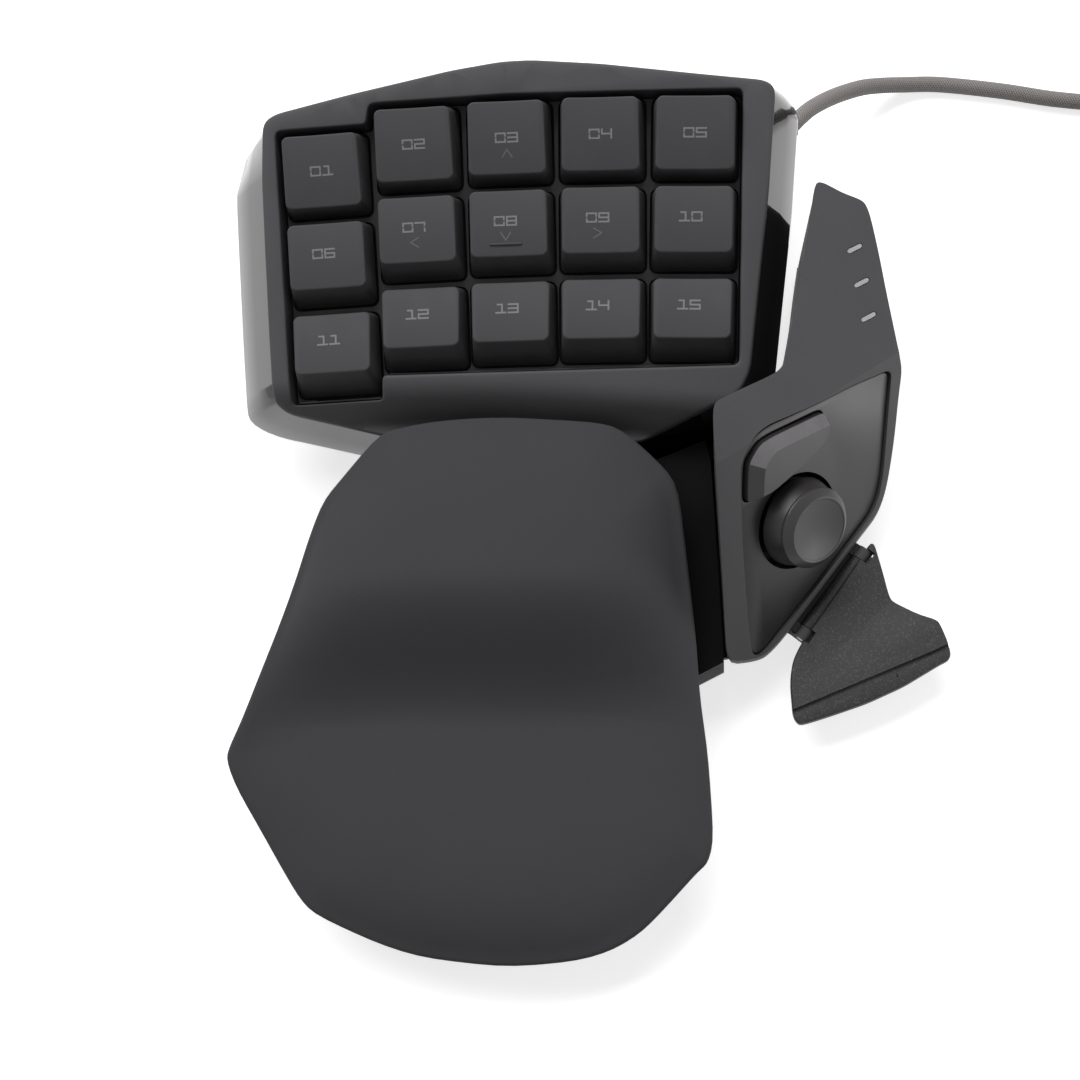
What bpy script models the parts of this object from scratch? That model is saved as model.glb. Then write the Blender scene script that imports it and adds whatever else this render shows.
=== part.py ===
"""A left-handed gaming keypad: fifteen keys on a raked deck, a sliding palm rest and a thumb wing.

Everything is in metres with +Z up. The datum is the middle key's place over the floor, with +X to the
right of the user and +Y away from the user. At the end the whole keypad is centred on the floor.
"""

from math import cos, pi, radians, sin, sqrt, tan

import bmesh
import bpy
from mathutils import Matrix, Vector

# Clearances that every piece shares
SEAT_GAP = 0.0003
RUN_GAP = 0.0004
OVERRUN = 0.002
MEET = 0.00002
GROW_STEPS = 60

# Deck: the raked plane that the caps stand on
DECK_PITCH = radians(15)
DECK_HEIGHT = 0.034
COLUMNS = 5
ROWS = 3
COLUMN_PITCH = 0.0192
ROW_PITCH = 0.01905
COLUMN_FAN = radians(1.05)
COLUMN_DROPS = (0.0054, 0.0006, 0.0, 0.0, 0.0005)
MIDDLE_COLUMN = COLUMNS // 2
MIDDLE_ROW = ROWS // 2

# Keycaps, whose rows lean as on any sculpted keyboard: rear, middle and front row
CAP_WIDTH = 0.0178
CAP_DEPTH = 0.0172
CAP_SIDE_DRAFT_SHARE = 0.11
CAP_FRONT_HEIGHTS = (0.0075, 0.0080, 0.0088)
CAP_REAR_HEIGHTS = (0.0092, 0.0078, 0.0064)
CAP_FRONT_INSETS = (0.0011, 0.0030, 0.0043)
CAP_REAR_INSETS = (0.0012, 0.0005, 0.0004)
CAP_CORNER = 0.0012
CAP_DISH = 0.0004
CAP_DISH_SHARES = (-1.0, -0.5, 0.0, 0.5, 1.0)
CAP_WALL = 0.0013
CAP_ROOF = 0.0016
KEY_TRAVEL = 0.0035
STEM_WIDTH = 0.0050
STEM_REACH = 0.0056
STEM_CLEARANCE = 0.00025

# Key stack under the caps
RECESS_MARGIN = 0.0009
RECESS_CORNER_TRIM = 0.0008
FRAME_MARGIN = 0.0005
FRAME_PLATE = 0.0012
FRAME_DROP = 0.0006
FRAME_RIM = 0.0012
SLEEVE_WALL = 0.0010
SLEEVE_RISE = 0.0001
DOME_HEIGHT = 0.0034
DOME_FOOT_RADIUS = 0.0046
DOME_CROWN_RADIUS = 0.0026
DOME_WALL = 0.0007
DOME_SIDES = 8
DOME_SHEET = 0.0004
MEMBRANE_SHEET = 0.0003
BACKING_SHEET = 0.0008
BOARD_THICKNESS = 0.0016
BOARD_WIDTH = 0.0640
BOARD_DEPTH = 0.0300
BOARD_SHIFT = 0.0060

# Bezel: the matt cover around the keys, whose front falls away to the palm rest
BEZEL_WIDTH = 0.1080
BEZEL_DEPTH = 0.0816
BEZEL_RISE = 0.0060
BEZEL_SHEET = 0.0020
FALL_START = 0.0318
FALL_SHARE = 0.35
COLLAR_WALL = 0.0008
COLLAR_BED = 0.0010
BEZEL_OUTLINE_SHARES = (
    (-0.473, -0.424), (-0.449, -0.452), (-0.359, -0.482), (-0.252, -0.518),
    (-0.093, -0.556), (0.111, -0.566), (0.244, -0.548), (0.382, -0.466),
    (0.436, -0.434), (0.458, -0.379), (0.477, -0.173), (0.501, 0.078),
    (0.511, 0.230), (0.518, 0.337), (0.500, 0.359), (0.375, 0.382),
    (0.183, 0.419), (0.048, 0.436), (-0.010, 0.435), (-0.107, 0.418),
    (-0.305, 0.368), (-0.458, 0.324), (-0.481, 0.301), (-0.485, 0.154),
    (-0.482, -0.027), (-0.478, -0.234),
)

# Housing: the glossy tray under the bezel, flared to a belt and tucked in below it
HOUSING_WALL = 0.0012
LEFT_FLARE = 0.0088
RIGHT_FLARE = 0.0053
REAR_FLARE = 0.0045
FRONT_FLARE = 0.0020
BELT_REAR_HEIGHT = 0.0320
BELT_FRONT_HEIGHT = 0.0170
LOWER_TUCK = 0.0045
FRONT_TUCK = 0.0020
FLANGE_WIDTH = 0.0052
FLANGE_HEIGHT = 0.0036

# Base, which reaches a little further to the user than the thumb wing
WING_REAR = 0.0059
WING_LENGTH = 0.0955
WING_FRONT = WING_LENGTH - WING_REAR
SPINE_PROUD = 0.0024
FOOT_HEIGHT = 0.0018
FOOT_RADIUS = 0.0050
FOOT_INLAND_SHARE = 0.72
PLATE_THICKNESS = 0.0020
SPINE_LEFT = 0.0275
SPINE_LENGTH = WING_FRONT + SPINE_PROUD
SPINE_FRONT_RISE = 0.0030
SPINE_CORNER_SHARE = 0.78
COVER_REAR_HEIGHT = 0.0170
COVER_FRONT_HEIGHT = 0.0135
COVER_WALL = 0.0016
COVER_GAP = 0.0006
SCREW_RADIUS = 0.0011
SCREW_HEAD_RADIUS = 0.0026
SCREW_HEAD_HEIGHT = 0.0011
SCREW_LENGTH = 0.0080
SCREW_SIDES = 10
SCREW_POINTS = (0, 8, 13, 22)

# Palm rest
PALM_WIDTH = 0.1010
PALM_LENGTH = 0.1123
PALM_AXIS = 0.0110
PALM_REAR = 0.0385
PALM_RIM_REAR = 0.0292
PALM_RIM_FRONT = 0.0110
PALM_CREST_REAR = 0.0330
PALM_CREST_FRONT = 0.0190
PALM_FALL_SHARES = (0.30, 0.58)
PALM_RING_SHARES = (1.0, 0.95, 0.80, 0.55, 0.28)
PALM_WALL = 0.0024
PALM_UNDERCUT = 0.0040
PALM_BAND = 0.0046
PALM_FRONT_CLEARANCE = 0.0060
PALM_SIDE_CLEARANCE = 0.0050
PALM_LIP = 0.0013
PALM_TRAVEL = 0.0160
PALM_MIDDLE_SHARE = 0.52
PALM_OUTLINE_SHARES = (
    (0.080, 0.0), (-0.052, -0.004), (-0.139, -0.017), (-0.178, -0.029),
    (-0.256, -0.109), (-0.295, -0.150), (-0.326, -0.222), (-0.350, -0.290),
    (-0.384, -0.373), (-0.428, -0.469), (-0.465, -0.551), (-0.490, -0.598),
    (-0.498, -0.622), (-0.477, -0.673), (-0.426, -0.750), (-0.378, -0.825),
    (-0.341, -0.879), (-0.309, -0.906), (-0.180, -0.958), (-0.088, -0.983),
    (0.078, -1.0), (0.213, -0.991), (0.287, -0.974), (0.349, -0.943),
    (0.401, -0.898), (0.468, -0.834), (0.489, -0.819), (0.502, -0.777),
    (0.494, -0.623), (0.480, -0.523), (0.475, -0.416), (0.460, -0.273),
    (0.445, -0.134), (0.403, -0.089), (0.336, -0.033), (0.290, -0.016),
)
TRAY_GAP = 0.0035
TRAY_REAR = SPINE_LENGTH + TRAY_GAP
RUNNER_WIDTH = 0.0100
RUNNER_HEIGHT = 0.0040
RUNNER_SPREAD = 0.0090
RUNNER_LENGTH = 0.0380
RUNNER_ROOT = 0.0040
LATCH_RADIUS = 0.0045
LATCH_FLANGE = 0.0012
LATCH_SINK = 0.0009
LATCH_FLANGE_SHEET = 0.0010
LATCH_PLACE = 0.0130
LATCH_TRAVEL = 0.0015
PALM_FOOT_SPREAD = 0.0230
PALM_FOOT_PLACE = 0.0340

# Thumb wing: a top plate and a steep panel that meet in a fold through the crest
WING_LEFT = 0.0414
WING_WIDTH = 0.0396
CREST_SHARE = 0.39372
CREST = Vector((0.0465, CREST_SHARE * WING_LENGTH - WING_FRONT, 0.0435))
TOP_FALL_SHARE = 0.542
TOP_RISE_SHARE = 0.1405
PANEL_ELEVATION = radians(38)
PANEL_AZIMUTH = radians(-37.52)
WING_WALL = 0.0015
WING_BAND = 0.0030
WING_TUCK = 0.0045
WING_END_TUCK = 0.0030
WING_OUTLINE_SHARES = (
    (0.558, 0.997), (0.520, 0.905), (0.490, 0.823), (0.442, 0.731),
    (0.404, 0.658), (0.376, 0.600), (0.353, 0.580), (0.311, 0.564),
    (0.192, 0.534), (0.045, 0.497), (0.010, 0.485), (0.0, 0.457),
    (0.018, 0.280), (0.030, 0.172), (0.045, 0.0), (0.162, 0.012),
    (0.237, 0.024), (0.290, 0.044), (0.346, 0.070), (0.790, 0.306),
    (0.869, 0.347), (0.912, 0.388), (0.934, 0.428), (0.960, 0.492),
    (0.985, 0.586), (1.0, 0.626), (0.980, 0.655), (0.955, 0.712),
    (0.922, 0.785), (0.891, 0.862), (0.854, 0.939), (0.833, 0.966),
    (0.808, 0.978), (0.707, 0.985), (0.639, 0.995), (0.596, 1.0),
)

# Thumb panel, in its own frame: along the hinge line, up the slope and out of the face
STICK_SHARE = 0.29319
STICK_PLACE = Vector((0.0588, STICK_SHARE * WING_LENGTH - WING_FRONT, 0.0))
PANEL_LENGTH = 0.0640
PANEL_HEIGHT = 0.0400
PANEL_SINK = 0.0006
PANEL_SHEET = 0.0016
PANEL_LIP = 0.0007
PANEL_OUTLINE_SHARES = (
    (0.578, 0.133), (0.428, 0.288), (0.303, 0.400), (0.125, 0.575),
    (0.055, 0.608), (-0.023, 0.570), (-0.103, 0.413), (-0.203, 0.203),
    (-0.327, -0.078), (-0.417, -0.303), (-0.406, -0.358), (-0.369, -0.375),
    (-0.286, -0.380), (0.145, -0.395), (0.205, -0.393), (0.266, -0.360),
    (0.330, -0.278),
)
BUTTON_PLACE = Vector((0.0065, 0.0159, 0.0))
BUTTON_LENGTH = 0.0243
BUTTON_HEIGHT = 0.0126
BUTTON_RISE = 0.0022
BUTTON_ROOT = 0.0034
BUTTON_BEVEL = 0.0012
BUTTON_TRAVEL = 0.0010
BUTTON_OUTLINE_SHARES = (
    (0.502, -0.262), (0.502, -0.159), (0.021, 0.397), (-0.103, 0.500),
    (-0.288, 0.444), (-0.498, 0.0), (-0.498, -0.079), (-0.354, -0.238),
    (-0.004, -0.421), (0.276, -0.500), (0.412, -0.444),
)
SWITCH_WIDTH = 0.0060
SWITCH_PLACE = Vector((0.0060, 0.0150, 0.0))

# Thumbstick
SOCKET_RADIUS = 0.0105
SOCKET_WALL = 0.0009
SOCKET_DEPTH = 0.0073
STICK_HOLE_RADIUS = 0.0104
STICK_RADIUS = 0.00865
STICK_HEIGHT = 0.0061
STICK_SKIRT = 0.0006
STICK_SKIRT_RADIUS = 0.0080
STICK_RIM_DROP = 0.0016
STICK_FACE_RADIUS = 0.0068
STICK_DISH = 0.0006
STICK_CAP_SHEET = 0.0022
PIVOT_DEPTH = 0.0046
GIMBAL_RADIUS = 0.0087
GIMBAL_BORE = 0.0071
GIMBAL_HALF = 0.0010
GIMBAL_PIN_RADIUS = 0.0007
STICK_SHAFT_RADIUS = 0.0022
STICK_SIDES = 24
THUMB_BOARD_WIDTH = 0.0160
THUMB_BOARD_HEIGHT = 0.0250
THUMB_BOARD_SHEET = 0.0010
THUMB_BOARD_SHARES = ((-0.375, -0.28), (0.44, -0.28), (0.60, 0.45), (0.60, 0.72), (0.19, 0.72), (-0.375, 0.12))

# Indicator lights
LIGHT_COUNT = 3
LIGHT_SHARE = 0.86702
LIGHT_STEP_SHARE = 0.07277
LIGHT_FIRST = Vector((0.0715, LIGHT_SHARE * WING_LENGTH - WING_FRONT, 0.0))
LIGHT_STEP = Vector((0.00125, -LIGHT_STEP_SHARE * WING_LENGTH, 0.0))
LIGHT_LENGTH = 0.0034
LIGHT_WIDTH = 0.0010
LIGHT_TURN = radians(12)
LIGHT_BAR_WIDTH = 0.0050
LIGHT_BAR_SHEET = 0.0012

# Thumb paddle
PADDLE_LENGTH = 0.0417
PADDLE_REACH = 0.0303
PADDLE_TOP = 0.0088
PADDLE_SHEET = 0.0022
PADDLE_LIP = 0.0042
PADDLE_LIP_WIDTH = 0.0022
PADDLE_GROOVE = 0.0006
PADDLE_TURN = radians(4)
PADDLE_HINGE_OFFSET = 0.0026
PADDLE_HINGE_HEIGHT = 0.0068
BARREL_RADIUS = 0.0018
BARREL_LENGTH = 0.0180
BARREL_SIDES = 12
PIN_RADIUS = 0.0008
EAR_WIDTH = 0.0026
EAR_ROOT = 0.0004
PADDLE_OUTLINE_SHARES = (
    (0.691, 0.086), (0.592, 0.257), (0.487, 0.426), (0.484, 0.472),
    (0.506, 0.653), (0.537, 0.772), (0.523, 0.818), (0.482, 0.908),
    (0.434, 0.987), (0.403, 1.0), (0.362, 0.970), (0.161, 0.858),
    (-0.019, 0.723), (-0.182, 0.571), (-0.293, 0.462), (-0.309, 0.429),
    (-0.293, 0.370), (-0.233, 0.300), (-0.163, 0.218), (-0.072, 0.146),
    (0.020, 0.120),
)

# Cord
CORD_DIAMETER = 0.0036
CORD_FLOOR = 0.0019
COIL_FLOOR = 0.0032
CORD_STEPS = 78
CORD_ROUTE = (
    Vector((0.0598, 0.0286, 0.0213)), Vector((0.0622, 0.0315, 0.0204)),
    Vector((0.0652, 0.0350, 0.0180)), Vector((0.0702, 0.0398, 0.0132)),
    Vector((0.0764, 0.0441, 0.0083)), Vector((0.0812, 0.0461, 0.0052)),
    Vector((0.0872, 0.0474, 0.0026)), Vector((0.0952, 0.0474, CORD_FLOOR)),
    Vector((0.1085, 0.0452, CORD_FLOOR)), Vector((0.1215, 0.0424, CORD_FLOOR)),
    Vector((0.1335, 0.0412, CORD_FLOOR)), Vector((0.1420, 0.0440, CORD_FLOOR)),
    Vector((0.1500, 0.0482, 0.0026)), Vector((0.1580, 0.0496, COIL_FLOOR)),
    Vector((0.1650, 0.0496, COIL_FLOOR)),
)
RELIEF_LENGTH = 0.0110
RELIEF_ROOT_RADIUS = 0.0032
RELIEF_TIP_RADIUS = 0.0024
RELIEF_SIDES = 12
COIL_RADIUS = 0.0210
COIL_TURNS = 12
COIL_LAYERS = 4
COIL_LOOP_POINTS = 24
COIL_SPACING = 0.0041
COIL_ENTRY = 0.0060
TAIL_LENGTH = 0.0460
TAIL_HEIGHT = 0.0040
TAIL_STEPS = 12
TAIL_LEVEL_SHARE = 0.34
TAIL_END_SHARE = 0.10
TIE_WIDTH = 0.0080
TIE_SHEET = 0.0009
TIE_GAP = 0.0005
PLUG_LENGTH = 0.0200
PLUG_WIDTH = 0.0140
PLUG_HEIGHT = 0.0072
PLUG_TAIL = 0.0080
PLUG_SHELL_LENGTH = 0.0118
PLUG_SHELL_WIDTH = 0.0120
PLUG_SHELL_HEIGHT = 0.0045
PLUG_WALL = 0.0004

# Finishes: colour, roughness and metallic value
FINISHES = {
    "matt_grey": ((0.092, 0.092, 0.096), 0.62, 0.0),
    "cap_grey": ((0.062, 0.062, 0.065), 0.60, 0.0),
    "gloss_black": ((0.022, 0.021, 0.021), 0.12, 0.0),
    "soft_touch": ((0.058, 0.058, 0.061), 0.80, 0.0),
    "panel_brown": ((0.120, 0.112, 0.113), 0.42, 0.0),
    "button_satin": ((0.100, 0.096, 0.098), 0.35, 0.0),
    "paddle_sparkle": ((0.060, 0.058, 0.060), 0.50, 0.0),
    "rubber": ((0.030, 0.030, 0.030), 0.85, 0.0),
    "silicone": ((0.600, 0.620, 0.620), 0.60, 0.0),
    "film": ((0.700, 0.740, 0.720), 0.30, 0.0),
    "steel": ((0.550, 0.550, 0.560), 0.35, 1.0),
    "board_green": ((0.030, 0.140, 0.070), 0.45, 0.0),
    "white_light": ((0.820, 0.820, 0.800), 0.25, 0.0),
    "black_plastic": ((0.035, 0.035, 0.036), 0.45, 0.0),
    "braid": ((0.150, 0.140, 0.138), 0.75, 0.0),
}


def clear_scene():
    """Removes what the scene holds."""
    for thing in list(bpy.data.objects):
        bpy.data.objects.remove(thing, do_unlink=True)


def finish_material(name):
    """The material of that finish, made once."""
    if name in bpy.data.materials:
        return bpy.data.materials[name]
    colour, roughness, metallic = FINISHES[name]
    material = bpy.data.materials.new(name)
    material.use_nodes = True
    shader = material.node_tree.nodes["Principled BSDF"]
    shader.inputs["Base Color"].default_value = (*colour, 1.0)
    shader.inputs["Roughness"].default_value = roughness
    shader.inputs["Metallic"].default_value = metallic
    return material


def add_empty(name, parent=None, place=(0, 0, 0), turn=None):
    """An empty that carries a sub-assembly."""
    empty = bpy.data.objects.new(name, None)
    bpy.context.scene.collection.objects.link(empty)
    empty.parent = parent
    matrix = Matrix.Translation(place)
    empty.matrix_local = matrix @ turn.to_4x4() if turn else matrix
    return empty


def add_solid(name, shape, finish, parent, place=(0, 0, 0), smooth=False):
    """A named object from a bmesh, with its own finish."""
    bmesh.ops.recalc_face_normals(shape, faces=shape.faces)
    mesh = bpy.data.meshes.new(name)
    shape.to_mesh(mesh)
    shape.free()
    if smooth:
        mesh.shade_smooth()
        mesh.set_sharp_from_angle(angle=radians(35))
    solid = bpy.data.objects.new(name, mesh)
    mesh.materials.append(finish_material(finish))
    bpy.context.scene.collection.objects.link(solid)
    solid.parent = parent
    solid.location = place
    return solid


def combine(solid, shape, operation, parent, place=(0, 0, 0)):
    """Cuts the shape out of the solid, or joins it on."""
    tool = add_solid(f"{solid.name}_tool", shape, "rubber", parent, place)
    tool.hide_render = True
    tool.display_type = "WIRE"
    modifier = solid.modifiers.new(operation.lower(), "BOOLEAN")
    modifier.operation = operation
    modifier.solver = "EXACT"
    modifier.object = tool
    return tool


def signed_area(outline):
    """Twice the outline's area, positive when it runs anticlockwise."""
    return sum(a[0] * b[1] - b[0] * a[1] for a, b in zip(outline, outline[1:] + outline[:1]))


def outward_normals(outline):
    """The outward direction at each corner, and how far a mitre reaches there."""
    side = 1 if signed_area(outline) > 0 else -1
    normals = []
    count = len(outline)
    for i in range(count):
        before = Vector(outline[i]) - Vector(outline[i - 1])
        after = Vector(outline[(i + 1) % count]) - Vector(outline[i])
        first = Vector((before.y, -before.x)).normalized() * side
        second = Vector((after.y, -after.x)).normalized() * side
        middle = (first + second).normalized()
        normals.append((middle, 1 / max(middle.dot(second), 0.4)))
    return normals


def grown(outline, distance):
    """The outline moved outwards by a distance, or inwards by a negative one, in small steps.

    Corners that meet on the way stay together, so the count of points never changes.
    """
    count = len(outline)
    places = [Vector(point) for point in outline]
    owners = list(range(count))
    for _ in range(GROW_STEPS):
        kept = sorted(set(owners))
        ring = [places[i] for i in kept]
        step = distance / GROW_STEPS
        after = [p + normal * step * reach for p, (normal, reach) in zip(ring, outward_normals(ring))]
        for j, i in enumerate(kept):
            places[i] = after[j]
        for j, i in enumerate(kept):
            k = (j + 1) % len(kept)
            if (after[k] - after[j]).dot(ring[k] - ring[j]) < MEET * MEET:
                follower = kept[k]
                places[i] = (after[j] + after[k]) / 2
                owners = [owners[i] if owner == follower else owner for owner in owners]
                break
    return [tuple(places[owner]) for owner in owners]


def loft(loops, closed=False):
    """A solid through loops of equal counts, with flat ends, or closed into a ring."""
    shape = bmesh.new()
    rows = [[shape.verts.new(point) for point in loop] for loop in loops]
    pairs = list(zip(rows, rows[1:]))
    if closed:
        pairs.append((rows[-1], rows[0]))
    else:
        shape.faces.new(reversed(rows[0]))
        shape.faces.new(rows[-1])
    for lower, upper in pairs:
        for i in range(len(lower)):
            j = (i + 1) % len(lower)
            shape.faces.new((lower[i], lower[j], upper[j], upper[i]))
    bmesh.ops.remove_doubles(shape, verts=shape.verts, dist=MEET / 4)
    return shape


def prism(outline, low, high):
    """An upright block of that outline."""
    return loft([[(x, y, z) for x, y in outline] for z in (low, high)])


def ring_prism(outer, inner, low, high):
    """An upright block with an upright hole, where heights may follow the place."""
    shape = bmesh.new()
    edges = []
    for outline in (outer, inner):
        corners = [shape.verts.new((x, y, 0)) for x, y in outline]
        edges += [shape.edges.new(pair) for pair in zip(corners, corners[1:] + corners[:1])]
    bmesh.ops.triangle_fill(shape, use_beauty=True, edges=edges)
    made = bmesh.ops.extrude_face_region(shape, geom=shape.faces[:])
    tops = {corner for corner in made["geom"] if isinstance(corner, bmesh.types.BMVert)}
    for corner in shape.verts:
        level = high if corner in tops else low
        corner.co.z = level(corner.co.x, corner.co.y) if callable(level) else level
    return shape


def box(width, depth, low, high, centre=(0, 0)):
    """A block centred on a place in plan."""
    x, y = centre
    outline = [
        (x - width / 2, y - depth / 2), (x + width / 2, y - depth / 2),
        (x + width / 2, y + depth / 2), (x - width / 2, y + depth / 2),
    ]
    return prism(outline, low, high)


def circle(radius, sides, centre=(0, 0), start=0.0):
    """Points round a centre."""
    step = 2 * pi / sides
    return [
        (centre[0] + radius * cos(start + step * i), centre[1] + radius * sin(start + step * i))
        for i in range(sides)
    ]


def turned(profile, sides):
    """A solid of revolution through (radius, height) pairs, from its foot to its top."""
    return loft([[(x, y, z) for x, y in circle(radius, sides)] for radius, z in profile])


def stepped_pipe(outer, inner, sides):
    """A turned ring between an outer and an inner profile of (radius, height) pairs."""
    profile = outer + inner[::-1]
    loops = [[(x, y, z) for x, y in circle(radius, sides)] for radius, z in profile]
    return loft(loops, closed=True)


def add_shapes(shapes):
    """One bmesh that holds them all."""
    whole = bmesh.new()
    for shape in shapes:
        mesh = bpy.data.meshes.new("scratch")
        bmesh.ops.recalc_face_normals(shape, faces=shape.faces)
        shape.to_mesh(mesh)
        shape.free()
        whole.from_mesh(mesh)
        bpy.data.meshes.remove(mesh)
    return whole


def moved(shape, matrix):
    """The same shape, placed by a matrix."""
    bmesh.ops.transform(shape, matrix=matrix, verts=shape.verts)
    return shape


def scaled_outline(shares, width, depth, corner=(0, 0)):
    """An outline in metres from its shares of two sizes."""
    return [(corner[0] + x * width, corner[1] + y * depth) for x, y in shares]


def deck_point(u, v, w):
    """A place on the deck, in the datum's frame."""
    return Vector((
        u,
        v * cos(DECK_PITCH) - w * sin(DECK_PITCH),
        DECK_HEIGHT + v * sin(DECK_PITCH) + w * cos(DECK_PITCH),
    ))


def key_places():
    """Each key's number, row, place on the deck and turn, from the rear left."""
    places = []
    for row in range(ROWS):
        for column in range(COLUMNS):
            turn = COLUMN_FAN * (MIDDLE_COLUMN - column)
            back = ROW_PITCH * (MIDDLE_ROW - row)
            u = COLUMN_PITCH * (column - MIDDLE_COLUMN) - back * sin(turn)
            v = back * cos(turn) - COLUMN_DROPS[column]
            places.append((row * COLUMNS + column + 1, row, u, v, turn))
    return places


def cap_corner(number, across, along):
    """A corner of that key's foot on the deck, across and along in halves of its size."""
    _, _, u, v, turn = key_places()[number - 1]
    x = across * CAP_WIDTH / 2
    y = along * CAP_DEPTH / 2
    return u + x * cos(turn) - y * sin(turn), v + x * sin(turn) + y * cos(turn)


def recess_outline():
    """The opening in the bezel, which steps down with the first column."""
    far_left = cap_corner(1, -1, 1)
    step_rear = cap_corner(2, -1, 1)
    far_right = cap_corner(COLUMNS, 1, 1)
    near_right = cap_corner(COLUMNS * ROWS, 1, -1)
    near_step = cap_corner(COLUMNS * (ROWS - 1) + 2, -1, -1)
    near_left = cap_corner(COLUMNS * (ROWS - 1) + 1, -1, -1)
    near_first = cap_corner(COLUMNS * (ROWS - 1) + 1, 1, -1)
    first_rear = cap_corner(1, 1, 1)
    rear_middle = cap_corner(MIDDLE_COLUMN + 1, 0, 1)
    gap = COLUMN_PITCH - CAP_WIDTH
    m = RECESS_MARGIN
    trim = RECESS_CORNER_TRIM
    return [
        (near_left[0] - m, near_left[1] - m), (near_first[0] + gap / 2, near_first[1] - m),
        (near_step[0] - gap / 2 + trim, near_step[1] - m), (near_right[0] + m - trim, near_right[1] - m),
        (near_right[0] + m, near_right[1] - m + trim), (far_right[0] + m, far_right[1] + m - trim),
        (far_right[0] + m - trim, far_right[1] + m), (rear_middle[0], rear_middle[1] + m),
        (step_rear[0] - gap / 2 + trim, step_rear[1] + m), (step_rear[0] - gap / 2, step_rear[1] + m - trim),
        (first_rear[0] + gap / 2, first_rear[1] + m), (far_left[0] - m + trim, far_left[1] + m),
        (far_left[0] - m, far_left[1] + m - trim),
    ]


def bezel_outline():
    """The bezel's outer edge on the deck."""
    return scaled_outline(BEZEL_OUTLINE_SHARES, BEZEL_WIDTH, BEZEL_DEPTH)


def bezel_top(u, v):
    """Height of the bezel's face over the deck, which falls away at the front."""
    return BEZEL_RISE - max(0.0, -FALL_START - v) * FALL_SHARE


def build_keycap(number, row, u, v, turn, deck):
    """One hollow cap with a dished top and a square stem."""
    front, rear = CAP_FRONT_HEIGHTS[row], CAP_REAR_HEIGHTS[row]
    near = -CAP_DEPTH / 2 + CAP_FRONT_INSETS[row]
    far = CAP_DEPTH / 2 - CAP_REAR_INSETS[row]
    shares = CAP_DISH_SHARES
    edge = []
    for along, height, order in ((near, front, 1), (far, rear, -1)):
        half = CAP_WIDTH / 2 - CAP_SIDE_DRAFT_SHARE * height - CAP_CORNER
        for share in shares[::order]:
            edge.append((half * share, along, height - CAP_DISH * (1 - share * share)))
        side = order * (half + CAP_CORNER)
        edge.append((side, along + order * CAP_CORNER, height))
        other_half = CAP_WIDTH / 2 - CAP_SIDE_DRAFT_SHARE * (rear if order == 1 else front)
        ahead = far if order == 1 else near
        edge.append((order * other_half, ahead - order * CAP_CORNER, rear if order == 1 else front))
    foot = []
    half = CAP_WIDTH / 2 - CAP_CORNER
    for order in (1, -1):
        for share in shares[::order]:
            foot.append((half * share, -order * CAP_DEPTH / 2, 0))
        foot.append((order * CAP_WIDTH / 2, -order * (CAP_DEPTH / 2 - CAP_CORNER), 0))
        foot.append((order * CAP_WIDTH / 2, order * (CAP_DEPTH / 2 - CAP_CORNER), 0))
    shape = bmesh.new()
    tops = [shape.verts.new(point) for point in edge]
    feet = [shape.verts.new(point) for point in foot]
    count = len(tops)
    for i in range(count):
        j = (i + 1) % count
        shape.faces.new((feet[i], feet[j], tops[j], tops[i]))
    strips = len(shares)
    for i in range(strips - 1):
        back = count // 2 + strips - 1 - i
        shape.faces.new((tops[i], tops[i + 1], tops[back - 1], tops[back]))
    shape.faces.new((tops[strips - 1], tops[strips], tops[strips + 1], tops[count // 2]))
    shape.faces.new((tops[count // 2 + strips - 1], tops[-2], tops[-1], tops[0]))
    shape.faces.new(feet[::-1])
    cap = add_solid(f"keycap_{number:02d}", shape, "cap_grey", deck, (u, v, 0), True)
    cap.rotation_euler.z = turn
    ceiling = min(front, rear) - CAP_ROOF
    lean = CAP_WIDTH / 2 - CAP_WALL
    top_near = near + CAP_WALL
    top_far = far - CAP_WALL
    top_half = lean - CAP_SIDE_DRAFT_SHARE * ceiling
    low = -CAP_DEPTH / 2 + CAP_WALL
    hollow = loft([
        [(-lean, low, -SEAT_GAP), (lean, low, -SEAT_GAP), (lean, -low, -SEAT_GAP), (-lean, -low, -SEAT_GAP)],
        [(-top_half, top_near, ceiling), (top_half, top_near, ceiling),
         (top_half, top_far, ceiling), (-top_half, top_far, ceiling)],
    ])
    for shape, kind in ((hollow, "DIFFERENCE"),
                        (box(STEM_WIDTH, STEM_WIDTH, -STEM_REACH, ceiling + CAP_ROOF / 2), "UNION")):
        tool = combine(cap, shape, kind, deck, (u, v, 0))
        tool.rotation_euler.z = turn
    return cap


def stack_levels():
    """Top height of each layer under the caps, over the deck, and its thickness."""
    frame = -KEY_TRAVEL - FRAME_DROP
    dome = -STEM_REACH - SEAT_GAP - DOME_HEIGHT
    membrane = dome - DOME_SHEET - SEAT_GAP
    backing = membrane - MEMBRANE_SHEET - SEAT_GAP
    board = backing - BACKING_SHEET - SEAT_GAP
    return {"frame": frame, "dome": dome, "membrane": membrane, "backing": backing, "board": board}


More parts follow.
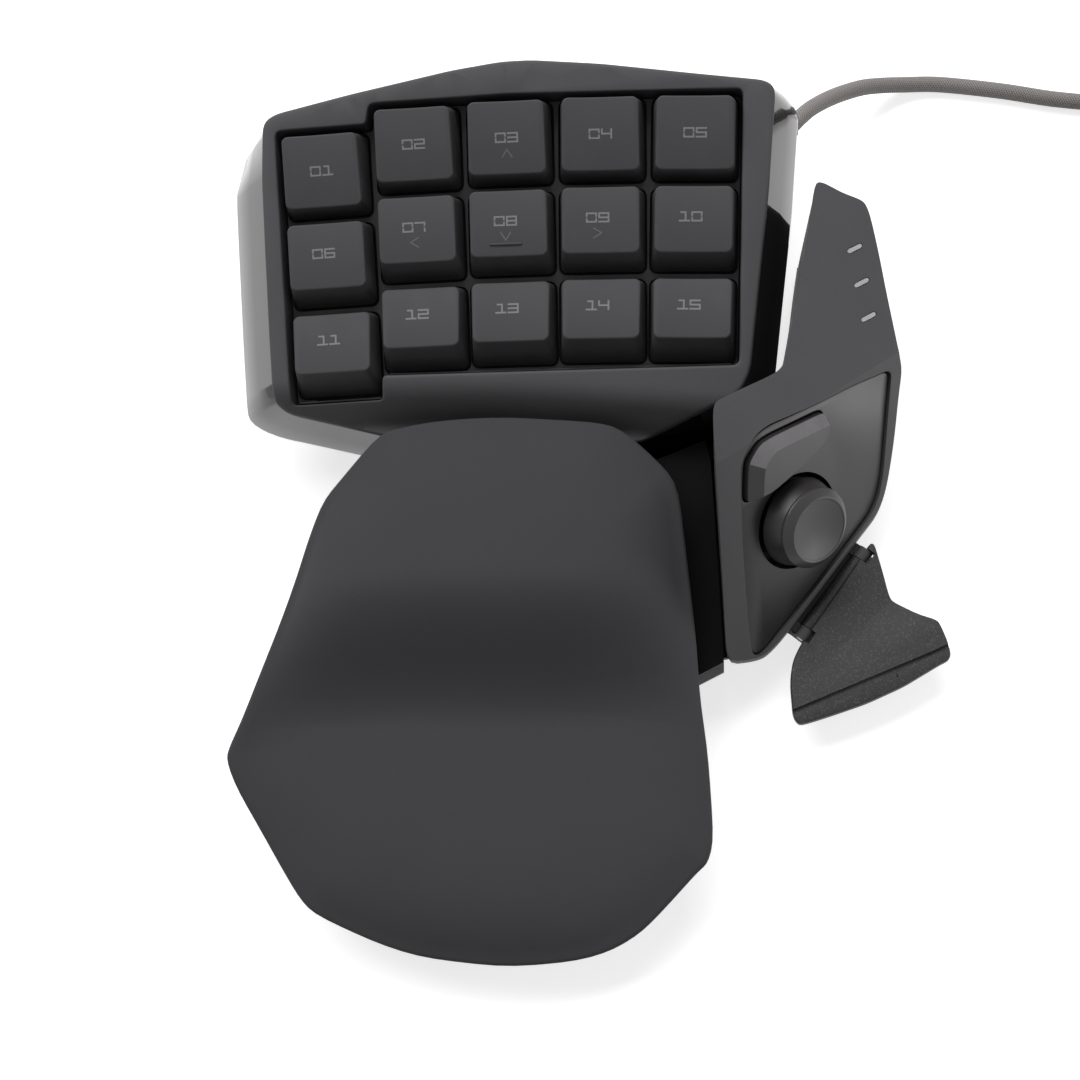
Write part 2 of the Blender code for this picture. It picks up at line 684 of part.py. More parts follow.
def build_key_frame(deck):
    """The plate whose sleeves guide the stems, with a rim that stands on the rubber sheet."""
    levels = stack_levels()
    top = levels["frame"]
    outline = grown(recess_outline(), FRAME_MARGIN)
    frame = add_solid("key_frame", prism(outline, top - FRAME_PLATE, top), "black_plastic", deck)
    rim = ring_prism(outline, grown(outline, -FRAME_RIM), levels["dome"] + SEAT_GAP, top - FRAME_PLATE / 2)
    combine(frame, rim, "UNION", deck)
    hole = STEM_WIDTH + 2 * STEM_CLEARANCE
    outside = hole + 2 * SLEEVE_WALL
    sleeves = []
    holes = []
    for _, _, u, v, turn in key_places():
        place = Matrix.Translation((u, v, 0)) @ Matrix.Rotation(turn, 4, "Z")
        sleeves.append(moved(box(outside, outside, top - FRAME_PLATE / 2, SLEEVE_RISE), place))
        holes.append(moved(box(hole, hole, top - FRAME_PLATE - OVERRUN, SLEEVE_RISE + OVERRUN), place))
    combine(frame, add_shapes(sleeves), "UNION", deck)
    combine(frame, add_shapes(holes), "DIFFERENCE", deck)


def build_key_sheets(deck):
    """Rubber domes, contact membrane, steel backing and the main circuit board."""
    levels = stack_levels()
    outline = grown(recess_outline(), FRAME_MARGIN)
    top = levels["dome"]
    domes = add_solid("dome_sheet", prism(outline, top - DOME_SHEET, top), "silicone", deck)
    skins = []
    hollows = []
    for _, _, u, v, _ in key_places():
        place = Matrix.Translation((u, v, top))
        skins.append(moved(turned(
            [(DOME_FOOT_RADIUS, -DOME_SHEET / 2), (DOME_CROWN_RADIUS, DOME_HEIGHT)], DOME_SIDES), place))
        hollows.append(moved(turned(
            [(DOME_FOOT_RADIUS - DOME_WALL, -DOME_SHEET - OVERRUN),
             (DOME_FOOT_RADIUS - DOME_WALL, -DOME_SHEET / 2),
             (DOME_CROWN_RADIUS - DOME_WALL, DOME_HEIGHT - DOME_WALL)], DOME_SIDES), place))
    combine(domes, add_shapes(skins), "UNION", deck)
    combine(domes, add_shapes(hollows), "DIFFERENCE", deck)
    top = levels["membrane"]
    add_solid("membrane_circuit", prism(outline, top - MEMBRANE_SHEET, top), "film", deck)
    top = levels["backing"]
    add_solid("backing_plate", prism(outline, top - BACKING_SHEET, top), "steel", deck)
    top = levels["board"]
    add_solid("main_circuit_board",
              box(BOARD_WIDTH, BOARD_DEPTH, top - BOARD_THICKNESS, top, (0, BOARD_SHIFT)),
              "board_green", deck)


def build_bezel(deck):
    """The bent cover sheet with its collar around the keys."""
    shape = bmesh.new()
    shape.faces.new([shape.verts.new((u, v, 0)) for u, v in bezel_outline()])
    bmesh.ops.bisect_plane(shape, geom=shape.verts[:] + shape.edges[:] + shape.faces[:],
                           plane_co=(0, -FALL_START, 0), plane_no=(0, 1, 0))
    made = bmesh.ops.extrude_face_region(shape, geom=shape.faces[:])
    tops = {corner for corner in made["geom"] if isinstance(corner, bmesh.types.BMVert)}
    for corner in shape.verts:
        top = bezel_top(corner.co.x, corner.co.y)
        corner.co.z = top if corner in tops else top - BEZEL_SHEET
    bezel = add_solid("keypad_bezel", shape, "matt_grey", deck)
    recess = recess_outline()
    foot = stack_levels()["frame"] + SEAT_GAP
    collar = ring_prism(grown(recess, COLLAR_WALL), grown(recess, -RUN_GAP),
                        foot, lambda u, v: bezel_top(u, v) - COLLAR_BED)
    combine(bezel, collar, "UNION", deck)
    combine(bezel, prism(recess, foot - OVERRUN, BEZEL_RISE + OVERRUN), "DIFFERENCE", deck)


def flared(normal):
    """How far the housing's wall stands out of the bezel's edge, by the way it faces."""
    across = RIGHT_FLARE if normal.x > 0 else LEFT_FLARE
    along = REAR_FLARE if normal.y > 0 else FRONT_FLARE
    return Vector((normal.x * across, normal.y * along, 0))


def housing_loops():
    """The housing's outer loops in the datum's frame: under the bezel, at the belt and on the base."""
    rim = []
    belt = []
    foot = []
    outline = bezel_outline()
    for (u, v), (normal, _) in zip(outline, outward_normals(outline)):
        top = bezel_top(u, v) - BEZEL_SHEET - SEAT_GAP
        start = deck_point(u, v, top)
        rise = (v + BEZEL_DEPTH / 2) / BEZEL_DEPTH
        height = BELT_FRONT_HEIGHT + (BELT_REAR_HEIGHT - BELT_FRONT_HEIGHT) * rise
        rim.append(start)
        belt.append(Vector((start.x, start.y, height)) + flared(normal))
        across = start.x * (1 - 2 * LOWER_TUCK / BEZEL_WIDTH)
        along = start.y * (1 - 2 * FRONT_TUCK / BEZEL_DEPTH)
        foot.append(Vector((across, along, base_top() + SEAT_GAP)))
    return rim, belt, foot


def inset_loop(loop, distance):
    """A loop moved inwards in plan."""
    plan = grown([(point.x, point.y) for point in loop], -distance)
    return [Vector((x, y, point.z)) for (x, y), point in zip(plan, loop)]


def base_top():
    """Height of the base plate's upper face."""
    return FOOT_HEIGHT + SEAT_GAP + PLATE_THICKNESS


def flange_places():
    """Where the case screws stand, in the thick foot of the housing's wall."""
    foot = housing_loops()[2]
    middle = inset_loop(foot, FLANGE_WIDTH / 2)
    return [middle[i] for i in SCREW_POINTS]


def build_housing(datum):
    """The flared tray that the bezel closes, with a flange at its foot and a hole for the cord."""
    rim, belt, foot = housing_loops()
    inner_rim = inset_loop(rim, HOUSING_WALL)
    for inside, outside in zip(inner_rim, rim):
        inside.z += (inside.y - outside.y) * tan(DECK_PITCH)
    flange = [point + Vector((0, 0, FLANGE_HEIGHT)) for point in inset_loop(foot, HOUSING_WALL)]
    loops = [
        rim, belt, foot, inset_loop(foot, FLANGE_WIDTH), inset_loop(flange, FLANGE_WIDTH - HOUSING_WALL),
        inset_loop(belt, HOUSING_WALL), inner_rim,
    ]
    housing = add_solid("keypad_housing", loft(loops, closed=True), "gloss_black", datum, smooth=True)
    gland = turned([(RELIEF_ROOT_RADIUS + SEAT_GAP, -OVERRUN), (RELIEF_ROOT_RADIUS + SEAT_GAP, RELIEF_LENGTH)],
                   RELIEF_SIDES)
    combine(housing, moved(gland, relief_matrix()), "DIFFERENCE", datum)
    holes = []
    for place in flange_places():
        holes.append(prism(circle(SCREW_RADIUS + SEAT_GAP, SCREW_SIDES, place.xy),
                           place.z - OVERRUN, place.z + SCREW_LENGTH))
    combine(housing, add_shapes(holes), "DIFFERENCE", datum)


def spine_outline():
    """The base between the keypad, the palm rest and the thumb wing."""
    belt = housing_loops()[1]
    corner = belt[6].lerp(belt[7], SPINE_CORNER_SHARE)
    rear = [(point.x, point.y - COVER_GAP) for point in belt[3:7] + [corner]]
    side = wing_left_edge()
    right = [(x - SEAT_GAP, y) for x, y in side]
    front = -SPINE_LENGTH
    corner = right[-1]
    return rear + right[:-1] + [
        (corner[0], front + SPINE_FRONT_RISE), (corner[0] - 2 * SPINE_FRONT_RISE, front), (-SPINE_LEFT, front),
    ]


def wing_outline():
    """The wing's edge in plan, in the datum's frame."""
    return scaled_outline(WING_OUTLINE_SHARES, WING_WIDTH, WING_LENGTH, (WING_LEFT, -WING_FRONT))


def wing_left_edge():
    """The wing's straight left side, from the rear to the front."""
    return wing_outline()[11:15]


def build_base(datum):
    """The floor of the whole keypad, its glossy spine cover, its feet and its screws."""
    low = FOOT_HEIGHT + SEAT_GAP
    top = base_top()
    foot = [(point.x, point.y) for point in housing_loops()[2]]
    plate = add_solid("base_plate", prism(foot, low, top), "black_plastic", datum)
    front_lip = grown(spine_outline(), -SEAT_GAP)
    inland = [(x, y + FLANGE_WIDTH) for x, y in front_lip[:5]] + front_lip[5:]
    combine(plate, prism(inland, low, top), "UNION", datum)
    wing_foot = [(point.x, point.y) for point in wing_loops(0.0)[2]]
    overlap = Vector((-FLANGE_WIDTH, 0))
    bridge = [(x + overlap.x, y) if x < WING_LEFT + FLANGE_WIDTH / 2 else (x, y) for x, y in wing_foot]
    combine(plate, prism(bridge, low, top), "UNION", datum)
    holes = [
        prism(circle(SCREW_RADIUS + SEAT_GAP, SCREW_SIDES, place.xy), low - OVERRUN, top + OVERRUN)
        for place in flange_places()
    ]
    combine(plate, add_shapes(holes), "DIFFERENCE", datum)
    build_spine_cover(datum)
    for number, place in enumerate(flange_places(), 1):
        screw = turned([
            (SCREW_HEAD_RADIUS, low - SEAT_GAP - SCREW_HEAD_HEIGHT), (SCREW_HEAD_RADIUS, low - SEAT_GAP),
            (SCREW_RADIUS, low - SEAT_GAP), (SCREW_RADIUS, top + SCREW_LENGTH - OVERRUN),
        ], SCREW_SIDES)
        add_solid(f"case_screw_{number}", screw, "steel", datum, (place.x, place.y, 0))
    for name, place in base_feet().items():
        pad = turned([(FOOT_RADIUS, 0), (FOOT_RADIUS, FOOT_HEIGHT)], 2 * SCREW_SIDES)
        add_solid(name, pad, "rubber", datum, (place[0], place[1], 0), True)


def base_feet():
    """Where the rubber feet stand under the base."""
    foot = [point.xy for point in housing_loops()[2]]
    wing = [point.xy for point in wing_loops(0.0)[2]]
    return {
        "foot_rear_left": foot[22] * FOOT_INLAND_SHARE, "foot_rear_right": foot[13] * FOOT_INLAND_SHARE,
        "foot_front_left": foot[0] * FOOT_INLAND_SHARE, "foot_wing_rear": (wing[3] + wing[27]) / 2,
        "foot_wing_front": (wing[14] + wing[19]) / 2,
    }


def cover_height(y):
    """Height of the spine cover, which falls to the front."""
    share = min(max((-y - PALM_REAR) / (SPINE_LENGTH - PALM_REAR), 0), 1)
    return COVER_REAR_HEIGHT + (COVER_FRONT_HEIGHT - COVER_REAR_HEIGHT) * share


def runner_places():
    """Each palm runner's line across the keypad."""
    return (-PALM_AXIS - RUNNER_SPREAD, -PALM_AXIS + RUNNER_SPREAD)


def build_spine_cover(datum):
    """The hollow glossy cover in front of the keypad, with a slot for each palm runner."""
    low = base_top() + SEAT_GAP
    outline = grown(spine_outline(), -SEAT_GAP)
    inner = grown(outline, -COVER_WALL)
    loops = [
        [(x, y, low) for x, y in outline],
        [(x, y, cover_height(y)) for x, y in outline],
    ]
    cover = add_solid("base_cover", loft(loops), "gloss_black", datum)
    hollow = loft([
        [(x, y, low - OVERRUN) for x, y in inner],
        [(x, y, cover_height(y) - COVER_WALL) for x, y in inner],
    ])
    combine(cover, hollow, "DIFFERENCE", datum)
    slots = [
        box(RUNNER_WIDTH + 2 * RUN_GAP, 2 * FLANGE_WIDTH, low - OVERRUN,
            low + RUNNER_HEIGHT + RUN_GAP, (x, -SPINE_LENGTH))
        for x in runner_places()
    ]
    combine(cover, add_shapes(slots), "DIFFERENCE", datum)


def palm_outline():
    """The palm rest's rim in plan."""
    return scaled_outline(PALM_OUTLINE_SHARES, PALM_WIDTH, PALM_LENGTH, (-PALM_AXIS, -PALM_REAR))


def eased(low, high, value):
    """A smooth step from 0 to 1 between two values."""
    share = min(max((value - low) / (high - low), 0), 1)
    return share * share * (3 - 2 * share)


def palm_rim_height(y):
    """Height of the palm rest's rim."""
    share = min(max((-y - PALM_REAR) / PALM_LENGTH, 0), 1)
    return PALM_RIM_REAR + (PALM_RIM_FRONT - PALM_RIM_REAR) * share


def palm_height(y, spread):
    """Height of the palm rest, whose hump drops to the wrist; spread is 1 at the rim and 0 inside."""
    share = (-y - PALM_REAR) / PALM_LENGTH
    crest = PALM_CREST_REAR + (PALM_CREST_FRONT - PALM_CREST_REAR) * eased(*PALM_FALL_SHARES, share)
    rim = palm_rim_height(y)
    return rim + (crest - rim) * (1 - spread * spread * spread)


def palm_ring(outline, spread, drop=0.0):
    """A ring of the palm rest's surface, drawn in towards its middle line."""
    middle = Vector((-PALM_AXIS, -PALM_REAR - PALM_LENGTH * PALM_MIDDLE_SHARE))
    ring = []
    for x, y in outline:
        place = middle + (Vector((x, y)) - middle) * spread
        ring.append(Vector((place.x, place.y, palm_height(place.y, spread) - drop)))
    return ring


def palm_skirt(outline):
    """The foot of the palm rest's wall: low at the front, a short band where it passes over the spine."""
    foot = base_top() + SEAT_GAP
    inner = grown(outline, -PALM_UNDERCUT)
    loop = []
    belt = housing_loops()[1]
    housing_front = min(point.y for point in belt) - PALM_WALL
    for (x, y), (_, edge) in zip(inner, outline):
        rim = palm_rim_height(edge)
        over_keys = y > housing_front
        over_spine = y > -SPINE_LENGTH - PALM_FRONT_CLEARANCE and x > -SPINE_LEFT - PALM_SIDE_CLEARANCE
        if over_keys:
            loop.append(Vector((x, edge + (y - edge) / 2, rim - PALM_LIP)))
        else:
            loop.append(Vector((x, y, rim - PALM_BAND if over_spine else foot)))
    return loop


def build_palm_rest(datum):
    """The moulded cover, the tray that closes it, the runners, the latch button and two feet."""
    outline = palm_outline()
    skirt = palm_skirt(outline)
    rings = [palm_ring(outline, share) for share in PALM_RING_SHARES]
    inner_plan = grown(outline, -PALM_WALL)
    inner = [palm_ring(inner_plan, share, PALM_WALL) for share in PALM_RING_SHARES]
    loops = rings[::-1] + [skirt, inset_loop(skirt, PALM_WALL)] + inner
    add_solid("palm_cover", loft(loops), "soft_touch", datum, smooth=True)
    build_palm_tray(datum, skirt)
    for name, side in (("palm_foot_left", -1), ("palm_foot_right", 1)):
        place = (-PALM_AXIS + side * PALM_FOOT_SPREAD, -PALM_REAR - PALM_LENGTH + PALM_FOOT_PLACE, 0)
        pad = turned([(FOOT_RADIUS, 0), (FOOT_RADIUS, FOOT_HEIGHT)], 2 * SCREW_SIDES)
        add_solid(name, pad, "rubber", datum, place, True)


def latch_place():
    """The latch button's place under the palm rest."""
    return Vector((-PALM_AXIS, -TRAY_REAR - LATCH_PLACE, 0))


def build_palm_tray(datum, skirt):
    """The floor of the palm rest with two runners into the base, and the latch button in it."""
    low = FOOT_HEIGHT + SEAT_GAP
    top = base_top()
    front = [(point.x, point.y) for point in skirt if point.y < -TRAY_REAR]
    left = front[0][0]
    right = front[-1][0]
    outline = [(left, -TRAY_REAR)] + front + [(right, -TRAY_REAR)]
    tray = add_solid("palm_tray", prism(outline, low, top), "black_plastic", datum)
    runner_low = top + SEAT_GAP
    runners = []
    for x in runner_places():
        centre = (x, -TRAY_REAR + (RUNNER_LENGTH - 2 * RUNNER_ROOT) / 2)
        runners.append(box(RUNNER_WIDTH, RUNNER_LENGTH, runner_low, runner_low + RUNNER_HEIGHT, centre))
        runners.append(box(RUNNER_WIDTH, RUNNER_ROOT, low + PLATE_THICKNESS / 2, runner_low + RUNNER_HEIGHT / 2,
                           (x, -TRAY_REAR - RUNNER_ROOT)))
    combine(tray, add_shapes(runners[0::2]), "UNION", datum)
    combine(tray, add_shapes(runners[1::2]), "UNION", datum)
    place = latch_place()
    hole = prism(circle(LATCH_RADIUS + RUN_GAP, 2 * SCREW_SIDES, place.xy), low - OVERRUN, top + OVERRUN)
    combine(tray, hole, "DIFFERENCE", datum)
    flange = top + SEAT_GAP
    button = turned([
        (LATCH_RADIUS, LATCH_SINK), (LATCH_RADIUS, flange), (LATCH_RADIUS + LATCH_FLANGE, flange),
        (LATCH_RADIUS + LATCH_FLANGE, flange + LATCH_FLANGE_SHEET),
    ], 2 * SCREW_SIDES)
    add_solid("palm_latch_button", button, "black_plastic", datum, place, True)


def panel_axes():
    """The thumb panel's directions: along its hinge line, up its slope and out of its face."""
    out = Vector((
        cos(PANEL_ELEVATION) * cos(PANEL_AZIMUTH), cos(PANEL_ELEVATION) * sin(PANEL_AZIMUTH), sin(PANEL_ELEVATION),
    ))
    along = Vector((0, 0, 1)).cross(out).normalized()
    return along, out.cross(along), out


def plate_axis():
    """The way the wing's top plate faces."""
    return Vector((TOP_FALL_SHARE, -TOP_RISE_SHARE, 1)).normalized()


def height_on(axis, x, y, drop=0.0):
    """Height at a place of the plane through the crest that faces along axis, sunk by drop."""
    return CREST.z - (axis.x * (x - CREST.x) + axis.y * (y - CREST.y) + drop) / axis.z


def wing_height(x, y, drop=0.0):
    """Height of the wing's surface: the lower of its top plate and its panel."""
    return min(height_on(plate_axis(), x, y, drop), height_on(panel_axes()[2], x, y, drop))


def with_fold(outline, drop):
    """The outline with a corner added where the fold crosses it."""
    def lead(point):
        return height_on(plate_axis(), *point, drop) - height_on(panel_axes()[2], *point, drop)

    result = []
    folds = []
    for here, after in zip(outline, outline[1:] + outline[:1]):
        result.append(here)
        if lead(here) * lead(after) < 0:
            share = lead(here) / (lead(here) - lead(after))
            folds.append(len(result))
            result.append(tuple(Vector(here).lerp(Vector(after), share)))
    return result, folds


def wing_loops(inset):
    """The wing's loops: its top edge, the foot of its upright band and its foot on the base."""
    outline = grown(wing_outline(), -inset)
    top, _ = with_fold(outline, inset)
    foot_level = base_top() + SEAT_GAP
    edge = [Vector((x, y, wing_height(x, y, inset))) for x, y in top]
    band = [point - Vector((0, 0, WING_BAND - inset)) for point in edge]
    foot = []
    middle = -WING_FRONT + WING_LENGTH / 2
    for point in edge:
        x = WING_LEFT + (point.x - WING_LEFT) * (1 - WING_TUCK / WING_WIDTH)
        y = middle + (point.y - middle) * (1 - 2 * WING_END_TUCK / WING_LENGTH)
        foot.append(Vector((x, y, foot_level)))
    return edge, band, foot


def wing_solid(inset, reach=0.0):
    """The wing as a block, or its hollow when it is inset."""
    edge, band, foot = wing_loops(inset)
    folds = with_fold(grown(wing_outline(), -inset), inset)[1]
    shape = bmesh.new()
    lowered = [point - Vector((0, 0, reach)) for point in foot]
    rows = [[shape.verts.new(point) for point in loop] for loop in (lowered, band, edge)]
    count = len(edge)
    for lower, upper in zip(rows, rows[1:]):
        for i in range(count):
            j = (i + 1) % count
            shape.faces.new((lower[i], lower[j], upper[j], upper[i]))
    shape.faces.new(rows[0][::-1])
    tops = rows[2]
    first, second = folds
    shape.faces.new(tops[first:second + 1])
    shape.faces.new(tops[second:] + tops[:first + 1])
    bmesh.ops.remove_doubles(shape, verts=shape.verts, dist=MEET / 4)
    return shape


def panel_frame_place():
    """Where the stick's axis meets the panel's plane."""
    x, y = STICK_PLACE.xy
    return Vector((x, y, height_on(panel_axes()[2], x, y)))


def panel_outline(grow=0.0):
    """The opening for the thumb panel, in the panel's frame."""
    return grown(scaled_outline(PANEL_OUTLINE_SHARES, PANEL_LENGTH, PANEL_HEIGHT), grow)


def button_outline(grow=0.0):
    """The thumb button's edge, in the panel's frame."""
    return grown(scaled_outline(BUTTON_OUTLINE_SHARES, BUTTON_LENGTH, BUTTON_HEIGHT, BUTTON_PLACE.xy), grow)


def hinge_corner():
    """The two ends of the wing's lower edge, where the paddle hangs."""
    outline = wing_outline()
    return Vector(outline[18]), Vector(outline[19])


def hinge_place():
    """The middle of the paddle's hinge axis."""
    start, end = hinge_corner()
    along, _, out = panel_axes()
    outward = Vector((out.x, out.y)).normalized()
    middle = (start + end) / 2 + outward * PADDLE_HINGE_OFFSET
    return Vector((middle.x, middle.y, PADDLE_HINGE_HEIGHT))


def paddle_matrix():
    """The hinge's frame: X along the axis, Y back towards the wing."""
    along = panel_axes()[0]
    back = Vector((0, 0, 1)).cross(along)
    return Matrix((along, back, Vector((0, 0, 1)))).transposed()


def light_matrix(number):
    """The place and turn of one indicator slot on the wing's top plate."""
    place = LIGHT_FIRST + LIGHT_STEP * number
    axis = plate_axis()
    across = Vector((1, 0, 0)) - axis * axis.x
    across.normalize()
    along = axis.cross(across)
    turn = Matrix((across, along, axis)).transposed().to_4x4()
    spot = Vector((place.x, place.y, height_on(axis, place.x, place.y)))
    return Matrix.Translation(spot) @ turn @ Matrix.Rotation(LIGHT_TURN, 4, "Z")


def build_wing(datum, panel_frame):
    """The thumb wing's shell with its openings and hinge ears, and the light pipe under its top."""
    shell = add_solid("thumb_shell", wing_solid(0.0), "matt_grey", datum)
    combine(shell, wing_solid(WING_WALL, OVERRUN), "DIFFERENCE", datum)
    deep = WING_WALL + OVERRUN
    combine(shell, prism(panel_outline(), -deep, OVERRUN), "DIFFERENCE", panel_frame)
    slots = []
    tips = []
    for number in range(LIGHT_COUNT):
        place = light_matrix(number)
        slots.append(moved(box(LIGHT_LENGTH + 2 * SEAT_GAP, LIGHT_WIDTH + 2 * SEAT_GAP, -deep, OVERRUN), place))
        tips.append(moved(box(LIGHT_LENGTH, LIGHT_WIDTH, -deep, 0), place))
    combine(shell, add_shapes(slots), "DIFFERENCE", datum)
    middle = light_matrix(LIGHT_COUNT // 2)
    back = WING_WALL + SEAT_GAP
    length = LIGHT_STEP.length * LIGHT_COUNT
    bar = moved(box(LIGHT_BAR_WIDTH, length, -back - LIGHT_BAR_SHEET, -back), middle)
    pipe = add_solid("indicator_light_pipe", bar, "white_light", datum)
    combine(pipe, add_shapes(tips), "UNION", datum)
    build_ears(shell, datum)


def build_ears(shell, datum):
    """Two ears on the wing's lower edge, bored for the paddle's pin."""
    hinge = Matrix.Translation(hinge_place()) @ paddle_matrix().to_4x4()
    ears = []
    for side in (-1, 1):
        centre = side * (BARREL_LENGTH / 2 + RUN_GAP + EAR_WIDTH / 2)
        depth = PADDLE_HINGE_OFFSET + WING_WALL + EAR_ROOT
        ears.append(moved(box(
            EAR_WIDTH, depth + BARREL_RADIUS, -BARREL_RADIUS, BARREL_RADIUS, (centre, (depth - BARREL_RADIUS) / 2),
        ), hinge))
    combine(shell, add_shapes(ears), "UNION", datum)
    reach = BARREL_LENGTH / 2 + EAR_WIDTH + OVERRUN
    bore = turned([(PIN_RADIUS + SEAT_GAP, -reach), (PIN_RADIUS + SEAT_GAP, reach)], BARREL_SIDES)
    combine(shell, moved(bore, hinge @ Matrix.Rotation(pi / 2, 4, "Y")), "DIFFERENCE", datum)


def build_panel(datum, panel_frame):
    """The recessed fascia with its holes for the button and the stick."""
    flange = -WING_WALL - SEAT_GAP
    face = -PANEL_SINK
    fascia = add_solid("thumb_panel", prism(panel_outline(PANEL_LIP), flange - PANEL_SHEET, 0),
                       "panel_brown", panel_frame)
    cuts = [
        prism(circle(STICK_HOLE_RADIUS, STICK_SIDES), flange - PANEL_SHEET - OVERRUN, OVERRUN),
        prism(button_outline(RUN_GAP), flange - PANEL_SHEET - OVERRUN, OVERRUN),
    ]
    combine(fascia, wing_solid(WING_WALL + SEAT_GAP), "INTERSECT", datum)
    combine(fascia, prism(panel_outline(-SEAT_GAP), flange - PANEL_SHEET / 2, face), "UNION", panel_frame)
    for cut in cuts:
        combine(fascia, cut, "DIFFERENCE", panel_frame)


def build_thumb_button(panel_frame):
    """The bevelled button over the stick, and the small switch behind it."""
    edge = button_outline()
    face = grown(edge, -BUTTON_BEVEL)
    shape = loft([
        [(x, y, -BUTTON_ROOT) for x, y in edge], [(x, y, 0) for x, y in edge],
        [(x, y, BUTTON_RISE) for x, y in face],
    ])
    add_solid("thumb_button", shape, "button_satin", panel_frame, smooth=False)
    top = -BUTTON_ROOT - BUTTON_TRAVEL - SEAT_GAP
    floor = -PIVOT_DEPTH - board_level()
    add_solid("thumb_button_switch", box(SWITCH_WIDTH, SWITCH_WIDTH, floor + SEAT_GAP, top, SWITCH_PLACE.xy),
              "black_plastic", panel_frame)


def board_level():
    """Depth of the thumb circuit board's upper face under the stick's pivot."""
    return SOCKET_DEPTH + SOCKET_WALL + SEAT_GAP - PIVOT_DEPTH


def build_stick(panel_frame):
    """Socket, gimbal ring, shaft and cap of the thumbstick, all about one pivot."""
    pivot = add_empty("stick_pivot", panel_frame, (0, 0, -PIVOT_DEPTH))
    under = -WING_WALL - PANEL_SHEET - 2 * SEAT_GAP + PIVOT_DEPTH
    floor = PIVOT_DEPTH - SOCKET_DEPTH
    outside = SOCKET_RADIUS + SOCKET_WALL
    socket = turned([(outside, floor - SOCKET_WALL), (outside, under)], STICK_SIDES)
    cup = add_solid("stick_socket", socket, "black_plastic", pivot, smooth=True)
    well = turned([(SOCKET_RADIUS, floor), (SOCKET_RADIUS, under + OVERRUN)], STICK_SIDES)
    combine(cup, well, "DIFFERENCE", pivot)
    ring = stepped_pipe(
        [(GIMBAL_RADIUS, -GIMBAL_HALF), (GIMBAL_RADIUS, GIMBAL_HALF)],
        [(GIMBAL_BORE, -GIMBAL_HALF), (GIMBAL_BORE, GIMBAL_HALF)], STICK_SIDES,
    )
    gimbal = add_solid("stick_gimbal_ring", ring, "black_plastic", pivot, smooth=True)
    pins = []
    for side in (-1, 1):
        start = side * (GIMBAL_BORE + GIMBAL_RADIUS) / 2
        end = side * (SOCKET_RADIUS * cos(pi / STICK_SIDES) - SEAT_GAP)
        pin = turned([(GIMBAL_PIN_RADIUS, min(start, end)), (GIMBAL_PIN_RADIUS, max(start, end))], BARREL_SIDES)
        pins.append(moved(pin, Matrix.Rotation(pi / 2, 4, "Y")))
    combine(gimbal, add_shapes(pins), "UNION", pivot)
    build_stick_cap(pivot)
    outline = scaled_outline(THUMB_BOARD_SHARES, THUMB_BOARD_WIDTH, THUMB_BOARD_HEIGHT)
    add_solid("thumb_circuit_board", prism(outline, -board_level() - THUMB_BOARD_SHEET, -board_level()),
              "board_green", pivot)


def build_stick_cap(pivot):
    """The shaft with its crossbar, and the dished cap that sits on it."""
    reach = GIMBAL_BORE * cos(pi / STICK_SIDES) - SEAT_GAP
    bar = turned([(GIMBAL_PIN_RADIUS, -reach), (GIMBAL_PIN_RADIUS, reach)], BARREL_SIDES)
    top = PIVOT_DEPTH + STICK_HEIGHT - STICK_DISH - STICK_CAP_SHEET - SEAT_GAP
    shaft = add_solid("stick_shaft", moved(bar, Matrix.Rotation(pi / 2, 4, "X")), "black_plastic", pivot)
    post = turned([(STICK_SHAFT_RADIUS, -GIMBAL_HALF), (STICK_SHAFT_RADIUS, top)], BARREL_SIDES)
    combine(shaft, post, "UNION", pivot)
    crown = PIVOT_DEPTH + STICK_HEIGHT
    skirt = PIVOT_DEPTH - STICK_SKIRT
    under = crown - STICK_DISH - STICK_CAP_SHEET
    inner = STICK_SKIRT_RADIUS - STICK_CAP_SHEET
    profile = [
        (inner, under), (inner, skirt), (STICK_SKIRT_RADIUS, skirt), (STICK_SKIRT_RADIUS, under),
        (STICK_RADIUS, crown - STICK_RIM_DROP), (STICK_RADIUS - STICK_RIM_DROP / 2, crown - STICK_RIM_DROP / 2),
        (STICK_FACE_RADIUS, crown), (STICK_FACE_RADIUS / 2, crown - STICK_DISH),
    ]
    add_solid("thumbstick_cap", turned(profile, STICK_SIDES), "button_satin", pivot, smooth=True)


def paddle_outline(grow=0.0):
    """The paddle's edge in the hinge's frame."""
    start, _ = hinge_corner()
    hinge = hinge_place()
    along = panel_axes()[0].xy
    shift = (Vector((start.x, start.y)) - hinge.xy).dot(along)
    outline = [
        (x * PADDLE_LENGTH + shift, PADDLE_HINGE_OFFSET - y * PADDLE_REACH) for x, y in PADDLE_OUTLINE_SHARES
    ]
    return grown(outline, grow)


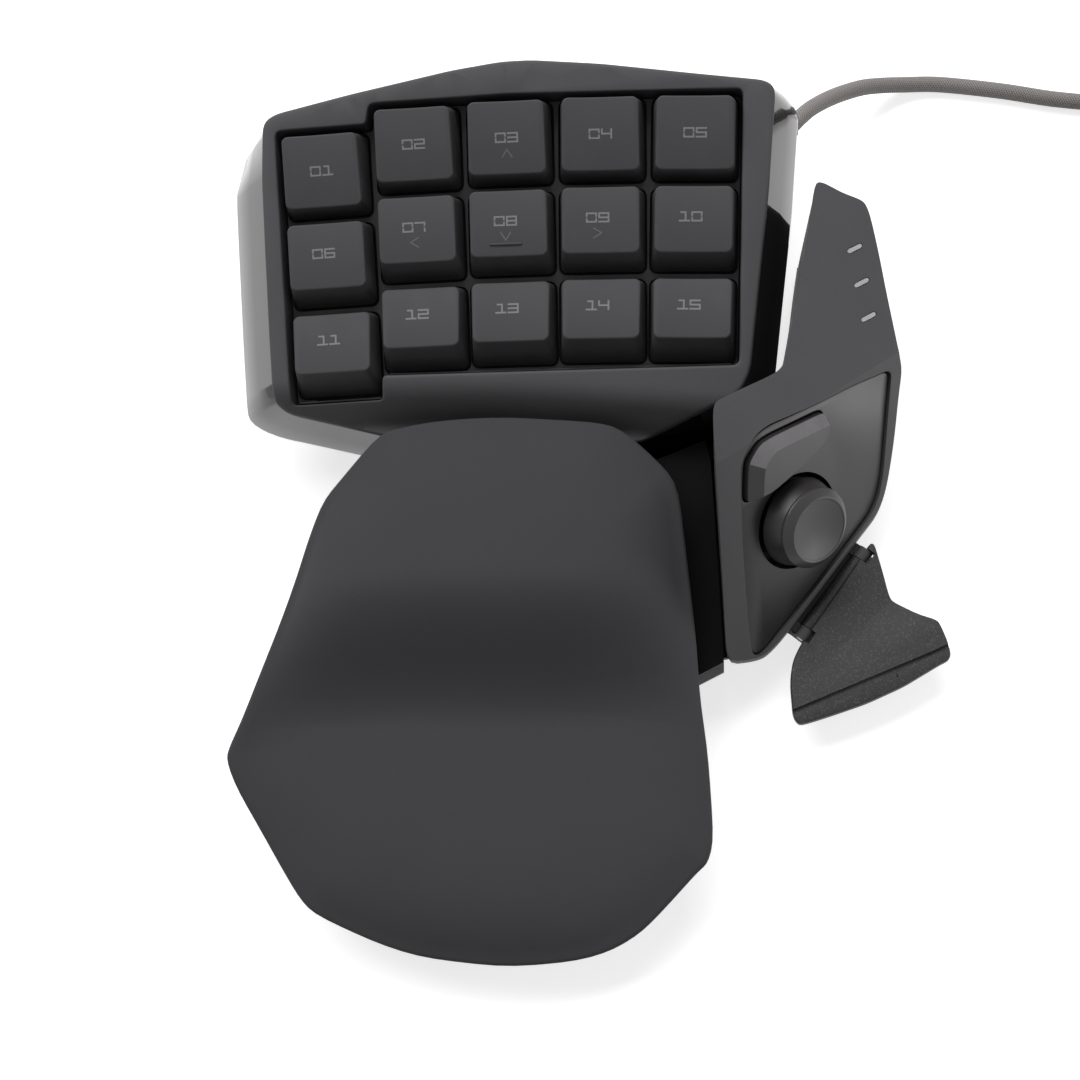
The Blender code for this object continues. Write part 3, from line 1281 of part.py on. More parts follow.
def build_paddle(datum):
    """The broad thumb paddle with its turned-down lip, its hinge barrel and pin."""
    hinge = add_empty("paddle_hinge", datum, hinge_place(), paddle_matrix())
    top = PADDLE_TOP - PADDLE_HINGE_HEIGHT
    outline = paddle_outline()
    paddle = add_solid("thumb_paddle", prism(outline, top - PADDLE_SHEET, top), "paddle_sparkle", hinge)
    outer = outline[8:15]
    inner = grown(outline, -PADDLE_LIP_WIDTH)[8:15]
    lip = prism(outer + inner[::-1], top - PADDLE_LIP, top - PADDLE_GROOVE)
    combine(paddle, lip, "UNION", hinge)
    far = grown(outline, -PADDLE_LIP_WIDTH - PADDLE_GROOVE)[8:15]
    groove = prism(inner + far[::-1], top - PADDLE_GROOVE, top + OVERRUN)
    combine(paddle, groove, "DIFFERENCE", hinge)
    turn = Matrix.Rotation(pi / 2, 4, "Y")
    half = BARREL_LENGTH / 2
    barrel = turned([(BARREL_RADIUS, -half), (BARREL_RADIUS, half)], BARREL_SIDES)
    combine(paddle, moved(barrel, turn), "UNION", hinge)
    bridge = box(BARREL_LENGTH, PADDLE_HINGE_OFFSET, -PIN_RADIUS, BARREL_RADIUS - MEET, (0, -PADDLE_HINGE_OFFSET))
    combine(paddle, bridge, "UNION", hinge)
    notches = []
    for side in (-1, 1):
        centre = side * (half + RUN_GAP + EAR_WIDTH / 2)
        depth = 2 * (BARREL_RADIUS + 2 * RUN_GAP)
        notches.append(box(EAR_WIDTH + 2 * RUN_GAP, depth, -PADDLE_LIP, PADDLE_LIP, (centre, 0)))
    combine(paddle, add_shapes(notches), "DIFFERENCE", hinge)
    bore = turned([(PIN_RADIUS + SEAT_GAP, -half - OVERRUN), (PIN_RADIUS + SEAT_GAP, half + OVERRUN)], BARREL_SIDES)
    combine(paddle, moved(bore, turn), "DIFFERENCE", hinge)
    reach = half + RUN_GAP + EAR_WIDTH
    pin = turned([(PIN_RADIUS, -reach), (PIN_RADIUS, reach)], BARREL_SIDES)
    add_solid("paddle_pin", moved(pin, turn), "steel", hinge, smooth=True)


def relief_matrix():
    """The strain relief's frame, pointing out of the housing along the cord's first stretch."""
    start, after = CORD_ROUTE[0], CORD_ROUTE[1]
    out = (after - start).normalized()
    across = Vector((0, 0, 1)).cross(out).normalized()
    turn = Matrix((across, out.cross(across), out)).transposed().to_4x4()
    return Matrix.Translation(start - out * (RELIEF_LENGTH + SEAT_GAP)) @ turn


def catmull(points, share, segment):
    """A point of the smooth curve through all the points."""
    before = points[max(segment - 1, 0)]
    start, end = points[segment], points[segment + 1]
    after = points[min(segment + 2, len(points) - 1)]
    t = share
    return (start * 2 + (end - before) * t + (before * 2 - start * 5 + end * 4 - after) * t * t
            + (start * 3 - before - end * 3 + after) * t * t * t) / 2


def smooth_route(points, count):
    """Evenly spread points of the smooth curve through the route."""
    fine = []
    per_segment = 40
    for segment in range(len(points) - 1):
        fine += [catmull(points, i / per_segment, segment) for i in range(per_segment)]
    fine.append(points[-1].copy())
    lengths = [0.0]
    for a, b in zip(fine, fine[1:]):
        lengths.append(lengths[-1] + (b - a).length)
    result = []
    place = 0
    for i in range(count):
        target = lengths[-1] * i / (count - 1)
        while place < len(fine) - 2 and lengths[place + 1] < target:
            place += 1
        share = (target - lengths[place]) / (lengths[place + 1] - lengths[place])
        result.append(fine[place].lerp(fine[place + 1], share))
    return result


def add_tube(name, points, resolution, datum):
    """A round tube through the points, with filled ends."""
    curve = bpy.data.curves.new(name, "CURVE")
    curve.dimensions = "3D"
    curve.bevel_depth = CORD_DIAMETER / 2
    curve.bevel_resolution = resolution
    curve.use_fill_caps = True
    curve.materials.append(finish_material("braid"))
    spline = curve.splines.new("POLY")
    spline.points.add(len(points) - 1)
    for knot, place in zip(spline.points, points):
        knot.co = (*place, 1.0)
    tube = bpy.data.objects.new(name, curve)
    bpy.context.scene.collection.objects.link(tube)
    tube.parent = datum
    return tube


def coil_centre():
    """The middle of the coil on the floor, past the end of the free stretch."""
    end = CORD_ROUTE[-1]
    outermost = COIL_RADIUS + COIL_SPACING * COIL_TURNS / COIL_LAYERS / 2
    return Vector((end.x + COIL_ENTRY + SEAT_GAP, end.y - outermost, 0))


def coil_points():
    """The coil: loops that spiral in and out again, climbing a layer at each reversal."""
    centre = coil_centre()
    per_layer = COIL_TURNS / COIL_LAYERS
    widest = COIL_RADIUS + COIL_SPACING * per_layer / 2
    steps = COIL_TURNS * COIL_LOOP_POINTS
    points = []
    for i in range(steps + 1):
        turn = i / COIL_LOOP_POINTS
        layer = min(int(turn // per_layer), COIL_LAYERS - 1)
        within = turn - layer * per_layer
        wander = within if layer % 2 == 0 else per_layer - within
        climbs = sum(eased(per_layer * k - 0.25, per_layer * k + 0.25, turn) for k in range(1, COIL_LAYERS))
        height = COIL_FLOOR + COIL_SPACING * climbs
        radius = widest - COIL_SPACING * wander
        angle = pi / 2 - 2 * pi * turn
        points.append(Vector((centre.x + radius * cos(angle), centre.y + radius * sin(angle), height)))
    first = points[0] - Vector((COIL_ENTRY, 0, 0))
    straight = points[0] - Vector((COIL_ENTRY - CORD_DIAMETER, 0, 0))
    last = points[-1]
    tail = []
    for i in range(1, TAIL_STEPS + 1):
        share = i / TAIL_STEPS
        drop = (last.z - TAIL_HEIGHT) * eased(TAIL_LEVEL_SHARE, 1 - TAIL_END_SHARE, share)
        tail.append(last + Vector((TAIL_LENGTH * share, 0, -drop)))
    return [first, straight] + points + tail


def least_coil_gap(points):
    """The least clear distance between turns, skipping neighbours along the cord."""
    skip = COIL_LOOP_POINTS // 2
    least = 1.0
    for i, point in enumerate(points):
        for other in points[i + skip:]:
            least = min(least, (point - other).length)
    return least - CORD_DIAMETER


def build_cord(datum):
    """Strain relief, free stretch, coil, tie and plug."""
    matrix = relief_matrix()
    profile = [(RELIEF_ROOT_RADIUS, 0), (RELIEF_ROOT_RADIUS, RELIEF_LENGTH / 3), (RELIEF_TIP_RADIUS, RELIEF_LENGTH)]
    relief = moved(turned(profile, RELIEF_SIDES), matrix)
    add_solid("strain_relief", relief, "rubber", datum, smooth=True)
    add_tube("cord_run", smooth_route(CORD_ROUTE, CORD_STEPS), 2, datum)
    points = coil_points()
    add_tube("cord_coil", points, 1, datum)
    print("least gap of the coil to itself", round(least_coil_gap(points) / SEAT_GAP * 0.3, 2), "mm")
    build_tie(datum)
    build_plug(datum, points)


def coil_span():
    """The coil's inner and outer radius and its top."""
    half = COIL_SPACING * COIL_TURNS / COIL_LAYERS / 2 + CORD_DIAMETER / 2
    inner = COIL_RADIUS - half
    sag = inner - sqrt(inner * inner - TIE_WIDTH * TIE_WIDTH / 4)
    top = COIL_FLOOR + COIL_SPACING * (COIL_LAYERS - 1) + CORD_DIAMETER / 2
    return inner - sag, COIL_RADIUS + half, top


def build_tie(datum):
    """The flat strap round the bundle, at the side away from the keypad."""
    inner, outer, top = coil_span()
    centre = coil_centre()
    low = MEET
    window = [(inner - TIE_GAP, TIE_SHEET), (outer + TIE_GAP, TIE_SHEET),
              (outer + TIE_GAP, top + TIE_GAP), (inner - TIE_GAP, top + TIE_GAP)]
    outside = [(inner - TIE_GAP - TIE_SHEET, low), (outer + TIE_GAP + TIE_SHEET, low),
               (outer + TIE_GAP + TIE_SHEET, top + TIE_GAP + TIE_SHEET),
               (inner - TIE_GAP - TIE_SHEET, top + TIE_GAP + TIE_SHEET)]
    loops = []
    for y in (-TIE_WIDTH / 2, TIE_WIDTH / 2):
        loops.append([(x + centre.x, y + centre.y, z) for x, z in outside])
    for y in (TIE_WIDTH / 2, -TIE_WIDTH / 2):
        loops.append([(x + centre.x, y + centre.y, z) for x, z in window])
    add_solid("cord_tie", loft(loops, closed=True), "black_plastic", datum)


def build_plug(datum, points):
    """The moulded grip and the metal shell at the cord's end."""
    end = points[-1]
    heading = (points[-1] - points[-2]).normalized()
    across = Vector((0, 0, 1)).cross(heading)
    turn = Matrix((across, Vector((0, 0, 1)), heading)).transposed().to_4x4()
    frame = Matrix.Translation(end + heading * SEAT_GAP) @ turn
    grip_start = PLUG_TAIL
    grip_end = PLUG_TAIL + PLUG_LENGTH
    tail = CORD_DIAMETER * 0.7
    loops = []
    for z, width, height in ((0, tail * 2, tail * 2), (grip_start, PLUG_WIDTH, PLUG_HEIGHT),
                             (grip_end, PLUG_WIDTH, PLUG_HEIGHT)):
        loops.append([(-width / 2, -height / 2, z), (width / 2, -height / 2, z),
                      (width / 2, height / 2, z), (-width / 2, height / 2, z)])
    grip = moved(loft(loops), frame)
    add_solid("plug_grip", grip, "rubber", datum)
    start = grip_end + SEAT_GAP
    shell = []
    for inset in (0, PLUG_WALL):
        width = PLUG_SHELL_WIDTH - 2 * inset
        height = PLUG_SHELL_HEIGHT - 2 * inset
        shell.append([(-width / 2, -height / 2), (width / 2, -height / 2), (width / 2, height / 2),
                      (-width / 2, height / 2)])
    body = moved(prism(shell[0], start, start + PLUG_SHELL_LENGTH), frame)
    metal = add_solid("plug_shell", body, "steel", datum)
    hollow = moved(prism(shell[1], start + PLUG_WALL * 2, start + PLUG_SHELL_LENGTH + OVERRUN), frame)
    combine(metal, hollow, "DIFFERENCE", datum)


def centre_on_floor(datum):
    """Moves the datum so that the keypad, without its cord, is centred over the origin."""
    bpy.context.view_layer.update()
    graph = bpy.context.evaluated_depsgraph_get()
    loose = ("cord_run", "cord_coil", "cord_tie", "plug_grip", "plug_shell", "strain_relief")
    places = []
    for thing in bpy.context.scene.objects:
        if thing.type != "MESH" or thing.hide_render or thing.name in loose:
            continue
        shown = thing.evaluated_get(graph)
        places += [shown.matrix_world @ corner.co for corner in shown.data.vertices]
    middle_x = (min(p.x for p in places) + max(p.x for p in places)) / 2
    middle_y = (min(p.y for p in places) + max(p.y for p in places)) / 2
    datum.location = (-middle_x, -middle_y, 0)


def main():
    """Builds the keypad from the deck outwards."""
    clear_scene()
    datum = add_empty("keypad_datum")
    deck = add_empty("deck_frame", datum, (0, 0, DECK_HEIGHT), Matrix.Rotation(DECK_PITCH, 3, "X"))
    panel_frame = add_empty("panel_frame", datum, panel_frame_place(), Matrix(panel_axes()).transposed())
    for number, row, u, v, turn in key_places():
        build_keycap(number, row, u, v, turn, deck)
    build_key_frame(deck)
    build_key_sheets(deck)
    build_bezel(deck)
    build_housing(datum)
    build_base(datum)
    build_palm_rest(datum)
    build_wing(datum, panel_frame)
    build_panel(datum, panel_frame)
    build_thumb_button(panel_frame)
    build_stick(panel_frame)
    build_paddle(datum)
    build_cord(datum)
    centre_on_floor(datum)


main()
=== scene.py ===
"""Looks of a left-handed gaming keypad: sculpted caps, covers, palm rest, thumb wing and cord.

Everything is in metres. Shapes are made in the datum's frame, whose origin is the middle key's place over
the floor, with +X to the user's right and +Y away from the user. Each sub-assembly is a class that holds
its sizes, and main builds them in order.
"""

import logging
from collections.abc import Callable, Mapping, Sequence
from dataclasses import dataclass
from enum import Enum
from math import cos, pi, radians, sin, sqrt

import bmesh
import bpy
from mathutils import Matrix, Vector


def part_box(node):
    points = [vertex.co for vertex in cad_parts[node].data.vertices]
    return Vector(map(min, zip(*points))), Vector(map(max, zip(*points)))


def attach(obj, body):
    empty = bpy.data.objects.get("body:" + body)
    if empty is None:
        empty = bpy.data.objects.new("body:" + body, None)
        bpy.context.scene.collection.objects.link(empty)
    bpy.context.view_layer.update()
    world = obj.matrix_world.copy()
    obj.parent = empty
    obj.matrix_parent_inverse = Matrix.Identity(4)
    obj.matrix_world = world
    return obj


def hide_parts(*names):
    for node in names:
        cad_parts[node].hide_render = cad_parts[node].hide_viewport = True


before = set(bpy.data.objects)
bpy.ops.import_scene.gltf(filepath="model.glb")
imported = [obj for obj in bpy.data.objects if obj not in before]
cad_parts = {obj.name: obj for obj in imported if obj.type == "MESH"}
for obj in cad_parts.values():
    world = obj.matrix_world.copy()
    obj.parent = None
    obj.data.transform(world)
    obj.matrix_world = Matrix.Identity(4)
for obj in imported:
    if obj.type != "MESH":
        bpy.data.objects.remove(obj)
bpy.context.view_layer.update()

LOG = logging.getLogger("keypad")
Outline = Sequence[tuple[float, float]]
Shape = bmesh.types.BMesh

MM = 0.001
WELD = 0.002 * MM
SEAT_GAP = 0.3 * MM
RUN_GAP = 0.4 * MM
OVERRUN = 2 * MM
FACE_BAND = 0.1 * MM
FINE_RIM = 0.12 * MM
GROW_STEPS = 40
MITRE_LIMIT = 0.4
CORNER_SHARE = 0.46
ROLL_DEGREES = (0, 30, 60, 90)
MOTTLE_SHARE, GRAIN_SHARE = 0.55, 0.45
NOISE_ENDS = (0.3, 0.7)
RAMP_ENDS = (0.32, 0.68)
ROD_SIDES = 32
BORE_SIDES = 24
UP = Vector((0, 0, 1))
LAID_ALONG_X = Matrix.Rotation(pi / 2, 4, "Y")
# Numbers of the colour sockets of a Mix node, whose names other sockets of it share
MIX_FIRST, MIX_SECOND, MIX_RESULT = 6, 7, 2


class Slot(Enum):
    """The record's material slots."""

    KEYCAP = "keycap"
    BEZEL = "bezel_grey"
    GLOSS = "gloss_black"
    SOFT = "soft_touch"
    PANEL = "panel_brown"
    BUTTON = "button_satin"
    PADDLE = "paddle_sparkle"
    LIGHT = "light_pipe"
    FOOT = "foot_rubber"
    SILICONE = "silicone"
    FILM = "film"
    STEEL = "steel"
    BOARD = "circuit_board"
    INNER = "inner_black"
    BRAID = "braid"


def linear(colour: str) -> tuple[float, float, float, float]:
    """Turns an sRGB hex colour into linear values.

    Args:
        colour: Six hex digits after a hash sign.

    Returns:
        Red, green, blue and a full alpha.
    """
    parts = [int(colour[i:i + 2], 16) / 255 for i in (1, 3, 5)]
    curve = [part / 12.92 if part <= 0.04045 else ((part + 0.055) / 1.055) ** 2.4 for part in parts]
    return (*curve, 1.0)


def per_metre(size_mm: float) -> float:
    """A texture's scale for a pattern whose grains are that many millimetres wide."""
    return 1 / (size_mm * MM)


def add_node(tree: bpy.types.NodeTree, kind: str, settings: Mapping | None = None,
             links: Mapping | None = None) -> bpy.types.Node:
    """Adds a node with its settings and links.

    Args:
        tree: The node tree that gets it.
        kind: The node's type name.
        settings: Values by property name, or by the name or number of an input.
        links: Output sockets by the name or number of the input that each feeds.

    Returns:
        The new node.
    """
    node = tree.nodes.new(kind)
    for name, value in (settings or {}).items():
        if isinstance(name, str) and name not in node.inputs:
            setattr(node, name, value)
        else:
            node.inputs[name].default_value = value
    for name, source in (links or {}).items():
        tree.links.new(source, node.inputs[name])
    return node


@dataclass(frozen=True)
class Finish:
    """A procedural finish: its colours, its gloss and the grain of its surface."""

    name: str
    dark: str
    light: str
    roughness: float
    roughness_spread: float = 0.06
    metallic: float = 0.0
    ior: float = 1.5
    specular: float = 0.5
    coat: float = 0.0
    coat_roughness: float = 0.1
    sheen: float = 0.0
    mottle_mm: float = 9.0
    grain_mm: float = 0.5
    grain_depth_mm: float = 0.01
    grain_strength: float = 0.25

    def material(self) -> bpy.types.Material:
        """The finish's material, made once.

        Returns:
            The material.
        """
        known = bpy.data.materials.get(self.name)
        if known:
            return known
        made = bpy.data.materials.new(self.name)
        made.use_nodes = True
        tree = made.node_tree
        shader = tree.nodes["Principled BSDF"]
        values = {
            "Metallic": self.metallic, "IOR": self.ior, "Specular IOR Level": self.specular,
            "Coat Weight": self.coat, "Coat Roughness": self.coat_roughness, "Sheen Weight": self.sheen,
        }
        for name, value in values.items():
            shader.inputs[name].default_value = value
        self.pattern(tree, shader)
        return made

    def pattern(self, tree: bpy.types.NodeTree, shader: bpy.types.Node) -> None:
        """Feeds the shader with mottled colour, uneven gloss and moulded grain.

        Args:
            tree: The material's node tree.
            shader: The shader whose inputs it feeds.
        """
        place = self.coordinates(tree)
        mottle = add_node(tree, "ShaderNodeTexNoise",
                          {"Scale": per_metre(self.mottle_mm), "Detail": 3.0}, {"Vector": place})
        grain = self.grain(tree, place)
        share = add_node(tree, "ShaderNodeMath", {"operation": "MULTIPLY_ADD", 1: GRAIN_SHARE, 2: 0.0},
                         {0: grain})
        blend = add_node(tree, "ShaderNodeMath", {"operation": "MULTIPLY_ADD", 1: MOTTLE_SHARE},
                         {0: mottle.outputs["Fac"], 2: share.outputs[0]})
        colour = add_node(tree, "ShaderNodeValToRGB", {}, {"Fac": blend.outputs[0]})
        for stop, position, tone in zip(colour.color_ramp.elements, RAMP_ENDS, (self.dark, self.light)):
            stop.position = position
            stop.color = linear(tone)
        gloss = add_node(tree, "ShaderNodeMapRange", {
            "From Min": NOISE_ENDS[0], "To Min": self.roughness - self.roughness_spread,
            "From Max": NOISE_ENDS[1], "To Max": self.roughness + self.roughness_spread,
        }, {"Value": mottle.outputs["Fac"]})
        bump = add_node(tree, "ShaderNodeBump",
                        {"Strength": self.grain_strength, "Distance": self.grain_depth_mm * MM},
                        {"Height": grain})
        tree.links.new(colour.outputs["Color"], shader.inputs["Base Color"])
        tree.links.new(gloss.outputs["Result"], shader.inputs["Roughness"])
        tree.links.new(bump.outputs["Normal"], shader.inputs["Normal"])

    def coordinates(self, tree: bpy.types.NodeTree) -> bpy.types.NodeSocket:
        """Where the pattern is read from: the object's own coordinates."""
        return add_node(tree, "ShaderNodeTexCoord").outputs["Object"]

    def grain(self, tree: bpy.types.NodeTree, place: bpy.types.NodeSocket) -> bpy.types.NodeSocket:
        """The fine relief of the surface, as heights from 0 to 1.

        Args:
            tree: The material's node tree.
            place: The coordinates.

        Returns:
            The heights' socket.
        """
        noise = add_node(tree, "ShaderNodeTexNoise", {"Scale": per_metre(self.grain_mm), "Detail": 2.0},
                         {"Vector": place})
        return noise.outputs["Fac"]


@dataclass(frozen=True)
class BrushedFinish(Finish):
    """A metal whose grain is drawn out along one direction."""

    stretch: tuple[float, float, float] = (0.05, 1.0, 1.0)

    def coordinates(self, tree: bpy.types.NodeTree) -> bpy.types.NodeSocket:
        """The object's coordinates, squeezed so that the grain becomes long scratches.

        Args:
            tree: The material's node tree.

        Returns:
            The coordinates' socket.
        """
        mapping = add_node(tree, "ShaderNodeMapping", {"Scale": self.stretch},
                           {"Vector": super().coordinates(tree)})
        return mapping.outputs["Vector"]


@dataclass(frozen=True)
class SparkleFinish(Finish):
    """A coarse spark-eroded texture, with painted glints: some facets are painted lighter as if they caught
    the light.
    """

    facet_mm: float = 0.42
    painted_glint_cell_share: float = 0.8
    painted_glint: str = "#7a787a"
    painted_glint_from: float = 0.80

    def grain(self, tree: bpy.types.NodeTree, place: bpy.types.NodeSocket) -> bpy.types.NodeSocket:
        """Cells of unlike height, as the eroded mould leaves them.

        Args:
            tree: The material's node tree.
            place: The coordinates.

        Returns:
            The heights' socket.
        """
        cells = add_node(tree, "ShaderNodeTexVoronoi",
                         {"Scale": per_metre(self.facet_mm), "Randomness": 1.0}, {"Vector": place})
        bright = add_node(tree, "ShaderNodeSeparateColor", {}, {"Color": cells.outputs["Color"]})
        return bright.outputs["Red"]

    def pattern(self, tree: bpy.types.NodeTree, shader: bpy.types.Node) -> None:
        """The moulded pattern, with painted glints: the brightest facets are painted lighter.

        Args:
            tree: The material's node tree.
            shader: The shader whose inputs it feeds.
        """
        super().pattern(tree, shader)
        base = shader.inputs["Base Color"].links[0].from_socket
        place = self.coordinates(tree)
        painted_glint_cells = add_node(tree, "ShaderNodeTexVoronoi",
                          {"Scale": per_metre(self.facet_mm * self.painted_glint_cell_share)}, {"Vector": place})
        tone = add_node(tree, "ShaderNodeSeparateColor", {}, {"Color": painted_glint_cells.outputs["Color"]})
        pick = add_node(tree, "ShaderNodeMapRange", {"From Min": self.painted_glint_from, "From Max": 1.0},
                        {"Value": tone.outputs["Green"]})
        # Picked facets take the lighter colour: painted glints
        mixed = add_node(tree, "ShaderNodeMix", {"data_type": "RGBA", MIX_SECOND: linear(self.painted_glint)},
                         {0: pick.outputs["Result"], MIX_FIRST: base})
        tree.links.new(mixed.outputs[MIX_RESULT], shader.inputs["Base Color"])


@dataclass(frozen=True)
class BraidFinish(Finish):
    """Woven sleeve: two sets of strands that wind round the cord and cross each other, with the hollows
    between them painted darker as painted shade.
    """

    strands: int = 12
    pitch_mm: float = 7.0

    def coordinates(self, tree: bpy.types.NodeTree) -> bpy.types.NodeSocket:
        """The cord's own map: round it once from 0 to 1, and along it in metres."""
        return add_node(tree, "ShaderNodeUVMap", {"uv_map": "around_along"}).outputs["UV"]

    def grain(self, tree: bpy.types.NodeTree, place: bpy.types.NodeSocket) -> bpy.types.NodeSocket:
        """The strands' crowns: the higher of the two windings at each place; they also set the colour, so
        the hollows are painted darker as painted shade.

        Args:
            tree: The material's node tree.
            place: The coordinates.

        Returns:
            The heights' socket.
        """
        parts = add_node(tree, "ShaderNodeSeparateXYZ", {}, {"Vector": place})
        windings = []
        for sense in (1, -1):
            round_turn = add_node(tree, "ShaderNodeMath",
                                  {"operation": "MULTIPLY", 1: float(self.strands)}, {0: parts.outputs["X"]})
            advance = add_node(tree, "ShaderNodeMath", {
                "operation": "MULTIPLY_ADD", 1: sense * self.strands / (self.pitch_mm * MM),
            }, {0: parts.outputs["Y"], 2: round_turn.outputs[0]})
            wave = add_node(tree, "ShaderNodeMath", {"operation": "PINGPONG", 1: 0.5},
                            {0: advance.outputs[0]})
            windings.append(wave.outputs[0])
        crossed = add_node(tree, "ShaderNodeMath", {"operation": "MAXIMUM"}, dict(enumerate(windings)))
        doubled = add_node(tree, "ShaderNodeMath", {"operation": "MULTIPLY", 1: 2.0},
                           {0: crossed.outputs[0]})
        return doubled.outputs[0]


@dataclass(frozen=True)
class BoardFinish(Finish):
    """Circuit board: green lacquer over copper tracks, with tinned pads."""

    track_mm: float = 1.27
    tracks_long: int = 6
    gap_share: float = 0.18
    pad_reach: float = 0.16
    pad_scatter: float = 0.2
    copper: str = "#2f7a4c"
    pad: str = "#b9b9ad"

    def pattern(self, tree: bpy.types.NodeTree, shader: bpy.types.Node) -> None:
        """The lacquer, with tracks on a grid and pads where they end.

        Args:
            tree: The material's node tree.
            shader: The shader whose inputs it feeds.
        """
        super().pattern(tree, shader)
        place = self.coordinates(tree)
        base = shader.inputs["Base Color"].links[0].from_socket
        tracks = add_node(tree, "ShaderNodeTexBrick", {
            "Scale": 1.0, "Brick Width": self.track_mm * self.tracks_long * MM,
            "Row Height": self.track_mm * MM, "Mortar Size": self.track_mm * self.gap_share * MM,
            "Mortar Smooth": 0.0,
        }, {"Vector": place})
        traced = add_node(tree, "ShaderNodeMix", {"data_type": "RGBA", MIX_SECOND: linear(self.copper)},
                          {0: tracks.outputs["Fac"], MIX_FIRST: base})
        dots = add_node(tree, "ShaderNodeTexVoronoi", {
            "Scale": per_metre(self.track_mm * 2), "Randomness": self.pad_scatter,
        }, {"Vector": place})
        near = add_node(tree, "ShaderNodeMath", {"operation": "LESS_THAN", 1: self.pad_reach},
                        {0: dots.outputs["Distance"]})
        padded = add_node(tree, "ShaderNodeMix", {"data_type": "RGBA", MIX_SECOND: linear(self.pad)},
                          {0: near.outputs[0], MIX_FIRST: traced.outputs[MIX_RESULT]})
        tree.links.new(padded.outputs[MIX_RESULT], shader.inputs["Base Color"])


# Each grain is drawn a few times coarser than the real one, or it would not show.
# Spark-textured ABS of the caps: matt, with a fine grain that breaks the highlight
CAP_ABS = Finish("spark_textured_abs_caps", "#414143", "#474749", 0.60, specular=0.2, grain_mm=0.35,
                 mottle_mm=6.0)
# Finely textured ABS of the covers: a lighter grey that still shows a soft sheen along its edges
COVER_ABS = Finish("fine_textured_abs_covers", "#49494b", "#4f4f51", 0.54, specular=0.2, grain_mm=0.32,
                   mottle_mm=14.0)
# Same moulding, for the small plate between the keys: darker, and a little shinier
PLATE_ABS = Finish("satin_abs_key_plate", "#343436", "#3a3a3c", 0.45, specular=0.25, grain_mm=0.3,
                   mottle_mm=10.0)
# High-gloss moulding: a mirror-like black whose brightness is all reflection
GLOSS_ABS = Finish("mirror_polished_abs", "#121111", "#161515", 0.07, 0.02, grain_mm=1.6,
                   grain_strength=0.02, coat=0.7, coat_roughness=0.03, mottle_mm=20.0)
# The base's own cover, of the same black, painted darker and kept almost without reflection: painted shade
# between the palm rest and the wing
BASE_BLACK_PAINTED_SHADE = Finish("base_black_abs_painted_shade", "#080707", "#0c0b0b", 0.5, specular=0.05, grain_mm=0.5, mottle_mm=9.0)
# Soft-touch lacquer over ABS: very matt, velvety towards its edges
SOFT_LACQUER = Finish("soft_touch_lacquer", "#3d3d3f", "#424244", 0.72, 0.03, specular=0.12,
                      sheen=0.04, grain_mm=0.3, grain_strength=0.15, mottle_mm=26.0)
# Satin lacquered panel: brownish grey with a soft reflection
SATIN_PANEL = Finish("satin_lacquered_panel", "#1e1c1d", "#242122", 0.35, 0.03, specular=0.4, grain_mm=0.28,
                     grain_strength=0.18, mottle_mm=12.0)
# Satin moulded button and stick: as the panel, with crisp edges; the button's upper bevel takes the painted
# highlight below
SATIN_BUTTON = Finish("satin_moulded_button", "#2b292a", "#312f30", 0.36, 0.04, specular=0.4, grain_mm=0.3,
                      mottle_mm=5.0)
# Painted highlight on the button's upper bevel: the same satin, painted lighter on the faces that lean
# towards the light
BEVEL_PAINTED_HIGHLIGHT = Finish("button_bevel_painted_highlight", "#626062", "#6c6a6c", 0.3, 0.04, specular=0.5, grain_mm=0.3,
                       grain_strength=0.15, mottle_mm=3.0)
# Coarsely eroded paddle: painted glints, facets painted lighter as if they caught the light, on a near-black
# ground
SPARKLE_ABS = SparkleFinish("coarse_eroded_abs_paddle", "#252425", "#2d2c2d", 0.5, 0.06, specular=0.3,
                            grain_strength=0.35, grain_depth_mm=0.02, mottle_mm=7.0, facet_mm=0.3,
                            painted_glint="#4a484a")
# Printed ink of the key numbers: a flat grey, lighter than the caps
KEY_INK = Finish("pad_printed_ink", "#6f6f71", "#79797b", 0.62, grain_mm=0.25, grain_strength=0.1,
                 mottle_mm=1.5)
# Thinner ink of the arrows, which lets the cap's grey through
FAINT_INK = Finish("thin_printed_ink", "#4b4b4d", "#555557", 0.62, grain_mm=0.25, grain_strength=0.1,
                   mottle_mm=1.5)
# Milky polycarbonate of the light pipe: pale, faintly glossy
MILKY_LIGHT = Finish("milky_polycarbonate", "#a9a9ac", "#b6b6b9", 0.22, 0.03, ior=1.585, mottle_mm=2.0)
# Moulded rubber: dark and dull
RUBBER = Finish("moulded_rubber", "#1b1b1b", "#232323", 0.82, 0.05, ior=1.52, grain_mm=0.6,
                grain_strength=0.4)
# Plain injection-moulded black ABS of the inner parts and the paddle's bead: a low even sheen
INNER_ABS = Finish("plain_black_abs", "#161618", "#1c1c1e", 0.48, specular=0.15, grain_mm=0.8,
                   mottle_mm=8.0)
# Silicone of the domes: translucent grey white with a soft sheen
SILICONE = Finish("cast_silicone", "#b8bcbb", "#c8cccb", 0.5, ior=1.41, sheen=0.1, grain_mm=0.9)
# Polyester film of the contact membrane: smooth, faintly green
FILM = Finish("printed_polyester_film", "#b9c6bd", "#c6d2c9", 0.28, ior=1.64, grain_mm=1.2,
              grain_strength=0.1)
# Rolled steel: fine scratches along the rolling direction
STEEL = BrushedFinish("rolled_steel", "#9a9a9c", "#b4b4b6", 0.34, 0.08, metallic=1.0, grain_mm=0.25,
                      mottle_mm=4.0)
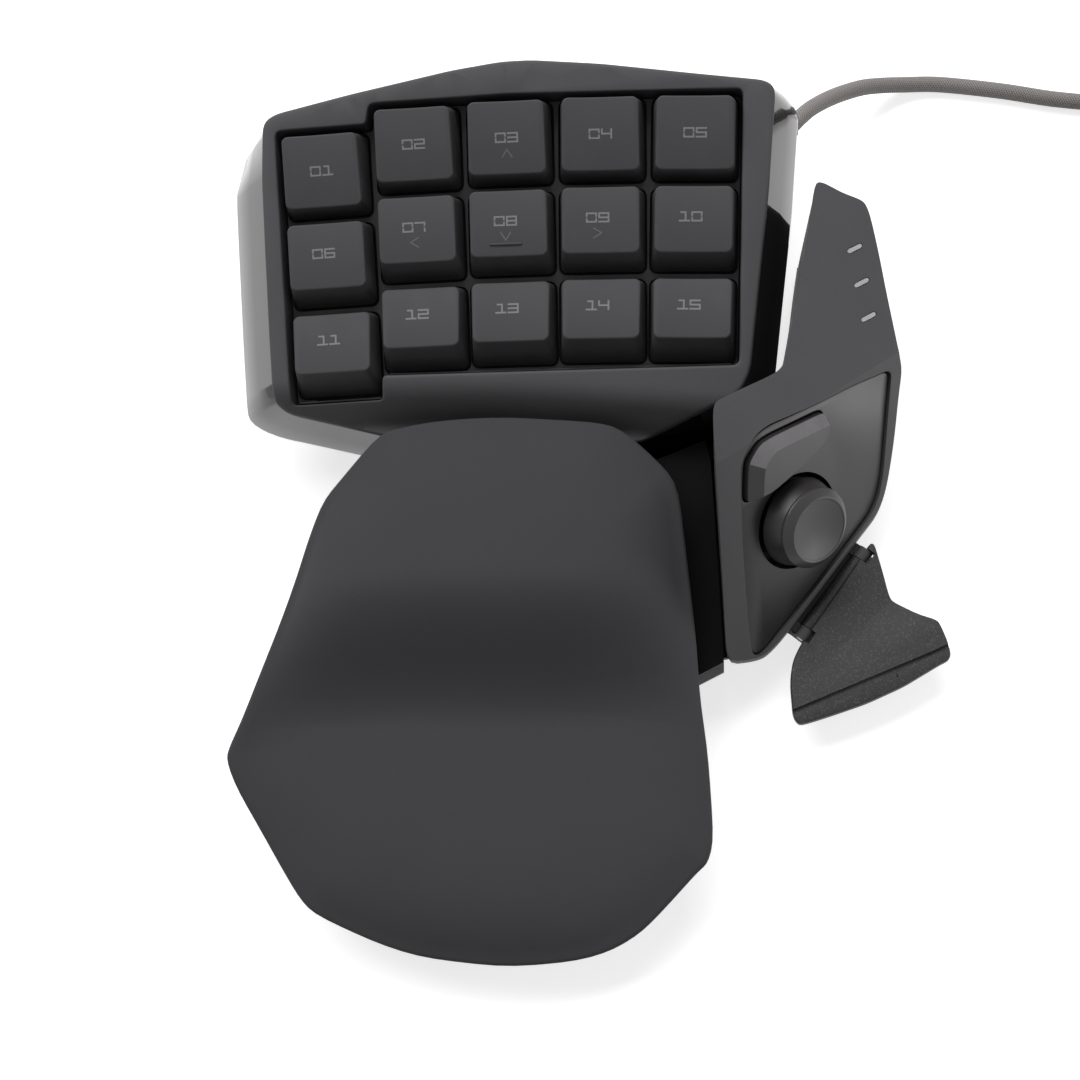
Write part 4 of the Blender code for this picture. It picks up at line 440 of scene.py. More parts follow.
# Plated shell of the plug: brighter and smoother than the sheet steel
PLATED = BrushedFinish("nickel_plated_shell", "#b8b8ba", "#cfcfd1", 0.22, 0.05, metallic=1.0,
                       grain_mm=0.2)
# Glass-fibre circuit board under green lacquer
BOARD = BoardFinish("lacquered_circuit_board", "#123d26", "#17492e", 0.4, grain_mm=0.7)
# Braided sleeve: grey brown strands in bumped relief, with the hollows between them painted darker as
# painted shade
BRAID = BraidFinish("braided_polyester_sleeve", "#4f4b4a", "#9b9694", 0.7, 0.08, grain_depth_mm=0.16,
                    grain_strength=0.8, mottle_mm=300.0)
# Woven nylon of the cord's strap: dull black
STRAP = Finish("woven_nylon_strap", "#161616", "#242424", 0.85, 0.05, sheen=0.2, grain_mm=0.5,
               grain_strength=0.6, grain_depth_mm=0.05)


def signed_area(outline: Outline) -> float:
    """Twice the outline's area, positive when it runs anticlockwise."""
    closed = zip(outline, [*outline[1:], outline[0]])
    return sum(a[0] * b[1] - b[0] * a[1] for a, b in closed)


def outward(outline: Sequence[Vector]) -> list[Vector]:
    """The mitred outward direction at each corner, scaled so that a unit step moves the sides by one.

    Args:
        outline: A closed outline in plan, in order.

    Returns:
        A vector for each corner.
    """
    side = 1 if signed_area([tuple(p) for p in outline]) > 0 else -1
    result = []
    for i, corner in enumerate(outline):
        before = (corner - outline[i - 1]).normalized()
        after = (outline[(i + 1) % len(outline)] - corner).normalized()
        first = Vector((before.y, -before.x)) * side
        second = Vector((after.y, -after.x)) * side
        middle = (first + second).normalized()
        result.append(middle / max(middle.dot(second), MITRE_LIMIT))
    return result


def grown(outline: Outline, distance: float) -> list[tuple[float, float]]:
    """Moves an outline outwards, or inwards by a negative distance.

    Args:
        outline: Corners in order.
        distance: How far each side moves out.

    Returns:
        As many corners, where those that met on the way share a place.
    """
    places = [Vector(point) for point in outline]
    owners = list(range(len(places)))
    for _ in range(GROW_STEPS):
        kept = sorted(set(owners))
        ring = [places[i] for i in kept]
        after = [p + step * (distance / GROW_STEPS) for p, step in zip(ring, outward(ring))]
        for j, i in enumerate(kept):
            places[i] = after[j]
        for j, i in enumerate(kept):
            k = (j + 1) % len(kept)
            if (after[k] - after[j]).dot(ring[k] - ring[j]) < WELD * WELD:
                places[i] = (after[j] + after[k]) / 2
                owners = [owners[i] if owner == kept[k] else owner for owner in owners]
                break
    return [tuple(places[owner]) for owner in owners]


def softened(outline: Outline, reach: float, steps: int = 4) -> list[tuple[float, float]]:
    """Rounds the outline's corners.

    Args:
        outline: Corners in order.
        reach: How far from a corner its curve starts, at most.
        steps: How many short sides each curve gets.

    Returns:
        The finer outline, with steps + 1 points for each corner.
    """
    result = []
    for i, point in enumerate(outline):
        corner = Vector(point)
        before = Vector(outline[i - 1]) - corner
        after = Vector(outline[(i + 1) % len(outline)]) - corner
        first = corner + before * min(CORNER_SHARE, reach / max(before.length, WELD))
        last = corner + after * min(CORNER_SHARE, reach / max(after.length, WELD))
        for k in range(steps + 1):
            share = k / steps
            result.append(tuple(first.lerp(corner, share).lerp(corner.lerp(last, share), share)))
    return result


def scaled(shares: Outline, width: float, depth: float,
           corner: Sequence[float] = (0, 0)) -> list[tuple[float, float]]:
    """An outline from its shares of two sizes."""
    return [(corner[0] + x * width, corner[1] + y * depth) for x, y in shares]


def oblong(width: float, depth: float) -> list[tuple[float, float]]:
    """A rectangle round the origin."""
    x, y = width / 2, depth / 2
    return [(-x, -y), (x, -y), (x, y), (-x, y)]


def circle(radius: float, sides: int, centre: Sequence[float] = (0, 0)) -> list[tuple[float, float]]:
    """Points round a centre."""
    step = 2 * pi / sides
    return [(centre[0] + radius * cos(step * i), centre[1] + radius * sin(step * i)) for i in range(sides)]


def ring_at(outline: Outline, height: float) -> list[Vector]:
    """The outline's corners at one height."""
    return [Vector((x, y, height)) for x, y in outline]


def axes(across: Vector, along: Vector, out: Vector) -> Matrix:
    """The turn that takes X, Y and Z to three directions."""
    return Matrix((across, along, out)).transposed().to_4x4()


def facing(run: Vector) -> Matrix:
    """The turn about Z that takes X to a direction in plan."""
    return Matrix.Rotation(run.angle_signed(Vector((1, 0))), 4, "Z")


def eased(low: float, high: float, value: float) -> float:
    """A smooth step from 0 to 1 between two values."""
    share = min(max((value - low) / (high - low), 0), 1)
    return share * share * (3 - 2 * share)


def trailed(shape: Shape, rings: Sequence[Sequence[Vector]]) -> list[list[bmesh.types.BMVert]]:
    """Extrudes the first ring through all the others, in a shape that exists.

    Args:
        shape: The shape that gets the bands.
        rings: Rings of equal counts, in order.

    Returns:
        The corners, ring by ring.
    """
    row = [shape.verts.new(point) for point in rings[0]]
    edges = [shape.edges.new(pair) for pair in zip(row, [*row[1:], row[0]])]
    rows = [row]
    for ring in rings[1:]:
        made = bmesh.ops.extrude_edge_only(shape, edges=edges)["geom"]
        fresh = {part for part in made if isinstance(part, bmesh.types.BMVert)}
        row = [next(e.other_vert(v) for e in v.link_edges if e.other_vert(v) in fresh) for v in row]
        edges = [part for part in made if isinstance(part, bmesh.types.BMEdge)]
        for corner, point in zip(row, ring):
            corner.co = point
        rows.append(row)
    return rows


def fill_open(shape: Shape) -> None:
    """Closes every open end of a shape."""
    bmesh.ops.holes_fill(shape, edges=[edge for edge in shape.edges if edge.is_boundary])


def swept(rings: Sequence[Sequence[Vector]],
          closed: bool = False) -> tuple[Shape, list[list[bmesh.types.BMVert]]]:
    """A skin through all the rings.

    Args:
        rings: Rings of equal counts, in order.
        closed: True where the last ring meets the first again; otherwise both ends are filled.

    Returns:
        The shape, and its corners ring by ring.
    """
    shape = bmesh.new()
    rows = trailed(shape, [*rings, *([rings[0]] if closed else [])])
    if closed:
        bmesh.ops.remove_doubles(shape, verts=shape.verts, dist=WELD)
    else:
        fill_open(shape)
    bmesh.ops.recalc_face_normals(shape, faces=shape.faces)
    return shape, rows


def pierced(chains: Sequence[Sequence[tuple[Outline, float]]]) -> Shape:
    """A sheet with openings, whose edges each follow a chain of outlines.

    Args:
        chains: For the outside and then each opening, outlines with their heights, from the sheet's upper
            face, over the edge, to its lower face.

    Returns:
        The closed sheet.
    """
    shape = bmesh.new()
    ends = []
    for chain in chains:
        rows = trailed(shape, [ring_at(outline, height) for outline, height in chain])
        ends.append((set(rows[0]), set(rows[-1])))
    for side in (0, 1):
        corners = set().union(*(pair[side] for pair in ends))
        rim = [edge for edge in shape.edges if edge.is_boundary and corners.issuperset(edge.verts)]
        bmesh.ops.triangle_fill(shape, use_beauty=True, use_dissolve=False, edges=rim, normal=(0, 0, 1))
    bmesh.ops.recalc_face_normals(shape, faces=shape.faces)
    return shape


def rolled(outline: Outline, top: float, radius: float,
           sense: int) -> list[tuple[list[tuple[float, float]], float]]:
    """The start of a chain: an edge rolled over from the upper face.

    Args:
        outline: The edge in plan.
        top: Height of the upper face.
        radius: Radius of the roll.
        sense: -1 for an outside edge, 1 for an opening.

    Returns:
        Outlines with their heights, the last one on the edge itself.
    """
    chain = []
    for degrees in ROLL_DEGREES:
        angle = radians(degrees)
        edge = grown(outline, sense * radius * (1 - sin(angle)))
        chain.append((edge, top - radius * (1 - cos(angle))))
    return chain


def flat(outline: Outline, height: float = 0.0) -> Shape:
    """A single flat face of that outline.

    Args:
        outline: The face's edge in plan.
        height: Its height.

    Returns:
        The open shape.
    """
    shape = bmesh.new()
    corners = [shape.verts.new((x, y, height)) for x, y in outline]
    bmesh.ops.contextual_create(shape, geom=corners)
    return shape


def plate(outline: Outline, low: float, high: float) -> Shape:
    """An upright block of that outline.

    Args:
        outline: The block's edge in plan.
        low: Height of its foot.
        high: Height of its top.

    Returns:
        The closed shape.
    """
    shape = flat(outline, low)
    made = bmesh.ops.extrude_face_region(shape, geom=shape.faces[:])["geom"]
    tops = [part for part in made if isinstance(part, bmesh.types.BMVert)]
    bmesh.ops.translate(shape, verts=tops, vec=(0, 0, high - low))
    bmesh.ops.recalc_face_normals(shape, faces=shape.faces)
    return shape


def block(width: float, depth: float, low: float, high: float, centre: Sequence[float] = (0, 0)) -> Shape:
    """A box centred on a place in plan.

    Args:
        width: Its extent in X.
        depth: Its extent in Y.
        low: Height of its foot.
        high: Height of its top.
        centre: Its middle in plan.

    Returns:
        The closed shape.
    """
    shape = bmesh.new()
    bmesh.ops.create_cube(shape, size=1.0)
    bmesh.ops.scale(shape, verts=shape.verts, vec=(width, depth, high - low))
    bmesh.ops.translate(shape, verts=shape.verts, vec=(centre[0], centre[1], (low + high) / 2))
    return shape


def turned(profile: Outline, steps: int = 96, closed: bool = False) -> Shape:
    """Spins a profile of radius and height pairs about Z.

    Args:
        profile: Pairs in order; one that starts and ends on the axis gives a solid.
        steps: How many sides the turned piece gets.
        closed: True for a ring, whose profile returns to its start.

    Returns:
        The turned shape.
    """
    shape = bmesh.new()
    line = [shape.verts.new((radius, 0, height)) for radius, height in profile]
    for pair in zip(line, [*line[1:], *([line[0]] if closed else [])]):
        shape.edges.new(pair)
    bmesh.ops.spin(shape, geom=shape.verts[:] + shape.edges[:], cent=(0, 0, 0), axis=UP,
                   dvec=(0, 0, 0), angle=2 * pi, steps=steps, use_merge=True, use_duplicate=False)
    bmesh.ops.remove_doubles(shape, verts=shape.verts, dist=WELD)
    bmesh.ops.recalc_face_normals(shape, faces=shape.faces)
    return shape


def rod(radius: float, low: float, high: float, sides: int = ROD_SIDES) -> Shape:
    """A cylinder about Z, between two heights."""
    return turned([(0, low), (radius, low), (radius, high), (0, high)], sides)


def split(shape: Shape, place: Sequence[float], out: Sequence[float], drop: bool = False) -> None:
    """Cuts all faces along a plane, and takes away what lies outside it where drop says so."""
    bmesh.ops.bisect_plane(shape, geom=shape.verts[:] + shape.edges[:] + shape.faces[:], dist=WELD,
                           plane_co=place, plane_no=out, clear_outer=drop)


def rounded(shape: Shape, test: Callable[[bmesh.types.BMEdge], bool], width: float,
            segments: int = 3) -> Shape:
    """Bevels the edges that pass a test.

    Args:
        shape: The shape, which is changed.
        test: Says which edges are bevelled.
        width: The bevel's width.
        segments: How many faces it gets across.

    Returns:
        The same shape.
    """
    bmesh.ops.bevel(shape, geom=[edge for edge in shape.edges if test(edge)], offset=width,
                    offset_type="OFFSET", affect="EDGES", segments=segments, profile=0.5, material=-1,
                    clamp_overlap=True)
    return shape


def above(height: float) -> Callable[[bmesh.types.BMEdge], bool]:
    """A test for edges that lie wholly above a height."""
    return lambda edge: all(corner.co.z > height for corner in edge.verts)


def moved(shape: Shape, matrix: Matrix) -> Shape:
    """The same shape, placed by a matrix."""
    bmesh.ops.transform(shape, matrix=matrix, verts=shape.verts)
    return shape


def mesh_from(name: str, shape: Shape) -> bpy.types.Mesh:
    """A mesh of that shape, which is used up.

    Args:
        name: The mesh's name.
        shape: The shape.

    Returns:
        The new mesh.
    """
    mesh = bpy.data.meshes.new(name)
    shape.to_mesh(mesh)
    shape.free()
    return mesh


def linked(name: str, data: bpy.types.ID) -> bpy.types.Object:
    """A new object in the scene that shows the data.

    Args:
        name: The object's name.
        data: Its mesh, lamp or camera data.

    Returns:
        The new object.
    """
    thing = bpy.data.objects.new(name, data)
    bpy.context.scene.collection.objects.link(thing)
    return thing


def together(shapes: Sequence[Shape]) -> Shape:
    """One shape that holds them all.

    Args:
        shapes: The shapes, which are used up.

    Returns:
        The one shape.
    """
    whole = bmesh.new()
    for shape in shapes:
        mesh = mesh_from("part", shape)
        whole.from_mesh(mesh)
        bpy.data.meshes.remove(mesh)
    return whole


def combined(shape: Shape, joins: Sequence[Shape] = (), cuts: Sequence[Shape] = ()) -> Shape:
    """Joins some shapes onto a shape and cuts others out of it.

    Args:
        shape: The closed shape to start from.
        joins: Closed shapes that become part of it.
        cuts: Closed shapes whose space is removed.

    Returns:
        The resulting closed shape.
    """
    scratch = []
    for part in (shape, *joins, *cuts):
        bmesh.ops.recalc_face_normals(part, faces=part.faces)
        scratch.append(linked("scratch", mesh_from("scratch", part)))
    for number, tool in enumerate(scratch[1:]):
        step = scratch[0].modifiers.new("step", "BOOLEAN")
        step.operation = "UNION" if number < len(joins) else "DIFFERENCE"
        step.solver = "EXACT"
        step.object = tool
    bpy.context.view_layer.update()
    result = bmesh.new()
    result.from_object(scratch[0], bpy.context.evaluated_depsgraph_get())
    for thing in scratch:
        mesh = thing.data
        bpy.data.objects.remove(thing)
        bpy.data.meshes.remove(mesh)
    return result


def add_piece(name: str, shape: Shape, place: Matrix, finishes: Sequence[Finish],
              replaces: Sequence[str] = (), body: str = "keypad", sharp: float = 34.0,
              rim: float = 0.0) -> bpy.types.Object:
    """Makes a finished piece that rides on a body.

    Args:
        name: The piece's name.
        shape: Its shape, which is used up.
        place: The shape's frame in the row frame.
        finishes: Its finishes, in the order of its material numbers.
        replaces: CAD nodes that it stands for.
        body: The body that carries it.
        sharp: Edges that turn by more degrees stay crisp.
        rim: Width of a small bevel along its sharp edges, or 0 for none.

    Returns:
        The new object.
    """
    bmesh.ops.remove_doubles(moved(shape, place), verts=shape.verts, dist=WELD)
    bmesh.ops.recalc_face_normals(shape, faces=shape.faces)
    mesh = mesh_from(name, shape)
    for finish in finishes:
        mesh.materials.append(finish.material())
    mesh.shade_smooth()
    mesh.set_sharp_from_angle(angle=radians(sharp))
    piece = linked(name, mesh)
    if rim:
        bevel = piece.modifiers.new("rim", "BEVEL")
        bevel.width = rim
        bevel.segments = 2
        bevel.limit_method = "ANGLE"
        bevel.angle_limit = radians(sharp)
        bevel.use_clamp_overlap = True
    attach(piece, body)
    if replaces:
        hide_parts(*replaces)
    LOG.info("%s: %d faces on %s", name, len(mesh.polygons), body)
    return piece


def dress_node(node: str, finish: Finish) -> None:
    """Gives a carried-over solid its finish.

    Args:
        node: The CAD node's name.
        finish: Its finish.
    """
    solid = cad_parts[node]
    solid.data.materials.clear()
    solid.data.materials.append(finish.material())
    LOG.info("%s: kept, in %s", node, finish.name)


@dataclass(frozen=True)
class Deck:
    """The raked plane that the caps stand on, and where each cap stands."""

    pitch: float = radians(15)
    height: float = 34.0 * MM
    column_pitch: float = 19.2 * MM
    row_pitch: float = 19.05 * MM
    fan: float = radians(1.05)
    column_drops: tuple[float, ...] = (5.4 * MM, 0.6 * MM, 0.0, 0.0, 0.5 * MM)
    rows: int = 3
    cap_width: float = 17.8 * MM
    cap_depth: float = 17.2 * MM

    def matrix(self, datum: Matrix) -> Matrix:
        """The deck's frame in the row frame."""
        return datum @ Matrix.Translation((0, 0, self.height)) @ Matrix.Rotation(self.pitch, 4, "X")

    def keys(self) -> list[tuple[int, int, Matrix]]:
        """Each key's number, row and place on the deck, from the rear left.

        Returns:
            A number, a row and a place for each key.
        """
        places = []
        columns = len(self.column_drops)
        for row in range(self.rows):
            for column, drop in enumerate(self.column_drops):
                turn = self.fan * (columns // 2 - column)
                back = self.row_pitch * (self.rows // 2 - row)
                u = self.column_pitch * (column - columns // 2) - back * sin(turn)
                place = Matrix.Translation((u, back * cos(turn) - drop, 0)) @ Matrix.Rotation(turn, 4, "Z")
                places.append((row * columns + column + 1, row, place))
        return places

    def corner(self, number: int, across: float, along: float) -> Vector:
        """A corner of that cap's foot, across and along in halves of its size."""
        place = self.keys()[number - 1][2]
        return (place @ Vector((across * self.cap_width / 2, along * self.cap_depth / 2, 0))).xy


class Stroke(Enum):
    """A straight stroke of a number, as its two ends in shares of the number's width and height."""

    TOP = ((0, 1), (1, 1))
    MIDDLE = ((0, 0.5), (1, 0.5))
    FOOT = ((0, 0), (1, 0))
    UPPER_LEFT = ((0, 0.5), (0, 1))
    LOWER_LEFT = ((0, 0), (0, 0.5))
    UPPER_RIGHT = ((1, 0.5), (1, 1))
    LOWER_RIGHT = ((1, 0), (1, 0.5))
    FLAG = ((0.15, 1), (0.62, 1))
    POST = ((0.62, 0), (0.62, 1))


NUMBER_STROKES = {
    "0": "TOP FOOT UPPER_LEFT LOWER_LEFT UPPER_RIGHT LOWER_RIGHT",
    "1": "FLAG POST FOOT",
    "2": "TOP UPPER_RIGHT MIDDLE LOWER_LEFT FOOT",
    "3": "TOP UPPER_RIGHT MIDDLE LOWER_RIGHT FOOT",
    "4": "UPPER_LEFT MIDDLE UPPER_RIGHT LOWER_RIGHT",
    "5": "TOP UPPER_LEFT MIDDLE LOWER_RIGHT FOOT",
    "6": "TOP UPPER_LEFT LOWER_LEFT MIDDLE LOWER_RIGHT FOOT",
    "7": "TOP UPPER_RIGHT LOWER_RIGHT",
    "8": "TOP MIDDLE FOOT UPPER_LEFT LOWER_LEFT UPPER_RIGHT LOWER_RIGHT",
    "9": "TOP UPPER_LEFT UPPER_RIGHT MIDDLE LOWER_RIGHT FOOT",
}


class Arrow(Enum):
    """The keys that also carry an arrow, with the way that it points in degrees from the right."""

    AWAY = (3, 90)
    LEFT = (7, 180)
    NEAR = (8, 270)
    RIGHT = (9, 0)


@dataclass
class KeyDeck:
    """Fifteen dished caps with their numbers; the plate that they come up through is made by CaseShell."""

    deck: Deck
    datum: Matrix
    front_heights: tuple[float, ...] = (7.5 * MM, 8.0 * MM, 8.8 * MM)
    rear_heights: tuple[float, ...] = (9.2 * MM, 7.8 * MM, 6.4 * MM)
    front_insets: tuple[float, ...] = (1.1 * MM, 3.0 * MM, 4.3 * MM)
    rear_insets: tuple[float, ...] = (1.2 * MM, 0.5 * MM, 0.4 * MM)
    draft: float = 0.11
    corner: float = 1.35 * MM
    corner_segments: int = 5
    upright_least: float = 4.8 * MM
    rim: float = 0.35 * MM
    dish: float = 0.4 * MM
    dish_strips: int = 12
    dip_shares: tuple[float, float] = (0.80, 0.93)
    wall: float = 1.3 * MM
    roof: float = 1.6 * MM
    stem: float = 5.0 * MM
    stem_reach: float = 5.6 * MM
    number_width: float = 1.95 * MM
    number_height: float = 1.75 * MM
    number_gap: float = 0.62 * MM
    stroke: float = 0.36 * MM
    ink: float = 0.03 * MM
    number_places: tuple[tuple[float, float], ...] = (
        (0.05 * MM, 0.0), (-0.62 * MM, 1.8 * MM), (-0.75 * MM, 2.7 * MM),
    )
    arrow_drop: float = 3.2 * MM
    arrow_width: float = 2.0 * MM
    arrow_height: float = 1.6 * MM
    arrow_share: float = 0.8
    homing_key: int = 8
    homing_length: float = 6.8 * MM
    homing_width: float = 0.55 * MM
    homing_rise: float = 0.32 * MM
    homing_drop: float = 4.8 * MM
    homing_round: float = 0.3

    def top(self, row: int, x: float, y: float) -> float:
        """Height of the row's dished top at a place on the cap.

        Args:
            row: The key's row.
            x: Place across the cap.
            y: Place up the cap.

        Returns:
            The height over the cap's foot.
        """
        near = -self.deck.cap_depth / 2 + self.front_insets[row]
        far = self.deck.cap_depth / 2 - self.rear_insets[row]
        share = (y - near) / (far - near)
        height = self.front_heights[row] + (self.rear_heights[row] - self.front_heights[row]) * share
        half = self.deck.cap_width / 2 - self.draft * height
        return height - self.dish * (1 - min(x * x / (half * half), 1))

    def cap(self, row: int) -> Shape:
        """A hollow cap of that row, standing on its own foot.

        Args:
            row: The key's row.

        Returns:
            The closed shape.
        """
        shape = bmesh.new()
        bmesh.ops.create_cube(shape, size=1.0)
        half_depth = self.deck.cap_depth / 2
        for corner in shape.verts:
            side = 1 if corner.co.x > 0 else -1
            rear = corner.co.y > 0
            if corner.co.z < 0:
                corner.co = (side * self.deck.cap_width / 2, half_depth if rear else -half_depth, 0)
                continue
            height = self.rear_heights[row] if rear else self.front_heights[row]
            along = half_depth - self.rear_insets[row] if rear else self.front_insets[row] - half_depth
            corner.co = (side * (self.deck.cap_width / 2 - self.draft * height), along, height)
        rounded(shape, lambda e: abs(e.verts[0].co.z - e.verts[1].co.z) > self.upright_least, self.corner,
                self.corner_segments)
        roof = max(shape.faces, key=lambda face: face.calc_center_median().z)
        rim = set(roof.edges)
        rounded(shape, lambda e: e in rim, self.rim)
        self.hollow(shape, row)
        self.dip(shape, row)
        return shape

    def hollow(self, shape: Shape, row: int) -> None:
        """Presses the underside in to the wall and the roof, and draws the square stem down from it.

        Args:
            shape: The solid cap, which is changed.
            row: The key's row.
        """
        ceiling = min(self.front_heights[row], self.rear_heights[row]) - self.roof - self.dish
        foot = min(shape.faces, key=lambda face: face.calc_center_median().z)
        middle = (self.rear_insets[row] - self.front_insets[row]) / -2
        bmesh.ops.inset_region(shape, faces=[foot], thickness=self.wall, use_even_offset=True)
        lifted = bmesh.ops.extrude_discrete_faces(shape, faces=[foot])["faces"][0]
        inner_width = self.deck.cap_width - 2 * self.wall
        width = (inner_width - 2 * self.draft * ceiling) / inner_width
        depth = 1 - (self.front_insets[row] + self.rear_insets[row]) / (self.deck.cap_depth - 2 * self.wall)
        for corner in lifted.verts:
            corner.co = (corner.co.x * width, corner.co.y * depth + middle, ceiling)
        ring = bmesh.ops.extrude_discrete_faces(shape, faces=[lifted])["faces"][0]
        half = self.stem / 2
        for corner in ring.verts:
            corner.co.xy = (min(max(corner.co.x, -half), half), min(max(corner.co.y, -half), half))
        stem = bmesh.ops.extrude_discrete_faces(shape, faces=[ring])["faces"][0]
        for corner in stem.verts:
            corner.co.z = -self.stem_reach

    def dip(self, shape: Shape, row: int) -> None:
        """Splits the roof across and lowers it into its dish.

        Args:
            shape: The cap, which is changed.
            row: The key's row.
        """
        half = self.deck.cap_width / 2
        for i in range(1, self.dish_strips):
            x = half * (2 * i / self.dish_strips - 1)
            split(shape, (x, 0, 0), (1, 0, 0))
        for corner in shape.verts:
            level = self.top(row, half, corner.co.y)
            weight = eased(*self.dip_shares, corner.co.z / level)
            corner.co.z -= (level - self.top(row, corner.co.x, corner.co.y)) * weight

    def strokes(self, row: int, lines: Sequence[tuple[Vector, Vector]], width: float) -> list[Shape]:
        """Thin printed strokes that follow the row's top, one for each line.

        Args:
            row: The key's row.
            lines: A start and an end for each stroke.
            width: The strokes' width.

        Returns:
            A closed shape for each stroke.
        """
        made = []
        for start, end in lines:
            run = end - start
            bar = block(run.length + width, width, -1.0, 1.0)
            moved(bar, Matrix.Translation(((start + end) / 2).to_3d()) @ facing(run))
            made.append(self.draped(bar, row, self.ink))
        return made

    def draped(self, bar: Shape, row: int, lift: float) -> Shape:
        """The bar laid on the row's top: its upper corners over it, and its lower ones as far under it.

        Args:
            bar: The bar, which is changed.
            row: The key's row.
            lift: How far its upper corners lie over the top.

        Returns:
            The same shape.
        """
        for corner in bar.verts:
            side = 1 if corner.co.z > 0 else -1
            corner.co.z = self.top(row, corner.co.x, corner.co.y) + side * lift
        return bar

    def number_lines(self, number: int, row: int) -> list[tuple[Vector, Vector]]:
        """The strokes of a two-figure number, on the cap.

        Args:
            number: The key's number.
            row: The key's row.

        Returns:
            A start and an end for each stroke.
        """
        x, y = self.number_places[row]
        lines = []
        for place, figure in enumerate(f"{number:02d}"):
            left = x + (place - 1) * (self.number_width + self.number_gap) + self.number_gap / 2
            for stroke in NUMBER_STROKES[figure].split():
                lines.append(tuple(
                    Vector((left + across * self.number_width, y + (up - 0.5) * self.number_height))
                    for across, up in Stroke[stroke].value
                ))
        return lines

    def arrow_lines(self, row: int, degrees: float) -> list[tuple[Vector, Vector]]:
        """The two strokes of an arrowhead under the number.

        Args:
            row: The key's row.
            degrees: The arrow's direction, as a turn from pointing right.

        Returns:
            A start and an end for each stroke.
        """
        x, y = self.number_places[row]
        turn = Matrix.Rotation(radians(degrees), 2)
        tip = turn @ Vector((self.arrow_height / 2, 0))
        centre = Vector((x, y - self.arrow_drop))
        tails = [turn @ Vector((-self.arrow_height / 2, side * self.arrow_width / 2)) for side in (-1, 1)]
        return [(centre + tail, centre + tip) for tail in tails]

    def homing_bar(self, row: int) -> Shape:
        """The low bar that the middle finger feels for.

        Args:
            row: The key's row.

        Returns:
            The closed shape.
        """
        x, y = self.number_places[row]
        y -= self.homing_drop
        bar = self.draped(block(self.homing_length, self.homing_width, -1, 1, (x, y)), row, self.homing_rise)
        return rounded(bar, above(self.top(row, x, y)), self.homing_width * self.homing_round)

    def build(self) -> None:
        """Makes every cap with its number, and the arrows where keys carry them."""
        deck = self.deck.matrix(self.datum)
        arrows = {arrow.value[0]: arrow.value[1] for arrow in Arrow}
        for number, row, place in self.deck.keys():
            cap = self.cap(row)
            if number == self.homing_key:
                cap = together([cap, self.homing_bar(row)])
            figures = together(self.strokes(row, self.number_lines(number, row), self.stroke))
            made = [("cap", cap, CAP_ABS, [f"keycap_{number:02d}"]), ("number", figures, KEY_INK, ())]
            if number in arrows:
                width = self.stroke * self.arrow_share
                head = together(self.strokes(row, self.arrow_lines(row, arrows[number]), width))
                made.append(("arrow", head, FAINT_INK, ()))
            for kind, shape, finish, replaces in made:
                add_piece(f"{kind}_{number:02d}", shape, deck @ place, [finish], replaces,
                          f"key_{number:02d}")


